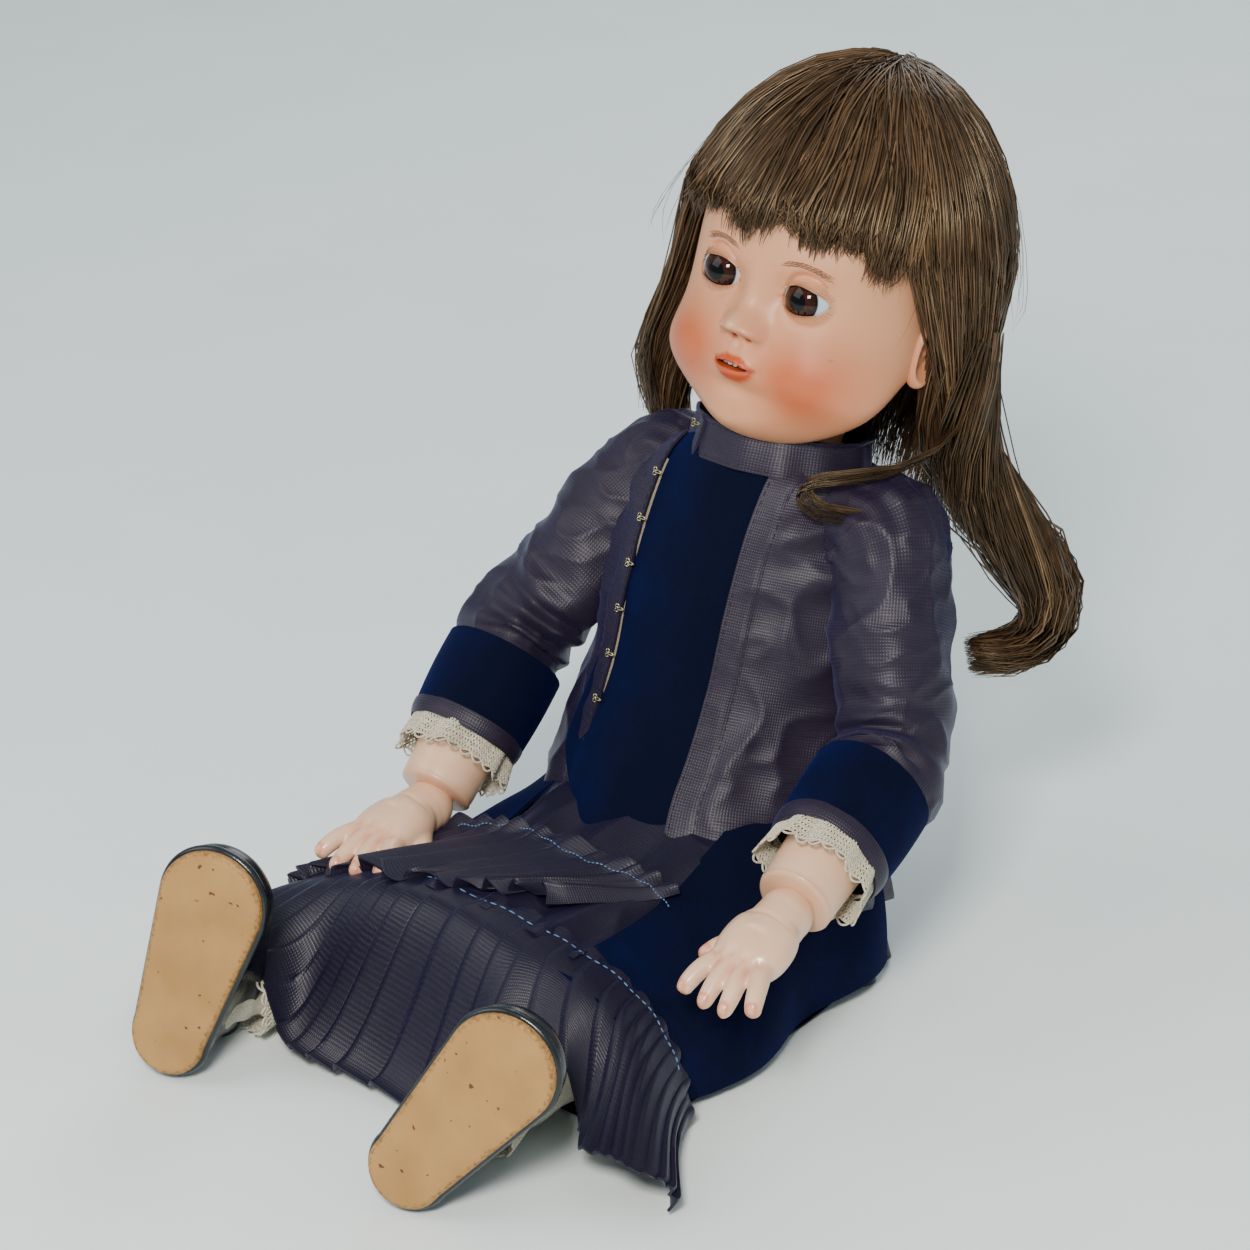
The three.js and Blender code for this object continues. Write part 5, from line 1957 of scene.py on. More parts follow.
@dataclass
class Jacket:
    """The silk jacket, its collar, the velvet front under it and its hooks, on the torso."""

    left_edge: float = 22.0
    right_edge: float = 25.0
    facing: float = 10.0
    thick: float = 1.0
    hem: float = 2.0
    tall: float = 165.5

    def around(self, a: Array, z: Array, off: Array) -> Array:
        """A place on the torso's oval at angle a from the front, off it by off.

        Args:
            a: The angle from the front, in radians.
            z: The height, in millimetres.
            off: How far it stands off.

        Returns:
            Points, in torso millimetres.
        """
        rx, front, back = (table(z, JACKET_RINGS, k) for k in (1, 2, 3))
        y = -np.where(np.cos(a) > 0, front + off, back + off) * np.cos(a)
        return np.column_stack([(rx + off) * np.sin(a), y, z])

    def edges(self, z: Array) -> tuple[Array, Array]:
        """The angles of the left and right front edges at each height."""
        rx = table(z, JACKET_RINGS, 1)
        return np.arcsin(self.left_edge / rx), 2 * np.pi - np.arcsin(self.right_edge / rx)

    def folds(self, points: Array, a: Array, z: Array) -> Array:
        """How far the silk stands off: soft drags from the armholes, and a full hem.

        Args:
            points: Places on the jacket.
            a: Their angles.
            z: Their heights.

        Returns:
            How far the silk stands off at each, in millimetres.
        """
        drag = ripple(points * np.array([1.0, 1.0, 0.38]), 17, 3) * 1.5
        pull = ripple(points * np.array([1.0, 0.6, 0.7]), 30, 7) * 1.8
        hem = smooth(60, 4, z) * 1.6 * np.sin(a * 9.0 + 1.2)
        arm = bump(np.abs(np.sin(a)) * 50, z, 50, 138, 26, 24)
        tuck = arm * 1.6 * np.sin((z + 18 * np.cos(a)) / 3.4)
        sharp = creases(points * np.array([1.0, 1.0, 0.5]), 26, 13) + 0.7 * creases(points, 17, 19)
        return drag + pull + hem + tuck + 2.4 * sharp

    def shell(self, u: Array, v: Array) -> Array:
        """The jacket from its left edge round the back to its right edge."""
        z = self.hem + self.tall * v
        first, last = self.edges(z)
        a = first + (last - first) * u
        base = self.around(a, z, np.zeros_like(a))
        rx = table(z, JACKET_RINGS, 1)
        from_left = (a - first) * rx
        from_right = (last - a) * rx
        near = np.minimum(from_left, from_right)
        calm = smooth(0, 22, near)
        facing = 0.55 * smooth(self.facing + 0.5, self.facing - 0.4, near)
        off = self.folds(base, a, z) * (0.25 + 0.75 * calm) + facing + 1.2
        # the left front's lower corner hangs forward over the lap
        corner = smooth(46, 4, z) * smooth(34, 0, from_left)
        out = self.around(a, z, off)
        out[:, 1] -= 5.0 * corner
        top = smooth(150, 168, z)
        out[:, 2] -= 2.0 * top * np.abs(np.sin(a)) ** 2
        # the open tail behind on the left
        tail = smooth(30, 4, z) * bump(a, z * 0, 2.25, 0, 0.5, 1)
        out[:, 0] += 6.0 * tail
        return swung(out)

    def build(self, finishes: Finishes) -> None:
        """Makes the jacket and what is on it."""
        piece = sheet_of("silk_jacket", 230, 104, self.shell, TORSO, size=(330, 166))
        cloth(piece, self.thick)
        settle(piece, "torso", finishes.silk, ("jacket",))
        cut_cloth(piece)
        self.topstitch(finishes)
        self.plastron(finishes)
        self.collar(finishes)
        self.hooks(finishes)

    def topstitch(self, finishes: Finishes) -> None:
        """The rows that hold both facings."""
        pieces = []
        for name, at in (("left", 0), ("right", 1)):
            for inset in (self.facing + 0.9, 1.4):

                def line(t: Array, at: int = at, inset: float = inset) -> Array:
                    """The row, a little inside the front edge."""
                    v = 0.02 + 0.95 * t
                    z = self.hem + self.tall * v
                    first, last = self.edges(z)
                    share = inset / table(z, JACKET_RINGS, 1) / (last - first)
                    u = share if at == 0 else 1 - share
                    points = self.shell(u, v)
                    points[:, 1] -= 0.16
                    return points

                pieces.append(stitches(f"topstitch_{name}_{inset:.0f}", line, 160, TORSO))
        row = joined("facing_topstitch", pieces)
        settle(row, "torso", finishes.dark_thread)

    def plastron(self, finishes: Finishes) -> None:
        """The velvet front: it bellies forward low down and ends in a rounded point."""
        right = [(8, 30), (22, 36.5), (40, 38.5), (62, 37), (90, 32.5), (120, 29.5), (145, 28), (170, 24)]

        def shape(u: Array, v: Array) -> Array:
            """From the right edge to the left one, and up."""
            low = 12.0 + 12.5 * np.clip((u - 0.5) / 0.5, 0, 1) ** 1.2
            low = low + 30.0 * np.clip((0.5 - u) / 0.5, 0, 1) ** 2.2
            z = low + (168.0 - low) * v
            x_right = -table(z, right, 1)
            x = x_right + (25.5 - x_right) * u
            rx, front = table(z, JACKET_RINGS, 1), table(z, JACKET_RINGS, 2)
            y = -front * np.sqrt(np.clip(1 - (x / rx) ** 2, 0.05, 1))
            belly = 7.5 * smooth(75, 16, z) * np.exp(-(((x + 6) / 26) ** 2))
            proud = 3.0 * smooth(0.16, 0.0, u) * smooth(150, 60, z)
            wave = 0.7 * ripple(np.column_stack([x, y, z * 0.6]), 24, 5)
            return swung(np.column_stack([x, y - 0.4 - belly - proud - wave, z]))

        piece = sheet_of("velvet_plastron", 80, 150, shape, TORSO, size=(62, 160))
        cloth(piece, 1.4)
        settle(piece, "torso", finishes.velvet, ("plastron",))
        cut_cloth(piece)

        def lining(u: Array, v: Array) -> Array:
            """The beige lining that shows between the fronts on the right."""
            z = 60 + 95 * v
            x = -32.5 + 7 * u
            rx, front = table(z, JACKET_RINGS, 1), table(z, JACKET_RINGS, 2)
            y = -front * np.sqrt(np.clip(1 - (x / rx) ** 2, 0.05, 1)) - 0.9
            return swung(np.column_stack([x, y, z]))

        strip = sheet_of("lining_strip", 12, 90, lining, TORSO, size=(8, 95))
        cloth(strip, 0.6)
        settle(strip, "torso", finishes.lining)
        cut_cloth(strip)

    def collar(self, finishes: Finishes) -> None:
        """The stand-up collar, closed at the doll's right."""
        start = -0.62

        def shape(u: Array, v: Array) -> Array:
            """Once round the neck, with the last stretch lapped over the first."""
            a = start + u * (2 * np.pi + 0.16)
            lap = 1.4 * smooth(0.965, 0.985, u)
            z = 161.6 + 15.0 * v - 2.0 * np.cos(a) * (1 - v) - 1.5 * np.cos(a) * v
            ease = 2.2 * v**1.2
            roll = 1.1 * smooth(0.86, 1.0, v)
            rx, front, back = 37.0 - ease, 34.5 - ease * 0.8, 30.0 - ease * 0.8
            wave = 0.9 * np.sin(a * 5 + 2.0 * v) * v + 0.5 * np.sin(a * 13) * (1 - 0.5 * v)
            off = lap + roll + wave
            y = -np.where(np.cos(a) > 0, front + off, back + off) * np.cos(a)
            return np.column_stack([(rx + off) * np.sin(a) - 2.5, y, z])

        piece = sheet_of("silk_collar", 200, 24, shape, TORSO, size=(196, 16))
        cloth(piece, 1.3, 0.0)
        settle(piece, "torso", finishes.silk, ("collar",))
        cut_cloth(piece)
        rows = []
        for height in (0.10, 0.88):

            def line(t: Array, height: float = height) -> Array:
                """A row of stitches round the collar."""
                points = shape(0.01 + 0.94 * t, np.full_like(t, height))
                away = points * np.array([1, 1, 0])
                return points + away / np.linalg.norm(away, axis=1)[:, None] * 0.8

            rows.append(stitches(f"collar_row_{height:.1f}", line, 180, TORSO, 3.2, 0.18))
        settle(joined("collar_topstitch", rows), "torso", finishes.dark_thread)

    def hooks(self, finishes: Finishes) -> None:
        """The hooks down the right front: two wire eyes and a bent bill each."""
        pieces = []
        for i, z in enumerate((172, 150, 132, 114, 96, 78, 60)):
            rx, front = (float(table(np.array([z]), JACKET_RINGS, k)[0]) for k in (1, 2))
            x = -26.6 if z < 170 else -20.0
            y = -front * math.sqrt(max(1 - (x / rx) ** 2, 0.05)) - 4.4
            y = y if z < 170 else -32.4
            x, y, _ = swung(np.array([[x, y, z]]))[0] if z < 170 else (x - 2.5, y, z)
            for dx, dz in ((0.0, 0.85), (0.0, -0.85), (2.0, 0.0)):
                turn = np.linspace(0, 2 * np.pi * 0.97, 14)
                loop = np.column_stack(
                    [
                        x + dx + np.cos(turn) * (0.75 if dx == 0 else 1.4),
                        np.full(14, y) - 0.25 * np.sin(turn * 2) - (0.5 if dx else 0),
                        z + dz + np.sin(turn) * (0.75 if dx == 0 else 0.5),
                    ]
                )
                pieces.append(tube_of(f"hook_{i}_{dx:.0f}_{dz:.0f}", loop, np.full(14, 0.26), 6, TORSO))
        row = joined("brass_hooks", pieces)
        softened(row, 60)
        settle(row, "torso", finishes.brass, ("hook_tape",))


@dataclass
class Sleeve:
    """One sleeve with its velvet cuff and cotton lace."""

    side: Side
    cuff_start: float = 16.0
    cuff_end: float = 48.0
    binding_end: float = 54.5
    lace_end: float = 65.0
    rings: int = 150
    around: int = 110
    cuts: tuple[float, float] = (20.0, 46.0)

    def __post_init__(self) -> None:
        """Finds the arm's joints."""
        word = self.side.word
        self.shoulder = joint_at(f"arm_swing_{word}") / MM
        self.elbow = joint_at(f"elbow_{word}") / MM
        self.wrist = joint_at(f"wrist_{word}") / MM
        self.upper = unit(self.elbow - self.shoulder)
        self.fore = unit(self.wrist - self.elbow)
        self.fore_rig = aimed(self.elbow * MM, self.fore)

    def path(self) -> tuple[Array, Array]:
        """The sleeve's middle line and its radius at each point."""
        s = self.side.value
        spine = TORSO.turn @ np.array([0, 0, 1.0])
        start = self.shoulder + np.array([-21.0 * s, -2.0, 0]) - spine * 1.0
        bend = self.elbow - (self.fore - self.upper) * 4.0
        line = np.array(
            [
                start,
                self.shoulder + np.array([-4.0 * s, 0, 0]) - spine * 1.5 + self.upper * 2,
                self.shoulder + self.upper * 24 + np.array([1.5 * s, 0, 0]),
                self.shoulder + self.upper * 50,
                bend - self.upper * 12,
                bend + self.fore * 8,
                self.elbow + self.fore * (self.cuff_start + 6.0),
            ]
        )
        t = np.linspace(0, 1, self.rings)
        centre = spline(line, t)
        girth = [
            (0, 20), (0.12, 23), (0.22, 23.2), (0.36, 22.2), (0.5, 21.0), (0.7, 21.3), (0.85, 21.4),
            (1, 20.6),
        ]
        return centre, table(t, girth, 1)

    def build(self, finishes: Finishes) -> None:
        """Makes the sleeve, cuff and lace."""
        word = self.side.word
        centre, radius = self.path()
        around = self.around
        rings = ring_points(centre, radius, around)
        far = np.concatenate([[0], np.cumsum(np.linalg.norm(np.diff(centre, axis=0), axis=1))])
        out = rings - centre[:, None]
        out /= np.linalg.norm(out, axis=2)[..., None]
        elbow_far = far[np.argmin(np.linalg.norm(centre - self.elbow, axis=1))]
        inner = np.clip(out @ unit(self.fore - self.upper), 0, 1)
        angle = np.arange(around) / around * 2 * np.pi
        along = far[:, None] - elbow_far
        crush = 2.3 * np.sin(2 * np.pi * (along / 15 + 0.45 * np.cos(angle)[None]))
        crush = crush * np.exp(-((along / 25) ** 2)) * (0.3 + 0.7 * inner)
        flat = rings.reshape(-1, 3)
        s = self.side.value
        soft = ripple(flat * np.array([1, 1, 0.8]), 21, 2 + s).reshape(inner.shape) * 2.3
        drag = ripple(flat @ np.diag([0.8, 0.8, 0.35]), 12, 9 + s).reshape(inner.shape) * 1.5
        sharp = creases(flat @ np.diag([1.0, 1.0, 0.6]), 25, 21 + s).reshape(inner.shape) * 2.6
        sharp = sharp + creases(flat @ np.diag([1.0, 1.0, 1.6]), 17, 41).reshape(inner.shape) * 1.4
        drag = drag + sharp - 1.0
        gather = 0.6 * np.cos(17 * angle)[None] * np.exp(-(((far[:, None] - 16) / 12) ** 2))
        calm = smooth(0, 8, far)[:, None] * smooth(far[-1], far[-1] - 10, far)[:, None]
        rings = rings + out * ((crush + soft + drag) * calm + gather)[..., None]

        def shape(u: Array, v: Array) -> Array:
            """The tube, from the armhole to the cuff."""
            row = np.rint(v * (self.rings - 1)).astype(int)
            return rings[row, np.rint(u * around).astype(int) % around]

        whole = sheet_of(
            f"sleeve_whole_{word}", around, self.rings - 1, shape, WORLD, ring=True, size=(140, 150)
        )
        names = ("sleeve_head", "sleeve_top", "sleeve_lower")
        for k in range(3):
            low = -1 if k == 0 else self.cuts[k - 1]
            high = math.inf if k == 2 else self.cuts[k]

            def keep(middles: Array, low: float = low, high: float = high) -> Array:
                """Whether each face lies in this stretch of the sleeve."""
                near = ((middles[:, None] / MM - centre[None, ::2]) ** 2).sum(2).argmin(1)
                reach = far[::2][near]
                return (reach > low) & (reach <= high)

            piece = part_of(whole, f"{names[k]}_{word}", keep)
            cloth(piece, 0.9)
            replaced = (f"sleeve_{word}",) if k == 1 else ()
            settle(piece, "", finishes.silk, replaced)
            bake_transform(piece)
            cut_cloth(piece)
        bpy.data.objects.remove(whole)
        self.cuff(finishes)
        self.lace(finishes)

    def band(
        self, name: str, start: float, end: float, r0: float, r1: float, wave: float, seed: float
    ) -> bpy.types.Object:
        """A turned band of cloth round the forearm.

        Args:
            name: The piece's name.
            start: Where it starts, in millimetres from the elbow.
            end: Where it ends.
            r0: Its radius there at the start.
            r1: Its radius at the end.
            wave: How far it is out of round.
            seed: Where round it that starts, in radians.

        Returns:
            The piece.
        """

        def shape(u: Array, v: Array) -> Array:
            """A soft oval tube."""
            a = u * 2 * np.pi
            z = start + (end - start) * v + 0.8 * np.sin(a * 2 + seed)
            r = r0 + (r1 - r0) * v + wave * np.sin(a * 3 + seed + v) + 0.5 * np.sin(v * np.pi)
            return np.column_stack([r * np.cos(a), r * np.sin(a), z])

        piece = sheet_of(name, 120, 26, shape, self.fore_rig, ring=True, size=(140, abs(end - start)))
        return cloth(piece, 1.5)

    def cuff(self, finishes: Finishes) -> None:
        """The velvet cuff and its silk binding."""
        word = self.side.word
        seed = 1.0 + self.side.value
        velvet = self.band(f"velvet_cuff_{word}", self.cuff_start, self.cuff_end, 24.2, 23.2, 0.5, seed)
        settle(velvet, f"forearm_{word}", finishes.velvet, (f"cuff_{word}",))
        cut_cloth(velvet)
        rim = self.band(
            f"cuff_binding_{word}", self.cuff_end - 0.4, self.binding_end, 23.6, 22.2, 0.5, seed
        )
        settle(rim, f"forearm_{word}", finishes.silk)

    def lace(self, finishes: Finishes) -> None:
        """Crochet lace: rows of threads round the wrist, with picots and open meshes."""
        word = self.side.word
        repeats, rows = 26, 5
        start, end = self.binding_end - 4.0, self.lace_end
        paths = []
        steps = repeats * 8
        t = np.linspace(0, 2 * np.pi, steps + 1)

        def at(a: Array, v: Array) -> Array:
            """A place on the lace's cloth: a shallow flare with soft ruffles."""
            r = 20.6 + 1.6 * v + 1.5 * np.sin(a * 7 + self.side.value) * v + 0.7 * np.sin(a * 11)
            z = start + (end - start) * v + 0.6 * np.sin(a * 5)
            return np.stack([r * np.cos(a), r * np.sin(a), z], -1)

        for row in range(rows + 1):
            v = row / rows * 0.86
            start_in = 0.035 * (row == 0)
            paths.append(at(t, v + start_in + 0.028 * np.sin(repeats * t + row * np.pi)))
        paths.append(at(t, 0.86 + 0.15 * np.abs(np.sin(repeats * t / 2))))
        for row in range(rows):
            paths.append(at(t, (row + 0.5 + 0.5 * np.sin(repeats * t * 2)) / rows * 0.86))
            paths.append(at(t, (row + 0.5 - 0.5 * np.sin(repeats * t * 2)) / rows * 0.86))
        lines = np.array(paths)
        widths = np.full(lines.shape[:2], 0.42)
        lattice = strands(f"crochet_lace_{word}", lines, widths, np.full(len(lines), 0.5), self.fore_rig, 5)
        settle(lattice, f"forearm_{word}", finishes.crochet, (f"cuff_lace_{word}",))


# Sections across the lap: how far forward (mm), their middle in x, half-width and height.
ARCHES = [
    (170, -11, 126, 55), (143, -12, 107, 60), (114, -12, 94, 61), (80, -9, 87, 63), (45, -3, 80, 76),
    (8, -1, 74, 92), (-25, 0, 66, 92), (-46, 0, 60, 78), (-60, 0, 46, 46), (-66, 0, 24, 14),
]


LAP = sorted((-row[0], *row[1:]) for row in ARCHES)


@dataclass
class Skirt:
    """The skirt: a silk front band between velvet panels, over two pleated tiers."""

    band: tuple[float, float] = (-44.0, 36.0)
    thick: float = 1.1

    def arch(self, c: Array, y: Array, off: Array) -> Array:
        """The lap at angle c (0 at the doll's left, pi at its right) and depth y.

        Args:
            c: The angle over the lap: 0 at the doll's left, pi at its right.
            y: How far forward, in millimetres.
            off: How far it stands off.

        Returns:
            Points, in millimetres.
        """
        mid, wide, top = (table(y, LAP, k) for k in (1, 2, 3))
        cos, sin = np.cos(c), np.clip(np.sin(c), 0, 1)
        x = mid + (wide + off) * np.sign(cos) * np.abs(cos) ** 0.92
        z = (top + off) * sin**0.75
        return np.column_stack([x, y, z])

    def angle_at(self, x: float, y: Array) -> Array:
        """The angle at which the lap is x across, at each depth.

        Args:
            x: How far across, in millimetres.
            y: How far forward.

        Returns:
            The angle at each y.
        """
        mid, wide = table(y, LAP, 1), table(y, LAP, 2)
        share = np.clip((x - mid) / wide, -0.99, 0.99)
        return np.arccos(np.sign(share) * np.abs(share) ** (1 / 0.92))

    def halves(
        self, piece: bpy.types.Object, material: bpy.types.Material, stands: Sequence[str],
        middle: float = 0.0,
    ) -> None:
        """Splits a skirt piece down the middle into two halves, each made into cloth of its own.

        Args:
            piece: The whole piece, still without thickness.
            material: Its finish.
            stands: CAD nodes that it replaces.
            middle: Where it is split, as x in millimetres.
        """
        name = piece.name
        for side in Side:
            keep = (lambda m, s=side.value: (m[:, 0] - middle * MM) * s > 0)
            half = part_of(piece, f"{name}_{side.word}", keep)
            if not len(half.data.polygons):
                bpy.data.objects.remove(half)
                continue
            cloth(half, self.thick)
            settle(half, "", material, stands if side is Side.RIGHT else ())
            self.follow_hip(half)
            cut_cloth(half)
        bpy.data.objects.remove(piece)

    def follow_hip(self, piece: bpy.types.Object) -> None:
        """Bakes a piece's placing into its mesh, so that it stays where it was made.

        Args:
            piece: The piece.
        """
        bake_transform(piece)

    def build(self, finishes: Finishes) -> None:
        """Makes every piece of the skirt."""
        self.front(finishes)
        self.panel(Side.LEFT, finishes)
        self.panel(Side.RIGHT, finishes)
        self.back(finishes)
        self.lower_tier(finishes)
        self.upper_tier(finishes)
        self.seat(finishes)

    def front(self, finishes: Finishes) -> None:
        """The silk band under the plastron, with folds that spread from the waist."""

        def shape(u: Array, v: Array) -> Array:
            """Across from left to right, and from the waist forward."""
            y = -18.0 - 110.0 * v
            a, b = self.angle_at(self.band[1] + 1, y), self.angle_at(self.band[0] - 1, y)
            c = a + (b - a) * u
            base = self.arch(c, y, np.zeros_like(y))
            fan = np.sin((u - 0.42) * (13 + 9 * v) + 1.1 * np.sin(v * 5)) * 2.4 * smooth(0.12, 0.5, v)
            fan += 2.2 * creases(np.column_stack([c * 60, y * 0.5, y * 0]), 15, 3) * smooth(0.05, 0.4, v)
            base = self.arch(c, y, fan + 1.0 + 1.8 * ripple(base, 21, 4) * smooth(0, 0.3, v))
            return base

        piece = sheet_of("skirt_band", 100, 108, shape, WORLD, size=(80, 130))
        cloth(piece, self.thick)
        settle(piece, "torso", finishes.skirt, ("skirt_front",))
        cut_cloth(piece)

    def panel(self, side: Side, finishes: Finishes) -> None:
        """A velvet panel from the band down to the table, with a waved lower edge."""
        left = side is Side.LEFT

        def shape(u: Array, v: Array) -> Array:
            """From the band's edge down, and from behind the hip forward."""
            y = 22.0 - (158.0 if left else 146.0) * v
            if left:
                inner = self.angle_at(self.band[1], np.minimum(y, -5.0))
                outer = 0.03 + 0.10 * smooth(0.75, 1.0, v)
            else:
                inner = self.angle_at(self.band[0], np.minimum(y, -5.0))
                outer = np.pi - 0.03 - 0.05 * smooth(0.7, 1.0, v)
            c = inner + (outer - inner) * u
            base = self.arch(c, y, np.zeros_like(y))
            wave = 2.2 * ripple(base * np.array([1, 1, 0.7]), 34, 6 + side.value)
            hem = smooth(0.55, 1.0, u) * 3.4 * np.sin(y / 13 + 1.0) + 1.2
            out = self.arch(c, y, wave + hem + 1.4)
            out[:, 2] = np.maximum(out[:, 2], 1.6)
            return out

        piece = sheet_of(f"velvet_panel_{side.word}_cloth", 92, 106, shape, WORLD, size=(130, 155))
        if left:
            flip(piece)
        name = f"velvet_panel_{side.word}"
        cloth(piece, 1.6)
        settle(piece, "", finishes.velvet, (name,))
        self.follow_hip(piece)
        cut_cloth(piece)

    def back(self, finishes: Finishes) -> None:
        """The silk back, gathered down from under the jacket to the table."""

        def shape(u: Array, v: Array) -> Array:
            """From the doll's left round behind to its right, and down."""
            a = -0.14 + (np.pi + 0.28) * u
            grow = v**1.3
            x = (60 + 11 * grow) * np.cos(a)
            y = 4 + (48 + 12 * grow) * np.sin(a)
            z = 88 * (1 - v) ** 1.15 + 1.8
            fold = 2.6 * np.sin(a * 17 + 0.8 * np.sin(v * 4)) * smooth(0, 0.3, v)
            return np.column_stack([x + fold * np.cos(a), y + fold * np.sin(a), z])

        piece = sheet_of("skirt_back_cloth", 160, 46, shape, WORLD, size=(230, 110))
        flip(piece)
        cloth(piece, self.thick)
        settle(piece, "torso", finishes.skirt, ("skirt_back",))
        cut_cloth(piece)

    def hem_height(self, x: Array) -> Array:
        """How high the hem stands at each x: it lies over both ankles and falls between them."""
        legs = 33 * np.exp(-(((x + 88) / 21) ** 4)) + 33 * np.exp(-(((x - 39) / 21) ** 4))
        return 2.0 + legs

    def lower_tier(self, finishes: Finishes) -> None:
        """The lower tier: knife pleats from the gathering line down to the hem."""
        pleats = 34

        def shape(u: Array, v: Array) -> Array:
            """Round from the doll's left to its right, and from the gathers to the hem."""
            c = 0.015 + (np.pi - 0.03) * u
            lean = 0.07 * v * np.sin(c)
            c = np.clip(c + lean, 0.012, np.pi - 0.012)
            y = -116.0 - 56.0 * v
            base = self.arch(c, y, np.zeros_like(y))
            drop = smooth(0.30, 1.0, v) * np.sin(c)
            low = self.hem_height(base[:, 0])
            z = base[:, 2] * (1 - drop) + np.minimum(low, base[:, 2] + 4) * drop
            y = y - 4.0 * drop + 5.0 * smooth(0.5, 0.0, np.sin(c)) * v
            phase = (u * pleats + 0.9 * np.sin(u * 9.0) + 0.25 * np.sin(u * 31)) % 1.0
            saw = np.where(phase < 0.86, phase / 0.86, (1 - phase) / 0.14)
            depth = (0.9 + 3.4 * v) * (0.75 + 0.35 * np.sin(u * 23 + 2.0))
            head = 2.6 * smooth(0.09, 0.0, v) * np.sin(u * 120)
            out = 2.2 + saw * depth + head * 0.5
            hem = 1.6 * np.sin(u * 41) * v + 24.0 * v * v * np.exp(-(((base[:, 0] - 50) / 25) ** 4))
            normal = np.column_stack([np.cos(c) * 0.9, -0.45 * drop, np.sin(c) * 0.9 + 0.1])
            normal /= np.linalg.norm(normal, axis=1)[:, None]
            spot = np.column_stack([base[:, 0], y + hem, z]) + normal * out[:, None]
            spot[:, 2] = np.maximum(spot[:, 2], 1.8)
            return spot

        piece = sheet_of("lower_flounce", pleats * 14, 42, shape, WORLD, size=(620, 62))
        flip(piece)
        self.halves(piece, finishes.skirt, ("flounce_lower",), -24.0)
        self.gather_stitch("lower_gathers", 0.3, 2.86, -121.5, 4.6, finishes)

    def gather_stitch(
        self, name: str, a: float, b: float, y: float, off: float, finishes: Finishes
    ) -> None:
        """A light blue running stitch along a gathering line.

        Args:
            name: The piece's name.
            a: The angle round the lap at which it starts.
            b: The angle at which it ends.
            y: How far forward it runs.
            off: How far it stands off the lap.
            finishes: The doll's finishes.
        """

        def line(t: Array) -> Array:
            """Across the lap at one depth, waving with the gathers."""
            c = a + (b - a) * t
            deep = y + 2.2 * np.sin(t * 11)
            return self.arch(c, deep, off + 0.5 * np.sin(t * 60))

        row = stitches(name, line, 210, WORLD, 3.4, 0.30)
        settle(row, "torso", finishes.blue_thread)

    def upper_tier(self, finishes: Finishes) -> None:
        """The upper tier: it lies over the lap, its pleats fanned forward to the right."""
        pleats = 17

        def shape(u: Array, v: Array) -> Array:
            """Across from the doll's left to its right, and forward from the gathers."""
            y = -70.0 - 54.0 * v - 4.0 * np.sin(u * 3.0)
            a = self.angle_at(self.band[1] + 2, np.full_like(y, -90.0))
            b = self.angle_at(-92.0, np.full_like(y, -90.0))
            c = a + (b - a) * u + 0.34 * v * (1 - 0.5 * u)
            phase = (u * pleats + 0.8 * np.sin(u * 7.0)) % 1.0
            saw = np.where(phase < 0.84, phase / 0.84, (1 - phase) / 0.16)
            depth = (1.4 + 5.0 * v) * (0.8 + 0.3 * np.sin(u * 19))
            heading = smooth(0.16, 0.0, v) * (2.0 + 1.6 * np.sin(u * 74 + 3 * np.sin(u * 13)))
            edge = smooth(0.8, 1.0, v) * 2.5 * np.sin(u * 52) + 14.0 * v * smooth(0.30, 0.0, u)
            bunch = 9.0 * smooth(0.78, 1.0, u) * (0.4 + 0.6 * np.sin(v * 3.1))
            base = self.arch(c, y, 4.0 + saw * depth + heading + bunch)
            base[:, 1] += edge + 3.0 * np.sin(u * 31) * v
            return base

        piece = sheet_of("upper_flounce", pleats * 16, 44, shape, WORLD, size=(330, 56))
        flip(piece)
        cloth(piece, self.thick)
        settle(piece, "torso", finishes.skirt, ("flounce_upper",))
        cut_cloth(piece)
        self.gather_stitch("upper_gathers", 1.0, 2.1, -79.0, 7.4, finishes)

    def seat(self, finishes: Finishes) -> None:
        """The skirt's underside, spread on the table."""

        def shape(u: Array, v: Array) -> Array:
            """A flat sheet inside the skirt's outline."""
            y = 44.0 - 180.0 * v
            mid, wide = table(y, LAP, 1), table(y, LAP, 2)
            wide = np.where(y > 0, np.minimum(wide, 66 - 0.3 * y), wide)
            x = mid + (wide - 5) * (1 - 2 * u)
            return np.column_stack([x, y, 0.7 + 0.4 * np.sin(x / 9) * np.sin(y / 11)])

        piece = sheet_of("skirt_seat_cloth", 60, 60, shape, WORLD, size=(200, 180))
        cloth(piece, 0.6, 0.0)
        settle(piece, "torso", finishes.skirt, ("skirt_seat",))
        cut_cloth(piece)


def flip(piece: bpy.types.Object) -> None:
    """Turns a sheet's faces over."""
    alone(piece)
    bpy.ops.object.mode_set(mode="EDIT")
    bpy.ops.mesh.select_all(action="SELECT")
    bpy.ops.mesh.flip_normals()
    bpy.ops.object.mode_set(mode="OBJECT")


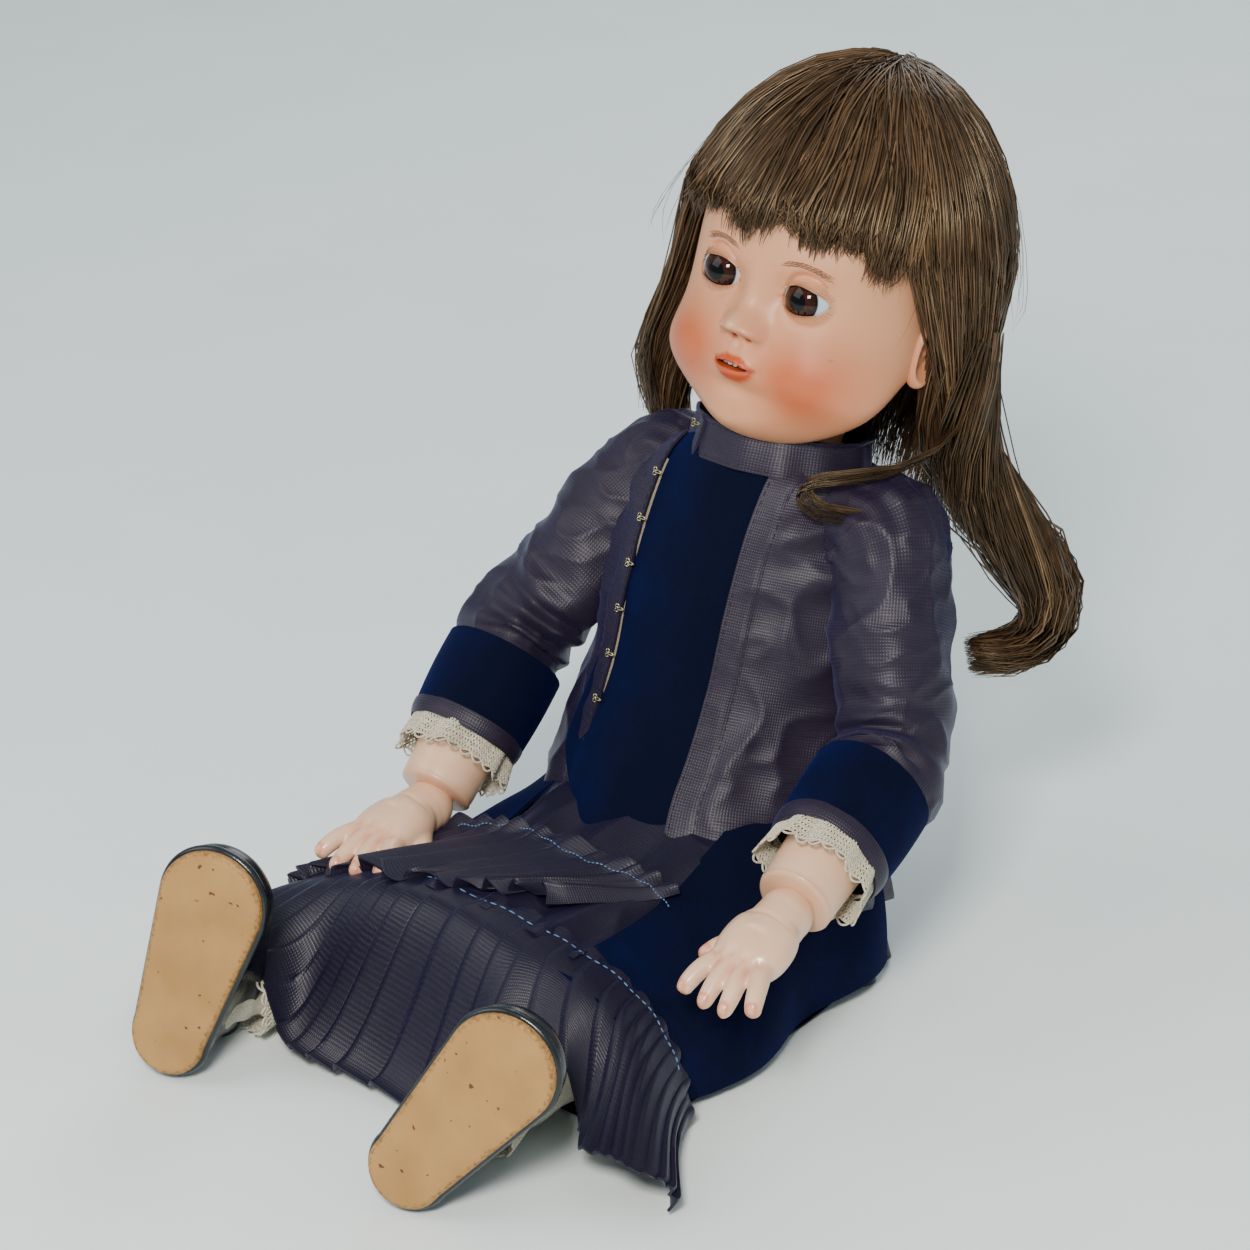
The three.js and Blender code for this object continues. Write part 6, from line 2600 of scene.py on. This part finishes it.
# ------------------------------------------------------------------ arms, hands, legs and shoes
def turned(
    name: str, profile: Sequence[Sequence[float]], rig: Rig, around: int, rings: int,
    ripple_of: Optional[Callable[[Array, Array], Array]] = None,
) -> bpy.types.Object:
    """A turned form along a limb, closed at both ends.

    Args:
        name: The piece's name.
        profile: Height and radius rows.
        rig: The limb's frame.
        around: Segments round.
        rings: Rings along.
        ripple_of: Extra radius at each angle and height.

    Returns:
        The piece.
    """
    low, high = profile[0][0], profile[-1][0]

    def shape(u: Array, v: Array) -> Array:
        """The profile swung round the limb's axis."""
        a = u * 2 * np.pi
        z = low + (high - low) * (0.5 - 0.5 * np.cos(np.pi * v))
        r = table(z, profile, 1)
        r = r + (ripple_of(a, z) if ripple_of else 0)
        return np.column_stack([r * np.cos(a), r * np.sin(a), z])

    piece = sheet_of(name, around, rings, shape, rig, ring=True, size=(90, high - low))
    cap_ends(piece)
    return softened(piece, 50)


@dataclass
class Arm:
    """One composition forearm and hand, and the wooden upper arm above it."""

    side: Side

    def __post_init__(self) -> None:
        """Finds the arm's frames."""
        word = self.side.word
        self.shoulder = joint_at(f"arm_swing_{word}")
        self.elbow = joint_at(f"elbow_{word}")
        self.wrist = joint_at(f"wrist_{word}")
        self.upper_rig = aimed(self.shoulder, self.elbow - self.shoulder)
        self.fore_rig = aimed(self.elbow, self.wrist - self.elbow)
        hand = {Side.RIGHT: (2, -46, -4), Side.LEFT: (4, -46, -14)}[self.side]
        self.hand_rig = aimed(self.wrist, np.array(hand, float))

    def build(self, finishes: Finishes) -> None:
        """Makes the arm's own pieces."""
        word = self.side.word
        fore = turned(
            f"smooth_forearm_{word}",
            [
                (11, 13.4), (14, 14.4), (26, 15.4), (42, 16.2), (56, 15.8), (68, 15.2), (75, 14.9),
                (76.8, 14.5), (77.4, 13.4),
            ],
            self.fore_rig, 96, 60, lambda a, z: -0.5 * np.cos(2 * a) * smooth(50, 76, z),
        )
        z = self.fore_rig.local(points_of(fore))[:, 2]
        shade = smooth(72, 78, z)[:, None] * 0.5
        tint(fore, rgb(COMPOSITION_SKIN) * (1 - shade) + rgb("#c08a68") * shade)
        settle(fore, f"forearm_{word}", finishes.composition, (f"forearm_{word}",))
        upper = turned(
            f"smooth_upper_arm_{word}",
            [(13, 13), (15, 15.2), (40, 15), (70, 13), (77, 11.6), (78, 10.5)], self.upper_rig, 64, 30,
        )
        settle(upper, f"upper_arm_{word}", finishes.wood, (f"upper_arm_{word}",))
        self.hand(finishes)

    def digits(self) -> list[tuple[Array, Array]]:
        """Each digit's knuckle line and its radii: four fingers, then the thumb."""
        s = self.side.value
        made = []
        lengths = (46.5, 50.5, 51.5, 47.0)
        splay = (1.62, 1.5, 1.5, 1.62)
        order = (-1.5, -0.5, 0.5, 1.5)
        for i, k in enumerate(order):
            tip = lengths[i if s > 0 else 3 - i]
            x = k * 6.3
            line = np.array(
                [
                    (x * 0.72, 0.6, 18.0),
                    (x * 0.95, 1.2, 29.0),
                    (x * splay[i] * 0.80, 1.1, 37.0),
                    (x * splay[i] * 0.93, -1.0, 43.5),
                    (x * splay[i], -4.2, tip),
                ]
            )
            made.append((line, np.array([4.6, 4.3, 3.75, 3.45, 2.7])))
        thumb = np.array(
            [
                (-s * 4.0, -2.0, 9.0), (-s * 10.5, -3.0, 16.5), (-s * 16.0, -3.6, 22.0),
                (-s * 20.2, -4.6, 28.0),
            ]
        )
        made.append((thumb, np.array([5.4, 4.9, 4.2, 3.0])))
        return made

    def hand(self, finishes: Finishes) -> None:
        """A chubby moulded hand: separate digits, fused and smoothed, with dimples and nails."""
        word, s = self.side.word, self.side.value
        pieces = []
        for i, (line, radii) in enumerate(self.digits()):
            t = np.linspace(0, 1, 26)
            centre = spline(line, t)
            r = table(t, [(k / (len(radii) - 1), v) for k, v in enumerate(radii)], 1)
            r = r * np.sqrt(np.clip(1 - np.clip((t - 0.90) / 0.10, 0, 1) ** 2, 0.05, 1))
            pieces.append(tube_of(f"digit_{i}", centre, r, 20, self.hand_rig))

        def palm(way: Array) -> Array:
            """The palm: a rounded pad, thicker at the thumb's ball."""
            p = np.sign(way) * np.abs(way) ** 0.86
            x, y, z = p.T
            thick = 8.3 + 1.4 * bump(x * 14 * -s, z * 16, 8, -4, 8, 9)
            deep = y * thick * 1.06 + 0.5 - 0.6 * z
            return np.column_stack([x * (14.4 + 0.9 * z), deep, z * 16.5 + 18.5])

        pieces.append(ball_of("palm", 40, 28, palm, self.hand_rig))
        pieces.append(ball_of("wrist_end", 40, 28, lambda way: way * 10.4, self.hand_rig))
        t = np.linspace(0, 1, 16)
        line = np.column_stack([0 * t, 0.2 * t, 3 + 15 * t])
        pieces.append(tube_of("wrist_neck", line, 10.4 + 0.5 * t, 28, self.hand_rig))
        piece = joined(f"smooth_hand_{word}", pieces)
        finish(
            piece,
            ("REMESH", {"mode": "VOXEL", "voxel_size": 0.72 * MM}),
            ("SMOOTH", {"factor": 0.6, "iterations": 7}),
        )
        points = self.mould(self.hand_rig.local(points_of(piece)))
        put_points(piece, self.hand_rig.place(points))
        tint(piece, self.paint(points))
        rounded(piece)
        settle(piece, f"hand_{word}", finishes.composition, (f"hand_{word}",))

    def nail(self, points: Array, line: Array) -> Array:
        """How much of each point lies in a digit's nail.

        Args:
            points: Places, in hand millimetres.
            line: The digit's line.

        Returns:
            A share from 0 to 1 for each.
        """
        end, before = line[-1], line[-2]
        way = unit(end - before)
        up = unit(np.array([0.0, 1.0, 0.0]) - way * way[1])
        side = np.cross(way, up)
        middle = end - way * 2.6 + up * 2.4
        d = points - middle
        return np.exp(-((d @ way / 2.5) ** 4) - (d @ side / 1.9) ** 4) * (d @ up > -1.6)

    def mould(self, points: Array) -> Array:
        """Presses in the knuckle dimples and the lines of the joints, and raises the nails."""
        x, y, z = points.T
        y = y.copy()
        for k in (-1.5, -0.5, 0.5, 1.5):
            y -= 0.8 * bump(x, z, k * 6.0, 30.0, 1.5, 1.7) * (y > 3)
        for line, _ in self.digits():
            on = self.nail(points, line)
            y += 0.22 * on
        y -= 0.5 * bump(x, z, 0, 10.4, 12, 1.0) * (y > 0)
        return np.column_stack([x, y, z])

    def paint(self, points: Array) -> Array:
        """Flesh, with warm lines of painted shade between the digits, red nails' edges, blushed knuckles
        and painted shade at the wrist end.
        """
        x, y, z = points.T
        colour = np.repeat(rgb(COMPOSITION_SKIN)[None], len(points), 0)

        def lay(code: str, amount: Array) -> None:
            """Lays a colour over what is there."""
            nonlocal colour
            amount = np.clip(amount, 0, 1)[:, None]
            colour = colour * (1 - amount) + rgb(code) * amount

        # painted shade between the fingers
        for k in (-1, 0, 1):
            lay("#c9714f", 0.6 * bump(x, z, k * 6.4, 34.5, 1.5, 3.6))
        for k in (-1.5, -0.5, 0.5, 1.5):
            lay("#d98a68", 0.38 * bump(x, z, k * 6.1, 31.0, 2.6, 2.4) * (y > 0))
        for line, _ in self.digits():
            on = self.nail(points, line)
            lay("#d0694a", 0.75 * np.clip(on * (1 - on) * 4, 0, 1))
            lay("#e0a184", 0.5 * on)
            lay("#d98a68", 0.35 * np.exp(-(np.linalg.norm(points - line[-1], axis=1) / 4.0) ** 2))
        # painted shade where the hand's wrist end sits in the forearm
        lay("#c99572", 0.35 * smooth(4, -2, z))
        return colour


@dataclass
class Leg:
    """One leg: wooden thigh, stocking, drawers' leg with lace, and a leather shoe."""

    side: Side
    sole_length: float = 94.0
    heel_r: float = 14.5
    toe_r: float = 20.5
    sole_thick: float = 3.0

    def __post_init__(self) -> None:
        """Finds the leg's frames; the shoe's turns are the way that the foot has fallen."""
        word = self.side.word
        right = self.side is Side.RIGHT
        self.hip = joint_at(f"leg_swing_{word}")
        self.knee = joint_at(f"knee_{word}")
        heel = (-88, -218) if right else (38, -229)
        yaw, tilt, roll = (math.radians(a) for a in ((20, -6, 17) if right else (17, -5, 37)))
        turn = Matrix.Rotation(yaw, 3, "Z") @ Matrix.Rotation(tilt, 3, "X")
        self.turn = np.array(turn @ Matrix.Rotation(roll, 3, "Y"))
        flat = Rig(np.array([heel[0], heel[1], 0.0]) * MM, self.turn)
        outline = self.outline(0.0, self.sole_length, 96)
        slab = np.vstack(
            [
                np.column_stack([outline[:, 0], np.full(len(outline), y), outline[:, 1]])
                for y in (0, self.sole_thick)
            ]
        )
        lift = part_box(f"shoe_sole_{word}")[0][2] - flat.place(slab)[:, 2].min()
        self.foot = Rig(flat.origin + np.array([0, 0, lift]), self.turn)
        self.ankle = self.foot.place(np.array([0, 30, 19]))
        self.line = self.ankle - self.knee
        self.shin_rig = aimed(self.knee, self.line)
        self.thigh_rig = aimed(self.hip, self.knee - self.hip)
        self.shin = float(np.linalg.norm(self.line)) / MM
        self.thigh = float(np.linalg.norm(self.knee - self.hip)) / MM

    def outline(self, inset: float, toe_end: float, count: int) -> Array:
        """The sole's outline: a heel circle and a toe circle with straight sides, evenly stepped.

        Args:
            inset: How far inside the sole's edge.
            toe_end: Where the toe ends.
            count: How many points.

        Returns:
            Points of x and z.
        """
        heel, toe = self.heel_r - inset, min(self.toe_r, toe_end / 2.6) - inset
        middle = toe_end - inset - toe
        lean = math.asin((toe - heel) / max(middle - self.heel_r, abs(toe - heel) + 0.1))
        a = math.pi - lean + np.linspace(0, 1, 60) * (math.pi + 2 * lean)
        b = -lean + np.linspace(0, 1, 60) * (math.pi + 2 * lean)
        ring = np.vstack(
            [
                np.column_stack([heel * np.cos(a), self.heel_r + heel * np.sin(a)]),
                np.column_stack([toe * np.cos(b), middle + toe * np.sin(b)]),
            ]
        )
        ring = np.vstack([ring, ring[:1]])
        far = np.concatenate([[0], np.cumsum(np.linalg.norm(np.diff(ring, axis=0), axis=1))])
        at = np.arange(count) / count * far[-1]
        return np.column_stack([np.interp(at, far, ring[:, 0]), np.interp(at, far, ring[:, 1])])

    def build(self, finishes: Finishes) -> None:
        """Makes the leg."""
        word = self.side.word
        thigh = turned(
            f"smooth_thigh_{word}",
            [
                (18, 20.6), (20, 22.0), (40, 20.5), (self.thigh - 16, 15.8), (self.thigh - 9, 13.4),
                (self.thigh - 8, 12),
            ],
            self.thigh_rig, 64, 40,
        )
        settle(thigh, f"thigh_{word}", finishes.wood, (f"thigh_{word}",))
        self.sole(finishes)
        self.upper(finishes)
        self.stocking(finishes)
        self.drawers(finishes)

    def sole(self, finishes: Finishes) -> None:
        """The tan sole, with a turned and rubbed edge."""
        word = self.side.word
        rings = [
            (0.0, 7.0), (0.0, 3.0), (0.0, 1.1), (0.35, 0.35), (1.0, 0.0), (2.6, 0.0),
            (self.sole_thick, 0.6),
        ]
        count = 180
        outlines = [self.outline(inset, self.sole_length, count) for _, inset in rings]

        def shape(u: Array, v: Array) -> Array:
            """From under the middle out to the edge and up."""
            k = np.rint(v * (len(rings) - 1)).astype(int)
            i = np.rint(u * count).astype(int) % count
            ring = np.array(outlines)[k, i]
            y = np.array([row[0] for row in rings])[k]
            return np.column_stack([ring[:, 0], y, ring[:, 1]])

        piece = sheet_of(f"tan_sole_{word}", count, len(rings) - 1, shape, self.foot, ring=True)
        cap_ends(piece)
        finish(piece, ("TRIANGULATE", {"quad_method": "BEAUTY"}))
        softened(piece, 40)
        local = self.foot.local(points_of(piece))
        near = np.zeros(len(local))
        for y, inset in rings:
            edge = self.outline(inset, self.sole_length, count)
            d = ((local[:, None, [0, 2]] - edge[None]) ** 2).sum(2).min(1)
            here = (d < 0.05) & (np.abs(local[:, 1] - y) < 0.02)
            near = np.where(here, 1.0 if inset < 2 else 0.35 * (inset < 4), near)
        shaded(piece, near)
        settle(piece, f"shin_{word}", finishes.sole, (f"shoe_sole_{word}",))

    def upper(self, finishes: Finishes) -> None:
        """The black upper, its welt, the bound top edge and the ribbon bow."""
        word = self.side.word
        rows = [
            (3.35, 0.9, 94.0), (12, 0.4, 94.0), (19, 1.4, 88), (26, 2.2, 73), (33, 1.6, 55), (39, 0.8, 47),
        ]
        count, levels = 150, 36
        heights = np.linspace(3.35, 39, levels + 1)
        ease, toes = table(heights, rows, 1), table(heights, rows, 2)
        outlines = np.array([self.outline(e, t, count) for e, t in zip(ease, toes)])

        def shape(u: Array, v: Array) -> Array:
            """Round the foot and up to the opening."""
            k = np.rint(v * levels).astype(int)
            ring = outlines[k, np.rint(u * count).astype(int) % count]
            y = heights[k]
            soft = 0.35 * ripple(np.column_stack([ring[:, 0], y, ring[:, 1]]), 9, 3)
            x, z = ring[:, 0] * (1 + 0.006 * soft), ring[:, 1] + 0.3 * soft
            return np.column_stack([x, y + 0.4 * soft, z])

        piece = sheet_of(f"leather_upper_{word}", count, levels, shape, self.foot, ring=True)
        cloth(piece, 1.3)
        settle(piece, f"shin_{word}", finishes.leather, (f"shoe_upper_{word}",))
        trims = []
        for name, inset, toe, points, y, radius, sides in (
            ("welt", 0.2, self.sole_length, 121, 4.4, 1.75, 12), ("top_binding", 0.8, 47, 91, 39.0, 1.1, 10)
        ):
            edge = self.outline(inset, toe, points)
            closed = np.vstack([edge, edge[:1]])
            line = np.column_stack([closed[:, 0], np.full(len(closed), y), closed[:, 1]])
            trims.append(
                tube_of(f"{name}_{word}", line, np.full(len(line), radius), sides, self.foot)
            )
        rim = joined(f"shoe_trim_{word}", trims)
        softened(rim, 70)
        settle(rim, f"shin_{word}", finishes.leather)
        self.bow(finishes)

    def bow(self, finishes: Finishes) -> None:
        """A ribbon bow on the instep: two loops, two tails and a knot."""
        word = self.side.word
        pieces = []
        for sx in (-1, 1):
            for loop in (True, False):

                def shape(u: Array, v: Array, sx: int = sx, loop: bool = loop) -> Array:
                    """A ribbon along a loop or a tail."""
                    w = (u - 0.5) * 6.0
                    if loop:
                        a = v * 2 * np.pi
                        x = sx * (6.4 - 6.4 * np.cos(a))
                        y = 26.3 + 2.3 * np.sin(a) + 0.4
                        z = 70 + w * (0.45 + 0.55 * np.sin(a / 2)) + 0.8 * v
                        return np.column_stack([x, y, z])
                    x = sx * 11.0 * v
                    y = 25.2 - 3.2 * v + 0.5 * np.sin(v * 7)
                    return np.column_stack([x, y, 70 + w * (0.5 + 0.5 * v) + 7.5 * v])

                ribbon = sheet_of(f"ribbon_{sx}_{loop}", 8, 40, shape, self.foot)
                finish(ribbon, ("SOLIDIFY", {"thickness": 0.5 * MM, "offset": 0.0}))
                pieces.append(ribbon)

        def knot(way: Array) -> Array:
            """The pinched middle."""
            pinch = 1 + 0.18 * np.sin(way[:, 0] * 9)
            return way * np.array([2.6, 2.3, 3.4]) * pinch[:, None] + np.array([0, 26.4, 70])

        pieces.append(ball_of("knot", 24, 16, knot, self.foot))
        piece = joined(f"ribbon_bow_{word}", pieces)
        softened(piece, 60)
        settle(piece, f"shin_{word}", finishes.ribbon, (f"shoe_bow_{word}",))

    def stocking(self, finishes: Finishes) -> None:
        """The cream stocking from the calf into the shoe, with wrinkles at the ankle."""
        word = self.side.word
        length = self.shin

        def wrinkle(a: Array, z: Array) -> Array:
            """Rings of slack knit."""
            low = smooth(length * 0.45, length * 0.8, z)
            return low * (0.55 * np.sin(z / 1.5 + 1.3 * np.sin(a * 2)) + 0.6 * np.sin(z / 3.7 + a))

        piece = turned(
            f"knit_stocking_{word}",
            [
                (16, 16.6), (19, 17.4), (34, 17.6), (length * 0.62, 14.2), (length * 0.84, 12.4),
                (length - 4, 12.8), (length + 2, 11.0),
            ],
            self.shin_rig, 90, 110, wrinkle,
        )
        settle(piece, f"shin_{word}", finishes.stocking, (f"stocking_{word}",))
        dress(frame["nodes"][f"shin_{word}"], finishes.stocking)

    def drawers(self, finishes: Finishes) -> None:
        """The drawers' leg, and the eyelet lace at its hem."""
        word = self.side.word
        thigh = self.thigh
        end = thigh + self.shin - 26.0

        def shape(u: Array, v: Array) -> Array:
            """A loose tube along the whole leg."""
            a = u * 2 * np.pi
            z = 32 + (end - 32) * v
            r = table(z, [(30, 24), (thigh - 10, 19.4), (thigh + 34, 19.2), (end, 16.6)], 1)
            r = r + 0.5 * np.sin(a * 9 + v * 5) + 0.5 * np.sin(v * 38 + 2 * np.sin(a))
            return np.column_stack([r * np.cos(a), r * np.sin(a), z])

        rig = aimed(self.hip, self.ankle - self.hip)
        piece = sheet_of(f"cotton_drawers_{word}", 72, 64, shape, rig, ring=True, size=(120, 110))
        cloth(piece, 0.9)
        settle(piece, "", finishes.stocking, (f"drawers_leg_{word}",))
        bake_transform(piece)
        cut_cloth(piece)
        repeats, rows = 20, 4
        t = np.linspace(0, 2 * np.pi, repeats * 8 + 1)

        def at(a: Array, v: Array) -> Array:
            """A place on the lace: a flare past the hem."""
            r = 16.8 + 2.2 * v + 1.0 * np.sin(a * 6) * v
            return np.stack([r * np.cos(a), r * np.sin(a), end - 2 + 13 * v], -1)

        paths = [
            at(t, row / rows * 0.86 + 0.03 * np.sin(repeats * t + row * np.pi))
            for row in range(rows + 1)
        ]
        paths.append(at(t, 0.86 + 0.15 * np.abs(np.sin(repeats * t / 2))))
        for row in range(rows):
            paths.append(at(t, (row + 0.5 + 0.5 * np.sin(repeats * t * 2)) / rows * 0.86))
        lines = np.array(paths)
        widths, shades = np.full(lines.shape[:2], 0.5), np.full(len(lines), 0.5)
        lace = strands(f"eyelet_lace_{word}", lines, widths, shades, rig, 5)
        settle(lace, f"shin_{word}", finishes.crochet)


def dress(node: bpy.types.Object, material: bpy.types.Material) -> None:
    """Gives a CAD node a finish.

    Args:
        node: The node's object.
        material: The finish.
    """
    if not node.material_slots:
        node.data.materials.append(material)
    for slot in node.material_slots:
        slot.material = material


def dress_nodes(finishes: Finishes) -> None:
    """Gives each CAD node that stays its own finish."""
    flesh = Plain("flesh paint on composition", 0.4, low="#c99a7a", high="#d6aa8a", patch_mm=20).make()
    plan = {
        "pate": finishes.cork, "eye_rocker": finishes.lead, "torso": flesh, "neck_hook": finishes.steel,
        "leg_elastic": finishes.elastic, "arm_elastic": finishes.elastic,
    }
    for side in Side:
        for ball in ("shoulder_ball", "elbow_ball", "hip_ball", "knee_ball"):
            plan[f"{ball}_{side.word}"] = finishes.wood
    for name, material in plan.items():
        dress(frame["nodes"][name], material)


# ------------------------------------------------------------------ stage, lights and camera
@dataclass(frozen=True)
class Studio:
    """A pale floor, soft lights and the camera."""

    camera_at: tuple[float, float, float] = (0.8967, -1.1066, 0.7717)
    looking: tuple[float, float, float] = (-0.5916, 0.6959, -0.4071)
    lens_mm: float = 117.15
    sensor_mm: float = 36.0

    def build(self) -> None:
        """Sets up the whole stage."""
        self.camera()
        self.floor()
        self.light("lamp", (0.75, -1.25, 1.2), 0.34, 36.0, "#fffaf2")
        self.light("window", (-0.9, -1.2, 1.2), 1.2, 12.0, "#f4f7fb")
        self.light("back", (-0.5, 1.3, 1.3), 1.0, 12.0, "#f7f8fb")
        world = bpy.data.worlds.new("studio")
        world.use_nodes = True
        sky = world.node_tree.nodes["Background"]
        sky.inputs["Color"].default_value = linear("#d6e4e8")
        sky.inputs["Strength"].default_value = 0.58
        bpy.context.scene.world = world

    def camera(self) -> None:
        """The camera, level with the horizon."""
        data = bpy.data.cameras.new("camera")
        data.lens = self.lens_mm
        data.sensor_width = self.sensor_mm
        view = bpy.data.objects.new("camera", data)
        view.location = self.camera_at
        view.rotation_euler = Vector(self.looking).to_track_quat("-Z", "Y").to_euler()
        bpy.context.scene.collection.objects.link(view)
        bpy.context.scene.camera = view

    def floor(self) -> None:
        """A wide pale table that curves up into a backdrop."""

        def shape(u: Array, v: Array) -> Array:
            """Flat in front and rising behind."""
            run = v * 7.0 - 3.0
            bend = np.clip(run - 2.0, 0, None)
            turn = np.clip(bend, 0, 1.57)
            deep = np.minimum(run, 2.0) + np.sin(turn)
            tall = 1 - np.cos(turn) + np.clip(bend - 1.57, 0, None)
            return np.column_stack([(u - 0.5) * 9.0, deep, tall]) / MM

        piece = sheet_of("floor", 12, 60, shape)
        turn = Matrix.Rotation(math.radians(40.4), 4, "Z")
        piece.data.transform(turn)
        piece.data.transform(Matrix.Translation((0, 0, -0.0006)))
        rounded(piece)
        piece.data.materials.clear()
        piece.data.materials.append(
            Plain(
                "matt studio paper", 0.95, low="#ecf4f4", high="#f0f8f7", patch_mm=90, depth_mm=0.0
            ).make()
        )

    def light(self, name: str, at: Sequence[float], size: float, power: float, code: str) -> None:
        """One soft square light aimed at the doll.

        Args:
            name: The lamp's name.
            at: Where it stands, in metres.
            size: Its side, in metres.
            power: Its power, in watts.
            code: Its colour.
        """
        data = bpy.data.lights.new(name, "AREA")
        data.size = size
        data.energy = power
        data.color = linear(code)[:3]
        lamp = bpy.data.objects.new(name, data)
        lamp.location = at
        aim = Vector((0, -0.05, 0.17)) - Vector(at)
        lamp.rotation_euler = aim.to_track_quat("-Z", "Y").to_euler()
        bpy.context.scene.collection.objects.link(lamp)


def main() -> None:
    """Builds the doll."""
    logging.basicConfig(level=logging.INFO, format="%(message)s")
    finishes = Finishes()
    Studio().build()
    face = Face()
    face.build(finishes)
    Eyes(face).build(finishes)
    HeadParts().build(finishes)
    Wig().build(finishes)
    Jacket().build(finishes)
    for side in Side:
        Sleeve(side).build(finishes)
    for side in Side:
        Arm(side).build(finishes)
        Leg(side).build(finishes)
    Skirt().build(finishes)
    dress_nodes(finishes)


if __name__ == "__main__":
    main()
